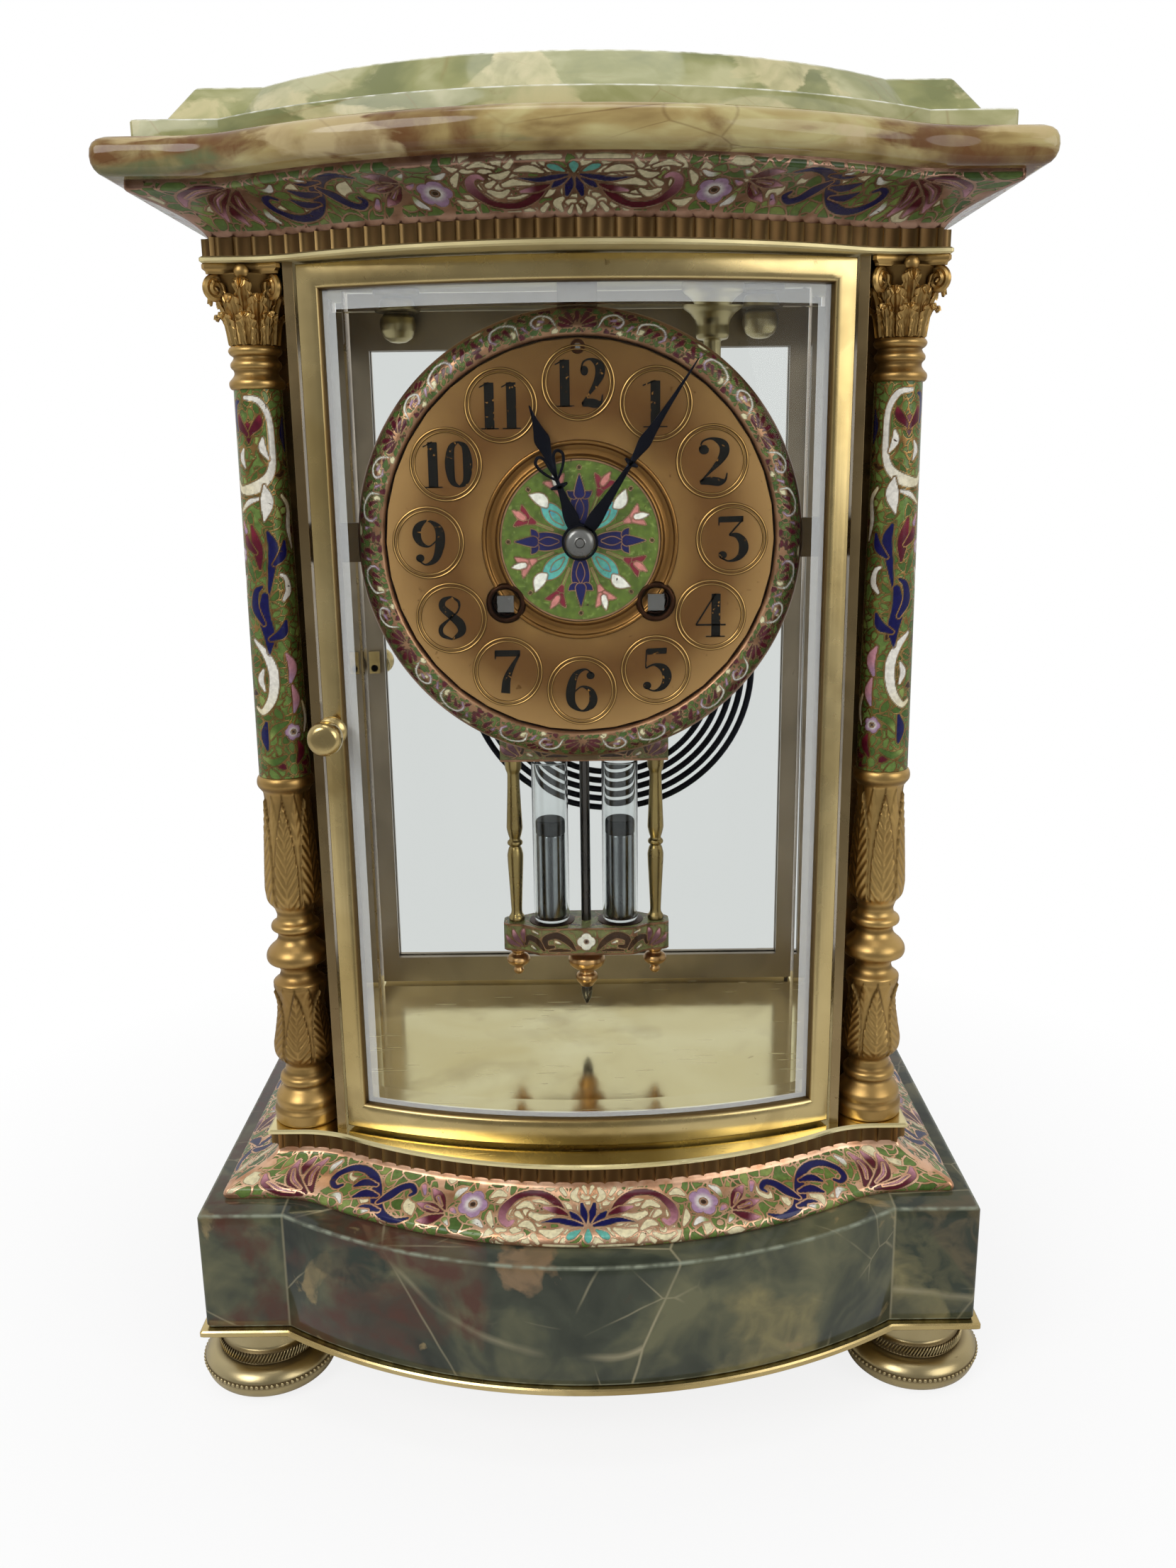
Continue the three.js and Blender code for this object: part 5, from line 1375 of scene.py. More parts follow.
BEZEL_MIDDLE = cells("maroon", "0,3.4,.2 0,6,.62 0,7,.35")
TRAY_CELLS = (
    *cells("brown",
        "3.6,1.8,.4 5.8,4.6,1 9.2,6.6,1.1 12.8,5.6,1 12.6,3,.8 10.4,2.9,.5;13.4,1.8,.4 15.6,4.6,1 18.4,5,.8 "
        "19.2,2.8,.5;5.2,1.5,.3 8.4,1.7,.55 11.6,1.5,.3;2,12,.4 6,13.4,.9 11,12,.8 15,12.8,.4;4,20,.4 9,22,1 14,20,.5"),
    *cells("mauve pink",
        "20.2,2.2,.3 22.4,4.6,.9 23.2,6.8,.4;21.2,1.8,.3 24.2,3.2,.8 25.4,4.8,.3;19.8,3.6,.3 20.2,6,.8 19.8,7.6,.3"),
    *cells("white cream", "15.2,7.2,.2 16.8,7.6,.4;8.2,4,.2 9.6,4.6,.5;16,1.8,.2 17.2,2.4,.45"),
)


@dataclass(frozen=True)
class EnamelMoulding:
    """A champlevé moulding that runs round the case."""

    name: str
    node: str
    foot: BowPlan
    head: BowPlan
    curve: Line
    bottom: float
    outer_edge_up: bool
    finish: EnamelFinish = ENAMEL
    # Tone scales the glazes; below 1 it is painted shade.
    tone: float = 1.0
    corner: float = 1.2
    drawn_width: float = 18.6
    side_motifs: Station = (124, 340, 46)

    def build(self) -> None:
        """Models and paints the moulding."""
        width = abs(self.foot.half - self.head.half)
        section = resample(smooth_line(self.curve, 8) * (width, 1.0), 0.32)
        run = np.linspace(0, np.linalg.norm(np.diff(section, axis=0), axis=1).sum(), len(section))
        rings = []
        for share, rise in section / (width, 1.0):
            outline, _ = self.foot.towards(self.head, share).outline(FINE, self.corner)
            rings.append(raised(outline, self.bottom + rise))
        outline, along = self.foot.towards(self.head, 0.5).outline(FINE, self.corner)
        across = run[-1] - run if self.outer_edge_up else run
        mitre = abs(along[np.argmin(outline @ (1.0, 1.0))])
        s, t = (place.ravel() for place in np.meshgrid(along, across))
        picture = self.paint(s, t, run[-1], mitre)
        fit(self.name, loft(rings), self.finish, "case", "enamel", self.node, **picture.values())

    def paint(self, s: Array, t: Array, width: float, mitre: float) -> Painting:
        """Lays the scrolls, leaves and flowers out along the front, sides and back.

        Args:
            s: The points' distance along the moulding from the front's middle.
            t: Their distance across it.
            width: The moulding's width.
            mitre: Distance of the front corners along it.

        Returns:
            The painting.
        """
        picture = Painting(s, t * self.drawn_width / width)
        picture.ground("green", 11, 0.03)
        picture.foliage(GROUND_LEAVES, 12, 4.0, 1.5)
        picture.bare(np.maximum(1 - ease(np.abs(s), 21.0, 24.0), ease(lattice_noise(s, t, 4.2, 61), 0.78, 0.82)))
        picture.foliage(MIDDLE_LEAVES, 13, 2.6, span=(-23, 23))
        picture.bare(np.maximum(1 - ease(t, 0.5, 0.8), ease(t, width - 1.5, width - 1.2)))
        picture.bare(1 - ease(np.abs(np.abs(s) - mitre), 0.7, 1.1))
        picture.mirrored(FRONT_HALF)
        picture.strokes(FRONT_MIDDLE)
        for side in (-1, 1):
            picture.flower((side * 31.2, 11.2), 4.1)
            for middle in np.arange(*self.side_motifs):
                picture.strokes(SIDE_UNIT, (side * middle, 0), flip=side)
                picture.flower((side * (middle + 14.2), 10.4), 3.6)
        # Painted shade where the tone is below 1.
        picture.glaze *= self.tone
        return picture


@dataclass(frozen=True)
class Fluting:
    """A band of upright hollow flutes round a storey."""

    name: str
    plan: BowPlan
    bottom: float
    height: float
    pitch: float = 4.4
    depth: float = 1.15
    steps: int = 15

    def build(self) -> None:
        """Sets the flutes side by side along the plan."""
        outline, along = self.plan.outline(HOLLOWED, 1.5)
        u = np.linspace(-1, 1, self.steps)
        front = np.stack([u, -0.95 + self.depth * np.sqrt(1 - u ** 2)], -1)
        back = np.stack([u[::-1], np.full(self.steps, 0.7)], -1)
        section = np.vstack([front, back]) * (self.pitch * 0.505, 1.0)
        flute = loft([raised(section, z) for z in (-self.height / 2, self.height / 2)])
        count = round((along.max() - along.min()) / self.pitch)
        path = raised(outline, self.bottom + self.height / 2)
        # Painted shade: each flute darkens into its hollow.
        dark = lambda p: 0.85 * ease(p[:, 1], -1.05, 0.35)
        dress(copies_along(self.name, path, flute, count, FLUTE_BRASS, dark), "case", "brass")


@dataclass(frozen=True)
class Pane:
    """A pane with a ground bevel along its visible edges.

    Its bounds are positions across and heights, and place puts a position across, a height and a depth behind the
    face into the model. An edge of it is hidden in the frame's groove.
    """

    left: float
    right: float
    low: float
    high: float
    place: Placer
    steps: int = 2
    bevel: float = 6.0
    hidden: float = 1.6
    thick: float = 1.6
    cut: float = 0.5

    def glass(self) -> Shape:
        """The pane, its edges bevelled.

        Returns:
            Its points and faces.
        """
        left, right, low, high = self.left, self.right, self.low, self.high
        inset = self.hidden + self.bevel
        middle = np.linspace(left + inset, right - inset, self.steps + 1)
        across = np.concatenate([[left, left + self.hidden], middle, [right - self.hidden, right]])
        up = np.array([low, low + self.hidden, low + inset, high - inset, high - self.hidden, high])
        rings = []
        for u in across:
            edge = np.minimum(np.minimum(u - left, right - u), np.minimum(up - low, high - up))
            face = self.cut * (1 - np.clip((edge - self.hidden) / self.bevel, 0, 1))
            front = self.place(np.full(len(up), u), up, face)
            back = self.place(np.full(len(up), u), up[::-1], np.full(len(up), self.thick))
            rings.append(np.vstack([front, back]))
        return loft(rings)

    def film(self, widths: Station, steps: int = 40) -> Shape:
        """A thin pale film along the pane's edge: a painted highlight for the light that the ground bevel catches.

        Args:
            widths: Widths of the film along the bottom, the sides and the top.
            steps: Steps along each side.

        Returns:
            Points and faces.
        """
        bottom, side, top = widths
        left, right, low, high = (b + s * self.hidden for b, s in (
            (self.left, 1), (self.right, -1), (self.low, 1), (self.high, -1)))
        rings = []
        for share, depth in ((0, -0.12), (1, -0.12), (1, -0.06), (0, -0.06)):
            across = np.linspace(left + share * side, right - share * side, steps + 1)
            up = np.linspace(low + share * bottom, high - share * top, steps + 1)
            u = np.concatenate([across[:-1], np.full(steps, across[-1]), across[:0:-1], np.full(steps, across[0])])
            z = np.concatenate([np.full(steps, up[0]), up[:-1], np.full(steps, up[-1]), up[:0:-1]])
            rings.append(self.place(u, z, np.full(4 * steps, depth)))
        return np.vstack(rings), list(grid_faces(4, 4 * steps, True))


@dataclass(frozen=True)
class Case:
    """The fixed storeys of the case: feet, onyx, mouldings, bands and frames."""

    foot_x: float = 93.5
    foot_front: float = -44.0
    foot_rear: float = 68.5
    foot_profile: Line = stations(
        "0,0 12,0 16,.9 18,2.4 18.8,4.2 18.95,5.4 18.95,6.9 18.5,7.7 17.7,8.7 16.4,9.6 15,10 14.2,10.1 14,10.4 "
        "14,13.2 13.6,13.5 13,13.7 12.7,14.8 12.1,17.5 11.8,20 11.7,22.5 0,22.5")
    bead_ring: Point = (18.95, 6.2)
    rope_ring: Point = (14.15, 11.8)
    block_edge: Line = stations("1.1,0 .3,.3 0,1")
    base_curve: Line = stations(".05,0 0,.9 .01,2.1 .1,3.4 .4,4.9 .72,6.4 .93,8.2 1,9.8")
    cornice_curve: Line = stations("0,0 .1,1.7 .29,3.7 .58,5.7 .9,7.4 1,8.1 1,10")
    slab_nose: Line = stations("2.4,0 1.3,.5 .6,1.3 .15,2.4 0,3.8 .15,5.4 .6,6.6 1.3,7.4 2.4,8")
    nut_profile: Line = stations(
        "0,292.8 2.4,293.1 4.3,294.3 5.3,296.2 5.6,298.4 5.2,300.2 4.4,301 4.2,301.6 6.8,301.9 7.1,302.6 7.1,303.7 "
        "0,303.7")
    nut_places: Line = stations("-56,50 56,50")
    plate_edge: float = 0.4
    band_inset: float = 0.5

    def build(self) -> None:
        """Makes every fixed piece of the case."""
        self.feet()
        self.base()
        self.top()
        self.frames()

    def feet(self) -> None:
        """Turns the four feet, with a beaded and a roped ring."""
        profile = resample(rounded(self.foot_profile, 0.7), 0.5)
        profile[[0, -1], 0] = 0
        (bead_radius, bead_z), (rope_radius, rope_z) = self.bead_ring, self.rope_ring
        # Painted shade: the beads and the rope darken on their inner sides, and the foot darkens beside them.
        bead_dark = lambda p: 0.9 * (1 - ease(-p[:, 1], -0.1, 0.25))
        rope_dark = lambda p: 0.95 * (1 - ease(-p[:, 1], 0.1, 0.5))
        for end, y in (("front", self.foot_front), ("rear", self.foot_rear)):
            for side in Side:
                name, x = f"foot_{end}_{side.word}", side.value * self.foot_x
                turned = lathe(profile, 96)
                z = turned[0][:, 2]
                dark = np.maximum(ease(-np.abs(z - rope_z), -2.3, -1.4), ease(-np.abs(z - bead_z), -1.1, -0.6)) * 0.85
                fit(f"{name}_turned", moved(turned, (x, y, 0)), FOOT_BRASS, "case", "foot_brass", name, recess=dark)
                path, one = ring_path(bead_radius, (x, y, bead_z)), bead((0.56, 0.5, 0.6))
                dress(copies_along(f"{name}_beads", path, one, 84, FOOT_BRASS, bead_dark), "case", "foot_brass")
                path, one = ring_path(rope_radius, (x, y, rope_z)), bead((0.36, 0.62, 1.65), 5, 8, 0.5)
                dress(copies_along(f"{name}_rope", path, one, 96, FOOT_BRASS, rope_dark), "case", "foot_brass")

    def base(self) -> None:
        """Makes the base plate, the onyx block, the moulding and the plinth."""
        low, high, edge = Storey.PLATE, Storey.BLOCK, self.plate_edge
        lip = FOOT_PLATE.inset(edge)
        levels = [(lip, low), (FOOT_PLATE, low + edge), (FOOT_PLATE, high - edge), (lip, high)]
        storey("base_plate_edge", levels, BRASS, "brass", "base_plate")
        low, high = Storey.BLOCK, Storey.BLOCK_TOP
        levels = [(BLOCK.inset(i), low + z) for i, z in self.block_edge]
        levels += [(BLOCK.inset(i), high - z) for i, z in reversed(self.block_edge)]
        storey("base_block_onyx", levels, BASE_ONYX, "onyx", "base_block", corner=1.0)
        EnamelMoulding("base_moulding_enamel", "base_moulding", MOULDING_FOOT, BAND, self.base_curve,
                       Storey.BLOCK_TOP, False).build()
        core, lip = BAND.inset(self.band_inset), PLINTH.inset(self.band_inset)
        low, high = Storey.PLINTH, Storey.PLINTH_TOP
        levels = [(core, Storey.BAND), (core, low), (lip, low), (PLINTH, low + edge), (PLINTH, high - edge)]
        levels.append((lip, high))
        storey("plinth_floor", levels, PLATE_BRASS, "brass", "plinth_plate", HOLLOWED)
        Fluting("plinth_flutes", BAND, Storey.BAND, 4.5).build()

    def top(self) -> None:
        """Makes the ceiling plate, the cornice and the two onyx slabs."""
        core, lip = BAND.inset(self.band_inset), PLINTH.inset(self.band_inset)
        low, high, edge = Storey.CEILING, Storey.CEILING_TOP, self.plate_edge
        levels = [(lip, low), (PLINTH, low + edge), (PLINTH, high - edge), (lip, high), (core, high)]
        levels.append((core, Storey.CORNICE))
        storey("ceiling_plate", levels, CEILING_BRASS, "brass", "top_plate", HOLLOWED)
        Fluting("ceiling_flutes", BAND, Storey.CEILING_TOP, 4.3).build()
        # The cornice's darker enamel and its tone of 0.72 are painted shade under the overhang.
        EnamelMoulding("cornice_enamel", "cornice_moulding", BAND, CORNICE_TOP, self.cornice_curve, Storey.CORNICE,
                       True, SHADED_CORNICE_ENAMEL, 0.72).build()
        levels = [(SLAB.inset(i), Storey.SLAB + z) for i, z in self.slab_nose]
        storey("top_slab_onyx", levels, SLAB_ONYX, "pale_onyx", "top_slab", HOLLOWED, 2.0)
        step, cap = Storey.STEP_TOP, Storey.CAP_TOP
        levels = [
            (STEP, Storey.SLAB_TOP), (STEP, step - 0.6), (STEP.inset(0.2), step - 0.2), (STEP.inset(0.7), step),
            (CAP_FOOT, Storey.CAP_FOOT), (CAP_FOOT.towards(CAP_TOP, 0.92), cap - 0.7), (CAP_TOP, cap - 0.2),
            (CAP_TOP.inset(0.7), cap)]
        storey("top_cap_onyx", levels, CAP_ONYX, "pale_onyx", "top_cap", corner=0.9)
        for i, (x, y) in enumerate(self.nut_places):
            nut = lathe(rounded(self.nut_profile, 0.4), 32)
            # Painted shade: the nuts darken at the top, under the ceiling.
            dark = 0.7 * ease(nut[0][:, 2], 300.4, 301.2)
            fit(f"ceiling_nut_{i}", moved(nut, (x, y, 0)), POST_BRASS, "case", "brass", recess=dark)

    def frames(self) -> None:
        """Softens the side frames and sets their bevelled panes."""
        for side in Side:
            name = f"side_frame_{side.word}"
            # Painted shade: the side frames take the darker brass.
            dress(refined(name, SHADED_SIDE_BRASS, 0.45), "case", "brass", name)
            low, high = box_of(f"side_glass_{side.word}")
            face = (low[0] + high[0]) / 2
            place = lambda u, z, d: np.stack([face + side.value * (Pane.thick / 2 - d), u, z], -1)
            glass = Pane(low[1], high[1], low[2], high[2], place).glass()
            fit(f"side_pane_{side.word}", glass, GLASS, "case", "glass", f"side_glass_{side.word}", crease=3)


def leaf_relief(turns: Array, rise: Array, leaves: float) -> tuple[Array, Array]:
    """Height and painted shade of a ring of ribbed leaves, both from 0 to 1.

    Args:
        turns: Place round the ring, in turns.
        rise: Place from the leaves' feet, 0, to their tips, 1.
        leaves: How many leaves.

    Returns:
        The height and the painted shade.
    """
    aside = (turns * leaves) % 1 - 0.5
    width = 0.47 * np.clip(1 - np.clip((rise - 0.3) / 0.64, 0, 1) ** 1.8, 0, 1)
    blade = ease(width - np.abs(aside), 0.0, 0.05)
    outline = np.exp(-((np.abs(aside) - width) / 0.045) ** 2)
    rib = np.exp(-(aside / 0.04) ** 2)
    veins = 0.5 + 0.5 * np.cos(math.tau * (10 * rise - 4.0 * np.abs(aside)))
    height = blade * (0.45 + 0.35 * veins * (1 - rib) + 0.35 * rib)
    return height, np.clip(0.85 * outline + blade * (1 - rib) * 0.5 * (1 - veins) + 0.15 * (1 - blade), 0, 1)


@dataclass(frozen=True)
class Column:
    """One free column: a cast base with leaves, an enamelled shaft and a leafy capital."""

    side: Side
    place_x: float = 80.3
    place_y: float = -34.5
    base_profile: Line = stations(
        "0,75.3 9.2,75.3 9.3,79 8.9,79.5 8.5,80.2 8.8,81.2 8.7,82.6 7.7,84 6.4,85.4 6,86.2 7,86.6 7.3,87.6 7,88.8 "
        "5.9,89.4 5.3,92.2 6.4,93.6 7.8,95.8 7.9,98.4 7.2,102 6.4,107 6.2,110.5 6.8,113.6 7.5,115.6 7.2,117 "
        "5.4,118.4 4.8,120.2 5.8,122.2 8,122.9 8.5,124 8.4,125.6 7.5,127 5.6,128.6 4.8,130.2 5.2,131.8 6.5,132.3 "
        "6.7,133.2 6.4,134.2 5.2,134.8 4.7,136.4 5.4,138.6 6.8,141 7.2,144 7,149 6.6,156 6.2,164 6.1,169 6.4,172 "
        "7.4,173.2 7.6,174.2 7.4,175.4 6.9,176.2 0,176.2")
    leaf_zones: Line = stations("93,116.9,6 138.5,172.4,6")
    rings: tuple[float, ...] = (79.6, 86.1, 89.8, 119.6, 130.4, 137.4, 172.9, 177)
    shaft_radii: Point = (6.8, 5.95)
    shaft_ends: Point = (176.2, 275.0)
    shaft_period: float = 20.1
    neck_profile: Line = stations(
        "0,275 6.4,275 6.9,275.8 6.9,276.9 6,277.8 5.4,278.7 5.5,279.6 6.3,280.3 6.3,281.3 5.6,282.1 5.3,282.8 "
        "6.2,283.3 6.7,284.2 6.2,285.1 5.4,285.6 5.8,289 6.4,293 7.4,297 8.6,300 9,301.2 9,301.6 0,301.6")
    bell: Point = (5.3, 285.6)
    leaf_ranks: Line = stations("7.6,3.3,0 11.6,4.2,.5 15.2,5,0")
    leaf_count: int = 8
    flower_at: Station = (0, -8.6, 301.9)
    abacus_half: float = 9.4
    abacus_side: float = 8.6
    abacus_levels: Line = stations(".92,301.4 .93,302 .97,302.3 1,302.6 1,303.5 .98,303.75")

    @property
    def at(self) -> Array:
        """Where the column stands."""
        return np.array([self.side.value * self.place_x, self.place_y, 0.0])

    def build(self) -> None:
        """Makes the three parts of the column."""
        self.base()
        self.shaft()
        self.capital()

    def base(self) -> None:
        """Casts the base, with leaves on its two vases."""
        profile = resample(rounded(self.base_profile, 0.8), 0.36)
        profile[[0, -1], 0] = 0
        points, faces = lathe(profile, 144)
        out, z = np.hypot(points[:, 0], points[:, 1]), points[:, 2]
        turns = np.arctan2(points[:, 1], points[:, 0]) / math.tau
        grow, dark = np.zeros(len(points)), np.zeros(len(points))
        # Painted shade: dark lines at the rings, and shade between and along the leaves.
        for ring in self.rings:
            dark = np.maximum(dark, 0.6 * (1 - ease(np.abs(z - ring), 0.2, 1.1)))
        for low, high, leaves in self.leaf_zones:
            rise = (z - low) / (high - low)
            inside = ease(rise, 0.0, 0.06) * (1 - ease(rise, 0.97, 1.0)) * (out > 3)
            height, shadow = leaf_relief(turns, rise, leaves)
            second, _ = leaf_relief(turns + 0.5 / leaves, rise * 0.94, leaves)
            grow += inside * (0.85 * np.maximum(height, 0.35 * second) - 0.25)
            dark = np.maximum(dark, inside * shadow * (1 - 0.5 * second))
        points[:, :2] *= 1 + (grow / np.maximum(out, 1))[:, None]
        name = f"column_base_{self.side.word}"
        fit(f"{name}_cast", moved((points, faces), self.at), GILT, "case", "gilt_brass", name, recess=0.8 * dark)

    def shaft(self) -> None:
        """Turns and paints the enamelled shaft."""
        low, high = self.shaft_ends
        line = zip(np.linspace(*self.shaft_radii, 300), np.linspace(low, high, 300))
        points, faces = lathe([(0, low), *line, (0, high)], 132)
        angle = np.arctan2(points[:, 1], points[:, 0]) + math.pi / 2
        around = ((angle + math.pi) % math.tau - math.pi) * self.shaft_period / math.pi * self.side.value
        picture = Painting(around, points[:, 2] - low, 0.3, 0.16)
        picture.ground("green", 23, 0.05, 3.6)
        picture.foliage(SHAFT_LEAVES, 24, 2.7, 0.85)
        for start in (-self.shaft_period, 0, self.shaft_period):
            picture.strokes(SHAFT_CELLS, (start, 0))
            picture.flower((start - 4.4, 12.4), 2.3)
            picture.flower((start + 7.6, 58.5), 2.2)
        name = f"column_shaft_{self.side.word}"
        fit(f"{name}_enamel", moved((points, faces), self.at), SHAFT_ENAMEL, "case", "enamel", name, **picture.values())

    def capital(self) -> None:
        """Casts the capital: neck rings, three ranks of leaves, volutes, flowers and the abacus."""
        parts = [lathe(rounded(self.neck_profile, 0.7), 72), self.abacus()]
        flower, petals = moved(bead((1.9, 1.0, 1.8), 5, 10), self.flower_at)
        for quarter in range(4):
            turn = quarter * math.pi / 2
            parts += [self.volute(math.pi / 4 + turn), (flower @ spin(turn), petals)]
        points, faces = joined(parts)
        out = np.hypot(points[:, 0], points[:, 1])
        # Painted shade: darker under the abacus and in close to the bell.
        dark = np.where((points[:, 2] > 285.5) & (out < 9.1), 0.7, 0.6 * (1 - ease(out - 5.2, 0.0, 0.9)))
        name = f"column_capital_{self.side.word}"
        fit(f"{name}_cast", moved((points, faces), self.at), GILT, "case", "gilt_brass", name, recess=dark)
        radius, foot = self.bell
        # Painted shade: the leaves darken on their inner sides.
        dark = lambda p: 0.85 * (1 - ease(-p[:, 1] - 0.09 * p[:, 2], 0.1, 0.8))
        for rank, (height, reach, turn) in enumerate(self.leaf_ranks):
            path = ring_path(radius, (0, 0, foot)) @ spin(turn * math.tau / self.leaf_count) + self.at
            name = f"column_leaves_{self.side.word}_{rank}"
            leaves = copies_along(name, path, self.leaf(height, reach), self.leaf_count, GILT, dark)
            dress(leaves, "case", "gilt_brass")

    @staticmethod
    def leaf(height: float, reach: float, columns: int = 15) -> Shape:
        """One leaf that stands on the bell and curls over at its tip.

        Args:
            height: Its height.
            reach: How far its tip stands out.
            columns: Points across each of its faces.

        Returns:
            Points and faces.
        """
        lean = 0.17 * height
        spine = smooth_line((
            (0.2, 0, 1.7), (0.2 + 0.3 * lean, height * 0.35, 2.1), (0.3 + 0.7 * lean, height * 0.7, 2.5),
            (reach * 0.72, height * 0.93, 2.3), (reach, height * 0.97, 1.6), (reach * 1.1, height * 0.82, 0.7)), 5)
        across = np.linspace(-1, 1, columns)
        ribs = 0.3 * np.exp(-(across / 0.14) ** 2)
        crown = 0.4 * (1 - across ** 2) + ribs + 0.16 * np.cos(across * 4 * math.pi)
        rings = []
        for i, (out, up, half) in enumerate(spine):
            notch = 1 - 0.3 * (i % 4 == 0) - 0.12 * (i % 4 == 1)
            sag = up - 0.5 * across ** 2
            front = np.stack([across * half * notch, -(out + crown), sag], -1)
            back = np.stack([across[::-1] * half * notch * 0.9, np.full(columns, -out + 0.35), sag], -1)
            rings.append(np.vstack([front, back]))
        return loft(rings)

    @staticmethod
    def volute(angle: float, steps: int = 44) -> Shape:
        """A scroll under a corner of the abacus.

        Args:
            angle: The corner's direction.
            steps: Points along the scroll.

        Returns:
            Points and faces.
        """
        turns = np.linspace(0, 1.7 * math.tau, steps)
        radius = np.linspace(2.9, 0.5, steps)
        spiral = np.stack([9.9 + radius * np.sin(turns - 0.6), 298.1 + radius * np.cos(turns - 0.6)], -1)
        stalk = smooth_line(((6.2, 290.0), (6.6, 294.4), (7.1, 298.4), tuple(spiral[0])), 6)[:-1]
        out, up = np.vstack([stalk, spiral]).T
        line = np.stack([out * math.cos(angle), out * math.sin(angle), up], -1)
        return tube(line, np.linspace(0.75, 1.0, len(line)), 8, (-math.sin(angle), math.cos(angle), 0.0))

    def abacus(self) -> Shape:
        """The capital's cover plate, with hollow sides and cut corners.

        Returns:
            Its points and faces.
        """
        y = np.linspace(-self.abacus_side, self.abacus_side, 17)
        hollow = np.stack([self.abacus_half - 1.5 * (1 - (y / self.abacus_side) ** 2), y], -1)
        outline = np.vstack([hollow @ spin(quarter * math.pi / 2)[:2, :2] for quarter in range(4)])
        return loft([raised(outline * size, z) for size, z in self.abacus_levels])


@dataclass(frozen=True)
class FrontDoor:
    """The bowed front door: frame, bevelled pane and catch."""

    half: float = 67.4
    apex: float = -56.2
    ends: float = -43.5
    thick: float = 6.0
    stile: float = 5.8
    top_rail: float = 5.8
    bottom_rail: float = 7.4
    groove: float = 1.4
    pane_depth: float = 2.2
    pane_steps: int = 48
    pane_bevel: float = 5.0
    film_widths: Station = (1.6, 3.4, 4.4)
    knob: Point = (-64.5, 190.0)
    knob_profile: Line = stations(
        "0,0 3.9,0 3.9,.9 2.5,1.9 1.9,3.4 2.1,5 3.4,6.6 4.3,7.8 4.5,9.4 4.2,11 3.2,12 1.6,12.35 0,12.4")
    boss_profile: Line = stations("1.4,-2 2.8,-2 2.8,1.2 2.4,1.5 1.4,1.5")
    boss_depth: float = 1.6
    tongue: tuple[float, ...] = (1.8, 188.2, 195.6, -36.5, -34.7)

    @property
    def radius(self) -> float:
        """The bow's radius, from its apex and ends."""
        rise = self.ends - self.apex
        return (self.half ** 2 + rise ** 2) / (2 * rise)

    @property
    def middle(self) -> float:
        """Where the bow's axis is, from front to rear."""
        return self.apex + self.radius

    def place(self, u: Array, z: Array, depth: Array) -> Array:
        """A place on the bow from a distance along it, a height and a depth behind its face."""
        angle, reach = u / self.radius, self.radius - depth
        return np.stack([reach * np.sin(angle), self.middle - reach * np.cos(angle), z], -1)

    def build(self) -> None:
        """Makes the door's pieces."""
        reach = self.radius * math.asin(self.half / self.radius)
        low, high = Storey.DOOR, Storey.DOOR_TOP
        shape, dark = self.frame_shape(reach, low, high)
        fit("front_door_bowed", shape, BRASS, "front_door", "brass", "front_door_frame", crease=25, recess=dark)
        edge = reach - self.stile + self.groove
        pane = Pane(-edge, edge, low + self.bottom_rail - self.groove, high - self.top_rail + self.groove,
                    lambda u, z, d: self.place(u, z, d + self.pane_depth), self.pane_steps, self.pane_bevel)
        fit("front_pane", pane.glass(), GLASS, "front_door", "glass", "front_glass", crease=3)
        # Painted highlight: a pale film along the bevel of the front pane.
        fit("front_pane_bevel", pane.film(self.film_widths), BEVEL_HIGHLIGHT_GLASS, "front_door", "glass")
        x, z = self.knob
        boss = self.middle - math.sqrt(self.radius ** 2 - x ** 2) - self.boss_depth
        half, bottom, top, rear, front = self.tongue
        shape = joined([facing(turned_knob(), (x, boss - 0.3, z)), rod((x, boss, z), (x, front, z), 1.2),
                        block((x - half, rear, bottom), (x + half, front, top))])
        fit("front_catch_turned", shape, BRASS, "front_catch", "brass", "front_knob")
        ring = facing(lathe(self.boss_profile, 40, True), (x, boss + self.boss_depth, z))
        fit("front_catch_boss", ring, BRASS, "front_door", "brass")

    def frame_shape(self, reach: float, low: float, high: float) -> tuple[Shape, Array]:
        """The frame, swept round its four sides.

        Args:
            reach: Half its width along the bow.
            low: Its lower edge.
            high: Its upper edge.

        Returns:
            The shape, and the painted shade of its points.
        """
        us = np.linspace(-1, 1, 49)
        rim = lambda wide, foot, head: [(wide * u, foot) for u in us] + [(wide * u, head) for u in us[::-1]]
        outer = rim(reach, low, high)
        inner = rim(reach - self.stile, low + self.bottom_rail, high - self.top_rail)
        corners = ((0, 3), (0, 0), (0.84, 0), (1, 0.9), (1, self.thick), (0, self.thick), (0, 3))
        section = rounded(corners, 0.5)[:-1]
        rings = []
        for a, b in zip(np.array(outer), np.array(inner)):
            spots = a + np.outer(section[:, 0], b - a)
            rings.append(self.place(spots[:, 0], spots[:, 1], section[:, 1]))
        # Painted shade: the frame darkens along its inner edge, by the glass.
        dark = np.tile(0.9 * ease(section[:, 0], 0.9, 0.97), len(rings))
        return (np.vstack(rings), list(grid_faces(len(rings), len(section), True))), dark


def turned_knob() -> Shape:
    """The knob of both doors' catches, its axis along +Z."""
    return lathe(resample(rounded(FrontDoor.knob_profile, 0.5), 0.3), 48)


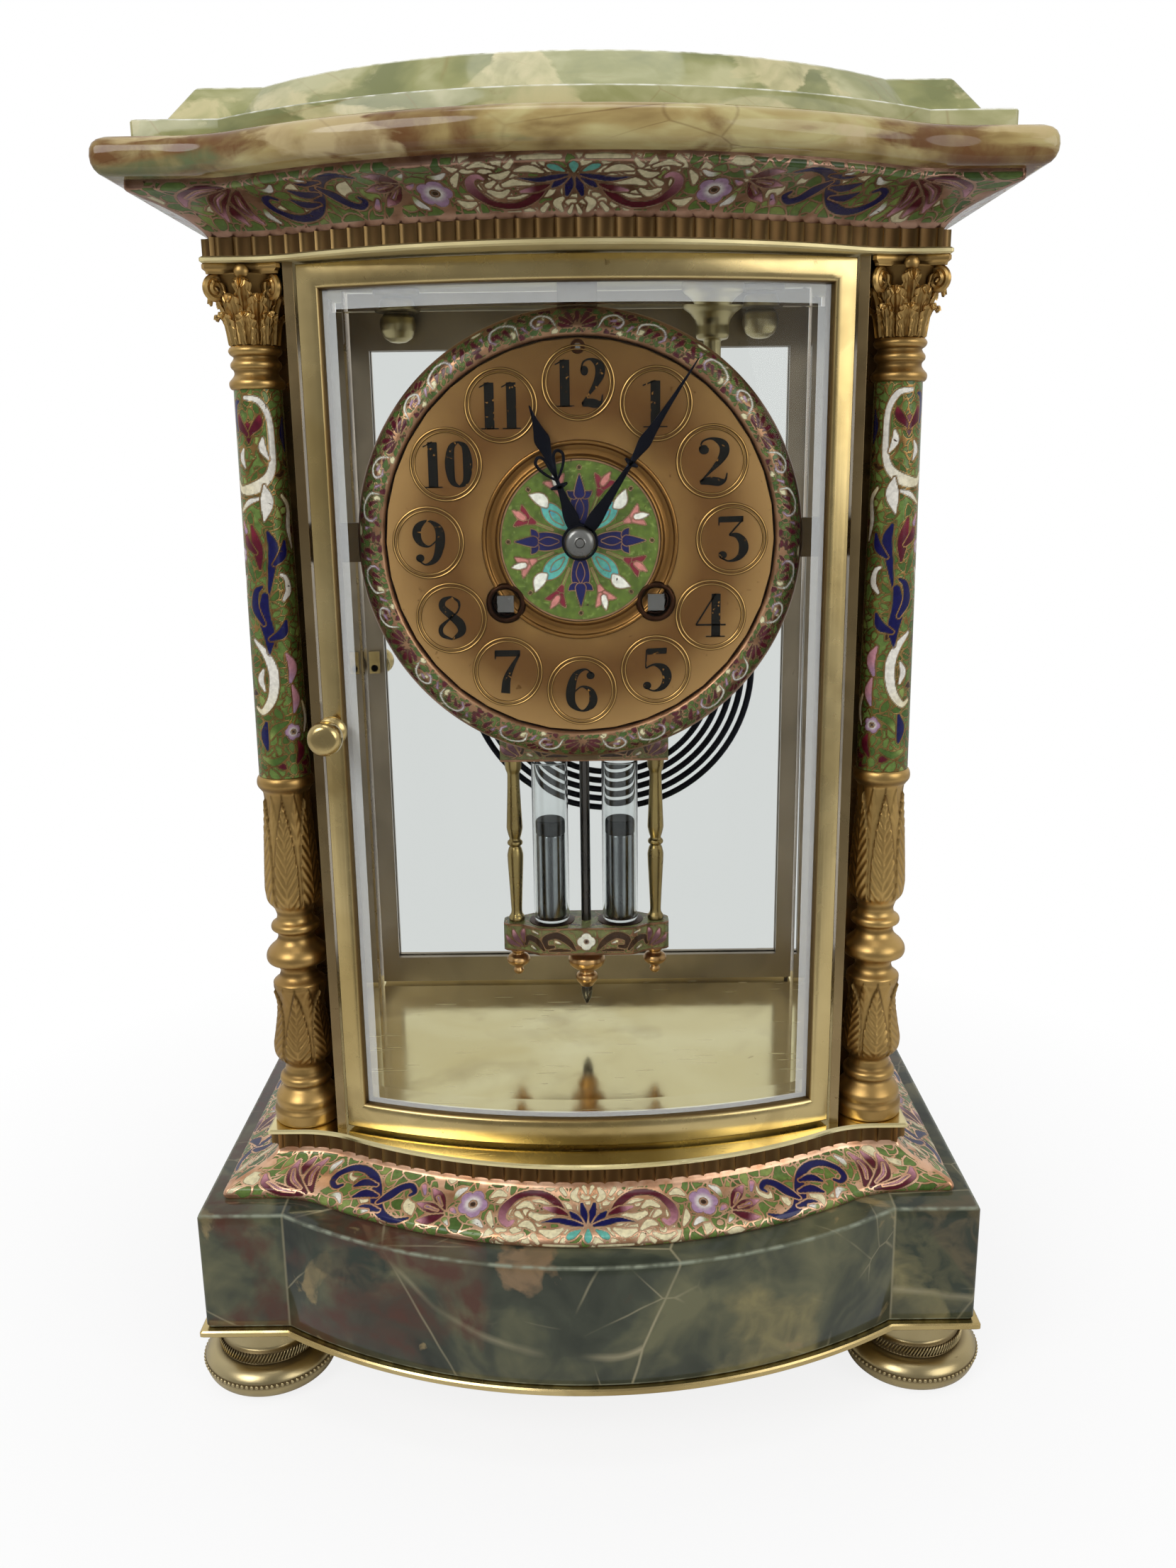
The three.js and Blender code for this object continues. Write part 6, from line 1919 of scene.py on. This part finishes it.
@dataclass(frozen=True)
class RearDoor:
    """The flat rear door with its pane and catch."""

    knob: Station = (-70.2, 67.3, 190.0)
    tongue: Station = (1.8, 188.2, 195.6)

    def build(self) -> None:
        """Makes the door's pieces."""
        # Painted shade: the rear frame takes the darker brass.
        dress(refined("rear_door_frame", SHADED_REAR_BRASS, 0.4), "rear_door", "brass", "rear_door_frame")
        low, high = box_of("rear_glass")
        place = lambda u, z, d: np.stack([u, high[1] - d, z], -1)
        glass = Pane(low[0], high[0], low[2], high[2], place).glass()
        fit("rear_pane", glass, GLASS, "rear_door", "glass", "rear_glass", crease=3)
        x, y, z = self.knob
        knob, faces = turned_knob()
        rear = np.stack([x + knob[:, 0], y + knob[:, 2], z + knob[:, 1]], -1)
        (_, inner, _), _ = box_of("rear_knob")
        half, bottom, top = self.tongue
        shape = joined([(rear, faces), rod((x, inner, z), (x, y + 1, z), 1.2),
                        block((x - half, inner, bottom), (x + half, inner + half, top))])
        fit("rear_catch_turned", shape, BRASS, "rear_catch", "brass", "rear_knob")


# Dial and hands


def ball(x: float, y: float, radius: float) -> Line:
    """A round end of a numeral, as a stroke."""
    spread = (-0.99, -0.85, -0.5, 0.0, 0.5, 0.85, 0.99)
    return tuple((x + radius * a, y, radius * math.sqrt(1 - a * a)) for a in spread)


# Strokes of each figure, one high, with semicolons between them. A single station is a ball.
DIGITS: dict[str, str] = {
    "0":
        ".28,.985,.02 .13,.86,.06 .08,.5,.088 .13,.14,.06 .28,.015,.02;.28,.985,.02 .43,.86,.06 .48,.5,.088 "
        ".43,.14,.06 .28,.015,.02",
    "1": ".27,0,.088 .27,.98,.088;.27,.985,.018 .06,.88,.014;.07,.014,.014 .47,.014,.014",
    "2":
        ".14,.75,.085;.07,.76,.02 .12,.93,.02 .28,.985,.03 .45,.87,.08 .48,.7,.088 .4,.5,.06 .24,.27,.03 .08,.05,.02;"
        ".08,.05,.04 .24,.08,.075 .4,.06,.075 .5,.1,.03 .53,.25,.014",
    "3":
        ".07,.93,.055 .47,.94,.055;.06,.98,.014 .06,.8,.014;.47,.94,.02 .24,.6,.018;.23,.59,.02 .36,.58,.05 "
        ".46,.45,.082 .48,.27,.088 .4,.09,.05 .24,.015,.022 .09,.1,.02;.13,.15,.072",
    "4": ".37,0,.085 .37,.98,.085;.36,.98,.018 .03,.28,.018;.03,.28,.02 .54,.28,.02;.2,.014,.014 .53,.014,.014",
    "5":
        ".13,.92,.058 .47,.94,.058;.12,.97,.016 .105,.55,.016;.105,.54,.018 .25,.62,.03 .41,.54,.078 .475,.34,.088 "
        ".41,.12,.06 .26,.015,.022 .1,.08,.02;.13,.14,.072",
    "6":
        ".46,.88,.02 .34,.985,.022 .17,.86,.06 .085,.52,.088 .1,.2,.075 .27,.02,.022 .43,.13,.065 .475,.31,.08 "
        ".42,.5,.055 .28,.585,.02 .15,.47,.018;.43,.84,.072",
    "7": ".07,.92,.06 .5,.92,.06;.07,.98,.014 .07,.79,.014;.49,.9,.022 .36,.62,.045 .26,.32,.075 .23,0,.088",
    "8":
        ".28,.985,.02 .15,.9,.05 .13,.74,.065 .28,.55,.075 .42,.37,.088 .44,.18,.07 .28,.015,.02;.28,.015,.02 "
        ".11,.12,.04 .1,.3,.04 .26,.5,.02 .39,.66,.02 .41,.86,.03 .28,.985,.02",
}


def figure(digit: str) -> list[Line]:
    """The strokes of a numeral's figure, the nine from a turned six.

    Args:
        digit: The figure.

    Returns:
        Its strokes, one high.
    """
    if digit == "9":
        return [tuple((.56 - x, 1 - y, w) for x, y, w in line) for line in figure("6")]
    return [line if len(line) > 1 else ball(*line[0]) for line in map(stations, DIGITS[digit].split(";"))]


@dataclass(frozen=True)
class Dial:
    """The dial: bezel, gilt plate, plaques, numerals, enamelled middle and eyelets."""

    centre: Station = (0.0, -34.8, 236.9)
    bezel_profile: Line = stations(
        "50.1,-3.4 57.5,-3.4 57.3,-2.4 56.7,-1.5 55.6,-.4 54,.7 52.4,1.15 51.2,1.2 50.5,.95 50.1,.4")
    bezel_period: float = 56.3
    plate_radius: float = 49.7
    plaques: float = 38.9
    plaque_rings: Line = stations("8.95,.22 8.05,.17")
    plaque_wire: Line = stations("-1.5,-.1 -1.4,.03 -1,.08 -.6,.3 0,.36 .6,.3 1,.08 1.4,.03 1.5,-.1")
    numeral_height: float = 11.5
    numeral_weight: float = 1.2
    hollow_ring: Line = stations(
        "20.6,0 20.6,1.2 20.9,1.35 21.3,1.1 21.8,.6 22.9,.35 23.9,.6 24.3,1.05 24.7,1.2 25.1,1 25.3,0")
    hollow_middle: float = 22.9
    enamel_reach: Point = (3.7, 20.5)
    eyelets: Line = stations("-19.4,-15.7 19.4,-15.7")
    eyelet_profile: Line = stations("3.5,-2.6 3.5,.6 3.8,1.3 4.3,1.5 4.9,1.3 5.25,.4 5.25,-.1 4.8,-.1 4.8,-2.6")
    # The sleeves are dark tubes behind the winding holes, painted shade.
    sleeve_profile: Line = stations("3.05,-5.6 3.5,-5.6 3.5,-2.9 5,-2.9 5,-2.5 3.05,-2.5")
    regulator_y: float = 47.6
    regulator_profile: Line = stations(".95,-.2 .95,.3 1.7,.3 1.9,-.2")
    regulator_half: float = 0.6

    def build(self) -> None:
        """Makes the dial's pieces."""
        self.bezel()
        self.plate()
        self.numerals()
        self.middle()
        self.winding()

    def bezel(self, steps: int = 1080) -> None:
        """Turns and paints the enamelled bezel.

        Args:
            steps: Points round it.
        """
        profile = resample(rounded(self.bezel_profile, 0.4), 0.3)
        face = lengths(profile)
        inwards = np.repeat(face[-1] - face, steps)
        angle = np.tile(angles(steps), len(profile))
        period = self.bezel_period
        around = ((angle - math.pi / 2) / math.tau * 6 * period + period / 2) % period - period / 2
        picture = Painting(around, (inwards - 0.5) / 0.88, 0.19, 0.12)
        picture.ground("leaf", 31, 0.03, 2.4)
        picture.bare(ease(lattice_noise(around, inwards, 1.5, 71), 0.5, 0.56))
        picture.foliage(BEZEL_LEAVES, 31, 1.9, 0.66)
        picture.bare(np.maximum(1 - ease(inwards, 0.8, 1.1), ease(inwards, 7.4, 7.7)))
        picture.mirrored(BEZEL_CELLS)
        picture.strokes(BEZEL_MIDDLE)
        picture.glaze *= 0.85
        shape = facing(lathe(profile, steps, True), self.centre)
        fit("dial_bezel_enamel", shape, BEZEL_ENAMEL, "case", "enamel", "dial_bezel", **picture.values())

    def plate(self) -> None:
        """Gilds the plate and sets the ring round its middle and the plaques' rings."""
        gilding = DialFinish("dial_gilding", tuple(v * MM for v in self.centre), self.plate_radius * MM)
        dress(refined("dial_plate", gilding, 0.15), "case", "dial_gilt", "dial_plate")
        ring = lathe(rounded(self.hollow_ring, 0.15), 160, True)
        away = np.abs(np.hypot(ring[0][:, 0], ring[0][:, 1]) - self.hollow_middle)
        # Painted shade: the ring darkens in its hollow.
        dark = 0.45 * (1 - ease(away, 0.4, 1.3))
        fit("dial_hollow_ring", facing(ring, self.centre), HOLLOW_GILT, "case", "dial_gilt", recess=dark)
        path, _ = facing((ring_path(self.plaques, (0, 0, 0.1), 120) @ spin(math.pi / 2), []), self.centre)
        # Painted shade: the plaque rings darken on their skirts.
        dark = lambda p: 0.9 * (1 - ease(-p[:, 1], 0.05, 0.2))
        for i, (radius, half) in enumerate(self.plaque_rings):
            wire = [(radius + half * share, rise) for share, rise in self.plaque_wire]
            ring = facing(lathe(wire, 72, True), (0, 0, 0))
            rings = copies_along(f"dial_plaque_rings_{i}", path, ring, 12, HIGHLIT_PLAQUE_GILT, dark, 0.0)
            dress(rings, "case", "dial_gilt")

    def numerals(self) -> None:
        """Paints the hours, upright, on their plaques."""
        shapes = []
        size = self.numeral_height
        for hour in range(1, 13):
            angle = math.pi / 2 - hour * math.pi / 6
            digits = str(hour)
            wide = 1.32 if len(digits) == 1 else 1.0
            advance = size * (0.48 if digits == "11" else 0.56)
            for i, digit in enumerate(digits):
                x = self.plaques * math.cos(angle) - 0.28 * size * wide + (i - (len(digits) - 1) / 2) * advance
                y = self.plaques * math.sin(angle) - size / 2
                for line in figure(digit):
                    spots = [(x + a * size * wide, y + b * size, w * size * (self.numeral_weight if w > 0.03 else 1))
                             for a, b, w in line]
                    shapes.append(ribbon(spots, 0.12))
        shape = facing(moved(joined(shapes), (0, 0, 0.02)), self.centre)
        fit("dial_numerals", shape, INK, "case", "dial_gilt", crease=30)

    def middle(self) -> None:
        """Paints the enamelled middle: petals, leaves and buds in a star."""
        near, far = self.enamel_reach
        shape = lathe([(near, 0.3), *((r, 1.1) for r in np.linspace(near, far, 84)), (far, 0.3)], 420, True)
        x, y, _ = shape[0].T
        picture = Painting(x.copy(), y.copy(), 0.22, 0.12)
        picture.ground("lime", 47, 0.0, 2.6)
        petal = cells(
            "navy", "0,4,.9 0,6.4,1.9 0,9.2,2.3 0,11.2,1.7 0,12,1;.4,11.8,.8 1.8,11.6,.9 3,12.4,.2;"
            "-.4,11.8,.8 -1.8,11.6,.9 -3,12.4,.2;0,12,1.3 0,13.6,1 0,16.6,.15;0,5.8,.3 0,8.2,1 0,10.4,.2")
        leaf = (*cells("turquoise sky", "0,4.8,.7 0,7.6,1.9 0,10,2.2 0,12,1.3 0,12.8,.4;0,6.2,.25 0,8.6,.9 0,10.6,.2"),
                *cells("white", ".3,12.4,.5 .5,14.4,1.5 -.7,17.2,.2"))
        stem = cells("moss", "0,7.5,.12 0,12,.25")
        bell = "0,12.6,.5 0,14.2,1 0,15.8,1.3;-.6,14.8,.7 -1.6,16.2,.7 -2.7,17,.15;.6,14.8,.7 1.6,16.2,.7 2.7,17,.15"
        tongue = "0,15.6,.7 .3,17,.8 .7,18.7,.15"
        bells = [(*cells(body, bell), *cells(tip, tongue)) for body, tip in (("coral", "white"), ("crimson", "coral"))]
        dots = cells("brown", "0,18.3,.4 0,18.5,.4")
        for k in range(8):
            picture.strokes((*stem, *bells[k % 2]), turn=math.pi / 8 + k * math.pi / 4)
            picture.strokes((*(leaf if k % 2 else petal), *dots), turn=k * math.pi / 4)
        picture.bare(ease(np.hypot(x, y), 20.0, 20.2))
        shape = facing(shape, self.centre)
        fit("dial_middle_enamel", shape, BEZEL_ENAMEL, "case", "enamel", "dial_centre", **picture.values())

    def winding(self) -> None:
        """Rings the winding holes and the regulator's hole, sets dark sleeves behind the winding holes as painted
        shade, and shapes the square in the last.
        """
        eyelet, sleeve = lathe(rounded(self.eyelet_profile, 0.2), 72, True), lathe(self.sleeve_profile, 40, True)
        regulator = lathe(self.regulator_profile, 36, True)
        shapes = [moved(eyelet, (x, y, 0)) for x, y in self.eyelets]
        shapes.append(moved(regulator, (0, self.regulator_y, 0)))
        shapes += [moved(sleeve, (x, y, 0)) for x, y in self.eyelets]
        fit("dial_eyelets", facing(joined(shapes), self.centre), EYELET, "case", "brass")
        y, half = self.regulator_y, self.regulator_half
        square = block((-half, y - half, -0.1), (half, y + half, 0.25))
        fit("dial_regulator_square", facing(square, self.centre), STEEL, "case", "steel")


@dataclass(frozen=True)
class Hands:
    """The pierced hands and the collet that holds them."""

    hour_turn: float = 20.0
    minute_turn: float = -33.9
    hour_z: float = 3.0
    minute_z: float = 6.0
    hour_hole: float = 2.9
    minute_hole: float = 1.9
    thick: float = 0.9
    hour_strokes: str = (
        "0,3,1.5 0,6.6,1.9 0,11,1.1 0,15,.7;-2.3,14.8,.3 0,14.6,.7 2.3,14.8,.3;0,15,.5 0,19,.55 0,21.4,.75 "
        "0,24.2,1.4 0,26.8,2 0,29.4,1.3 0,32.4,.6 0,35.6,.2;0,16.2,.3 -1.6,17.8,.33 -3.1,20,.36 -3.6,22,.4 "
        "-2.5,23.1,.4 -1.3,22.2,.36 -.7,19.6,.33 0,16.6,.3;0,16.2,.3 1.6,17.8,.33 3.1,20,.36 3.6,22,.4 2.5,23.1,.4 "
        "1.3,22.2,.36 .7,19.6,.33 0,16.6,.3")
    minute_strokes: str = (
        "0,3,1.3 0,6.8,1.85 0,13,1.2 0,20,.7 0,23.6,.6;-1.9,23.4,.3 0,23.2,.75 1.9,23.4,.3;0,23.4,.6 0,26,1 "
        "0,29.2,1.6 0,32.4,1.25 0,37,.8 0,44,.45 0,53,.15")
    collet_profile: Line = stations("0,7.2 3.9,7.2 4,7.9 3.7,8.8 2.9,9.4 1.2,9.7 1.1,10.2 0,10.3")
    boss: float = 4.6

    def build(self) -> None:
        """Cuts the hands and turns the collet."""
        self.hand("hour", "hour_pipe", self.hour_strokes, self.hour_turn, self.hour_z, self.hour_hole)
        self.hand("minute", "minute_arbor", self.minute_strokes, self.minute_turn, self.minute_z, self.minute_hole)
        collet = facing(lathe(resample(rounded(self.collet_profile, 0.5), 0.25), 64), Dial.centre)
        fit("hand_collet_turned", collet, STEEL, "minute_arbor", "steel", "hand_collet")

    def hand(self, name: str, body: str, strokes: str, turn: float, z: float, hole: float) -> None:
        """Cuts one hand and turns it to the time shown.

        Args:
            name: Hour or minute.
            body: The body that it moves with.
            strokes: Its strokes, with semicolons between them.
            turn: Its angle from twelve, in degrees.
            z: Its height over the dial.
            hole: Radius of its hole.
        """
        boss = lathe([(hole, 0), (self.boss, 0), (self.boss, self.thick), (hole, self.thick)], 48, True)
        bars = [ribbon(stations(stroke), self.thick, 8) for stroke in strokes.split(";")]
        points, faces = joined([boss, *bars])
        shape = facing((points @ spin(math.radians(turn)) + (0, 0, z), faces), Dial.centre)
        piece = make(f"{name}_hand_cut", shape, BLUED, 30)
        dress(softened(piece, 0.12, 1), body, "blued_steel", f"{name}_hand")


@dataclass(frozen=True)
class Pendulum:
    """The pendulum with its enamelled tray and bridge, two jars of mercury, pillars and nut."""

    y: float = 20.0
    nut: Line = stations(
        "0,91.2 2,91.3 2.4,92.2 3.2,93 3.6,94.2 3.3,95.4 2.5,96 2.3,96.6 2.7,97.2 4.3,97.8 5.6,99 6,100.5 5.5,102 "
        "4.2,102.9 3.6,103.4 4,103.8 4,104.7 0,104.7")
    pointer: Line = stations("0,84.7 .6,85.6 1.3,87 1.7,88.6 1.7,91.4 0,91.4")
    finial: Line = stations(
        "0,95.5 1.1,95.8 1.85,97 1.2,98.1 1.6,98.6 3.2,99.4 3.85,100.7 3.3,102 2,102.8 1.9,103.3 2.4,103.7 2.4,105 "
        "0,105")
    finial_x: float = 22.0
    pillar: Line = stations(
        "0,114 2.55,114 2.55,115.4 1.9,116.2 1.7,117.2 2,124 2.45,133 2.55,136 2.1,138.1 1.6,138.9 2.4,139.4 "
        "2.45,140.4 1.6,141.1 2.1,142.6 2.55,144.8 2.4,148 2,157 1.85,162.4 2.5,164 2.6,165.4 2.6,167 0,167")
    pillar_x: float = 22.2
    jar_x: float = 10.95
    jar: Line = stations(
        "0,114.35 5.2,114.35 5.65,114.9 5.65,166.2 5.35,166.6 5.05,166.2 5.05,115.6 4.6,115.1 0,115.1")
    mercury: Line = stations("0,115.4 4.2,115.4 4.6,116 4.6,143 0,143")
    skin: Line = stations("0,143 4.7,143 4.7,147 4.3,147.5 0,147.3")
    seat: Line = stations("0,113.6 7.2,113.6 7.2,114.2 6.9,114.3 0,114.3")
    tray_plan: Line = stations("0,8.5 13,8.5 15.5,7.8 17.5,6.3 20,4.8 23,4.1 25.2,3.5 26.3,2.2")
    tray_heights: Point = (105.0, 114.0)
    bridge_plan: Line = stations("0,4 24.8,4 25.5,3.7 25.9,3")
    bridge_heights: Point = (167.0, 176.0)
    rod: Line = stations("0,97 1.55,97 1.55,263 0,263")
    cleat_half: Point = (2.4, 1.6)
    cleat_heights: Point = (262.6, 266.0)
    spring_half: Point = (2.0, 0.25)
    spring_heights: Point = (265.8, 271.0)

    def build(self) -> None:
        """Makes the pendulum's pieces."""
        self.turned("rating_nut_turned", self.nut, 0, ROSE_BRASS, "brass", "rating_nut")
        shapes = [moved(lathe(self.rod, 28), (0, self.y, 0))]
        for (x, y), (low, high) in ((self.cleat_half, self.cleat_heights), (self.spring_half, self.spring_heights)):
            shapes.append(block((-x, self.y - y, low), (x, self.y + y, high)))
        fit("pendulum_rod_round", joined(shapes), DARK_STEEL, "pendulum", "steel", "pendulum_rod")
        self.turned("rating_nut_pointer", self.pointer, 0, DARK_STEEL, "steel")
        self.bar("pendulum_tray_enamel", "pendulum_tray", self.tray_plan, self.tray_heights)
        self.bar("pendulum_bridge_enamel", "pendulum_yoke", self.bridge_plan, self.bridge_heights)
        for side in Side:
            word, jar_x = side.word, side.value * self.jar_x
            self.turned(f"tray_finial_{word}", self.finial, side.value * self.finial_x, ROSE_BRASS, "brass")
            self.turned(f"pendulum_pillar_{word}", self.pillar, side.value * self.pillar_x, PILLAR_BRASS, "brass")
            self.turned(f"jar_{word}_glass", self.jar, jar_x, JAR_GLASS, "glass", f"jar_{word}")
            self.turned(f"mercury_{word}_fill", self.mercury, jar_x, MERCURY, "mercury", f"mercury_{word}")
            self.turned(f"mercury_{word}_skin", self.skin, jar_x, SLUDGE, "mercury")
            fit(f"jar_{word}_seat", moved(lathe(self.seat, 40), (jar_x, self.y, 0)), EYELET, "pendulum", "brass")

    def turned(self, name: str, profile: Line, x: float, finish: Finish, slot: str, *nodes: str) -> None:
        """Turns one upright piece, with painted reflection streaks on it if it is mercury.

        Args:
            name: The piece's name.
            profile: Its radii and heights.
            x: Where it stands.
            finish: What covers it.
            slot: Its material slot.
            *nodes: Solids that it takes the place of.
        """
        shape = lathe(rounded(profile, 0.5), 56)
        streaks = {}
        # Painted reflection: dark upright streaks round the mercury stand for what it mirrors.
        if finish is MERCURY:
            angle = np.arctan2(shape[0][:, 1], shape[0][:, 0])
            streaks = {"recess": 0.9 * ease(np.cos(9 * angle + 1.6 * np.sin(3 * angle)), -0.1, 0.7)}
        fit(name, moved(shape, (x, self.y, 0)), finish, "pendulum", slot, *nodes, **streaks)

    def bar(self, name: str, node: str, plan: Line, heights: Point, rows: int = 34, lid: int = 24) -> None:
        """Makes an enamelled bar, painted on its faces and its top.

        Args:
            name: The piece's name.
            node: The solid that it takes the place of.
            plan: Half depths along half of it.
            heights: Its bottom and its top.
            rows: Points up each face.
            lid: Points across the top.
        """
        low, high = heights
        half = plan[-1][0]
        across = np.linspace(-half, half, 280)
        depth = np.interp(np.abs(across), *smooth_line(plan, 6).T)
        rise = np.linspace(0, 1, rows)
        side = np.concatenate([np.full(rows, -1.0), np.linspace(-1, 1, lid + 2)[1:-1], np.full(rows, 1.0)])
        up = np.concatenate([rise, np.ones(lid), rise[::-1]]) * (high - low)
        rings, places = [], []
        for x, thin in zip(across, depth):
            rings.append(np.column_stack([np.full(len(side), x), self.y + side * thin, low + up]))
            over = np.where(np.abs(side) < 1, (side + 1) * thin, 0)
            places.append(np.column_stack([np.full(len(side), x), up + over]))
        x, y = np.vstack(places).T
        picture = Painting(x, y, 0.26, 0.14)
        picture.ground("olive", 59, 0.05, 2.2)
        picture.bare(np.maximum(1 - ease(y, 0.5, 0.8), 1 - ease(np.abs(y - high + low), 0.4, 0.7)))
        picture.mirrored(TRAY_CELLS)
        picture.flower((0, (high - low) / 2), 2.9, 4, "white")
        fit(name, loft(rings), BEZEL_ENAMEL, "pendulum", "enamel", node, **picture.values())


@dataclass(frozen=True)
class Gong:
    """The coil gong and the turned post that hangs it."""

    centre: Station = (7.7, 36.5, 191.7)
    outer: float = 45.8
    pitch: float = 3.0
    turns: int = 5
    wire: float = 1.0
    tail: float = 40.0
    tail_points: int = 8
    post_x: float = 40.0
    post: Line = stations(
        "0,239 2.6,239 2.6,291.4 4.6,291.8 5,292.8 4.9,295.6 5.4,297.4 6.8,299.2 8.6,300.4 9.2,301.2 9.2,303.7 "
        "0,303.7")
    arm_x: Point = (36.0, 57.0)
    arm_half: float = 3.5
    arm_heights: Point = (231.8, 240.5)

    def build(self) -> None:
        """Winds the coil and turns the post with its arm."""
        x, y, z = self.centre
        turns = np.linspace(0, self.turns, self.turns * 96 + 1)
        radius, angle = self.outer - self.pitch * turns, -math.tau * turns
        coil = np.stack([x + radius * np.cos(angle), np.full(len(turns), y), z + radius * np.sin(angle)], -1)
        tail = np.linspace((x + self.outer, y, z + self.tail), (x + self.outer, y, z + 1.5), self.tail_points)
        shape = tube(np.vstack([tail, coil]), self.wire, 12)
        fit("gong_coil_wound", shape, BLUED, "case", "blued_steel", "gong_coil")
        (left, right), (low, high), half = self.arm_x, self.arm_heights, self.arm_half
        shape = joined([moved(lathe(rounded(self.post, 0.5), 64), (self.post_x, y, 0)),
                        block((left, y - half, low), (right, y + half, high))])
        fit("gong_post_turned", shape, POST_BRASS, "case", "brass", "gong_post")


SLOT_FINISHES: dict[str, Finish] = {
    "brass": BRASS, "gilt_brass": GILT, "movement_brass": MOVEMENT_BRASS, "steel": STEEL, "blued_steel": BLUED,
    "mercury": MERCURY, "glass": GLASS}
# Painted shade: the movement's bracket and its front plate behind the dial take a dark brass.
NODE_FINISHES: dict[str, Finish] = {"movement_bracket": SHADED_BRACKET_BRASS, "front_plate": SHADED_BRACKET_BRASS}


def finish_solids() -> None:
    """Gives the solids that still show a procedural finish by their slot."""
    for name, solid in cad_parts.items():
        if solid.hide_render or not solid.material_slots:
            continue
        slot = solid.material_slots[0].material.name.split(".")[0]
        finish = NODE_FINISHES.get(name, SLOT_FINISHES.get(slot))
        if finish is None:
            LOG.warning("%s keeps the material %s", name, slot)
        else:
            solid.material_slots[0].material = finish.material()


@dataclass(frozen=True)
class Lamp:
    """A round soft lamp, aimed at a place."""

    name: str
    at: Station
    aim: Station
    size: float
    power: float

    def build(self) -> None:
        """Hangs the lamp."""
        lamp = bpy.data.lights.new(self.name, "AREA")
        lamp.shape, lamp.size, lamp.energy = "DISK", self.size * MM, self.power
        holder = linked(self.name, lamp)
        holder.location = Vector(self.at) * MM
        holder.rotation_euler = (Vector(self.aim) - Vector(self.at)).to_track_quat("-Z", "Y").to_euler()


@dataclass(frozen=True)
class Studio:
    """The pale floor, the white world, soft lamps and the camera, with the photo's angles in degrees."""

    viewpoint: Station = (2.2, -374.0, 257.1)
    pitch: float = 14.04
    yaw: float = -0.16
    roll: float = -0.71
    focal: float = 1828.8
    image_height: float = 2212
    sensor: float = 36.0
    floor_half: float = 2500.0
    floor_front: float = -330.0
    floor_z: float = -0.15
    behind_glass: float = 0.74
    soft_light: float = 0.42
    lamps: tuple[Lamp, ...] = (
        Lamp("key", (-620, -820, 900), (0, 0, 180), 620, 6.5),
        Lamp("fill", (760, -700, 560), (0, 0, 180), 700, 3.5),
        Lamp("crown", (0, -120, 1150), (0, 0, 330), 500, 2.0),
    )

    def build(self) -> None:
        """Sets the studio up."""
        bpy.context.scene.view_settings.view_transform = "Standard"
        self.world()
        left, right, front, back, z = -self.floor_half, self.floor_half, self.floor_front, self.floor_half, self.floor_z
        corners = np.array([(left, front, z), (right, front, z), (right, back, z), (left, back, z)])
        make("pale_floor", (corners, [[0, 1, 2, 3]]), FloorFinish("pale_floor", self.behind_glass))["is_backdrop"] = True
        for lamp in self.lamps:
            lamp.build()
        self.camera()

    def world(self) -> None:
        """White for the camera, greyer through glass, dimmer in front for mirrors, and an even soft light."""
        world = bpy.data.worlds.new("studio")
        bpy.context.scene.world = world
        s = Sheet(world)
        ahead = s.add("SeparateXYZ", "Y", {0: s.place.node.outputs["Generated"]})
        path = s.add("LightPath", 0, {}).node
        strength = self.soft_light
        mirrored = s.ranged(ahead, -0.75, 0.35, 0.24, 0.85)
        for ray, value in (("Glossy", mirrored), ("Transmission", self.behind_glass), ("Camera", 1.0)):
            strength = s.add("Mix", 0, {0: path.outputs[f"Is {ray} Ray"], 2: strength, 3: value})
        background = s.nodes["Background"]
        s.put(background.inputs["Color"], (1.0, 1.0, 1.0))
        s.put(background.inputs["Strength"], strength)

    def camera(self) -> None:
        """Puts the camera where the photograph was taken from."""
        pitch, yaw, roll = map(math.radians, (self.pitch, self.yaw, self.roll))
        ahead = Vector((math.sin(yaw) * math.cos(pitch), math.cos(yaw) * math.cos(pitch), -math.sin(pitch)))
        right = Vector((math.cos(yaw), -math.sin(yaw), 0.0))
        up = right.cross(ahead)
        x = right * math.cos(roll) + up * math.sin(roll)
        y = up * math.cos(roll) - right * math.sin(roll)
        data = bpy.data.cameras.new("photograph")
        data.sensor_width = self.sensor
        data.lens = self.focal / self.image_height * self.sensor
        data.clip_start = 0.01
        holder = linked("photograph", data)
        turn = Matrix((x, y, -ahead)).transposed().to_4x4()
        holder.matrix_world = Matrix.Translation(Vector(self.viewpoint) * MM) @ turn
        bpy.context.scene.camera = holder


def main() -> None:
    """Builds every piece and the studio, and works out the boxes of the solids and of the looks."""
    logging.basicConfig(level=logging.INFO, format="%(name)s: %(message)s")
    Case().build()
    for side in Side:
        Column(side).build()
    for part in (FrontDoor(), RearDoor(), Dial(), Hands(), Pendulum(), Gong()):
        part.build()
    finish_solids()
    Studio().build()
    boxes = {"cad": CAD_BOX, "looks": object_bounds()}
    {name: [list(corner) for corner in box] for name, box in boxes.items()}


if __name__ == "__main__":
    main()
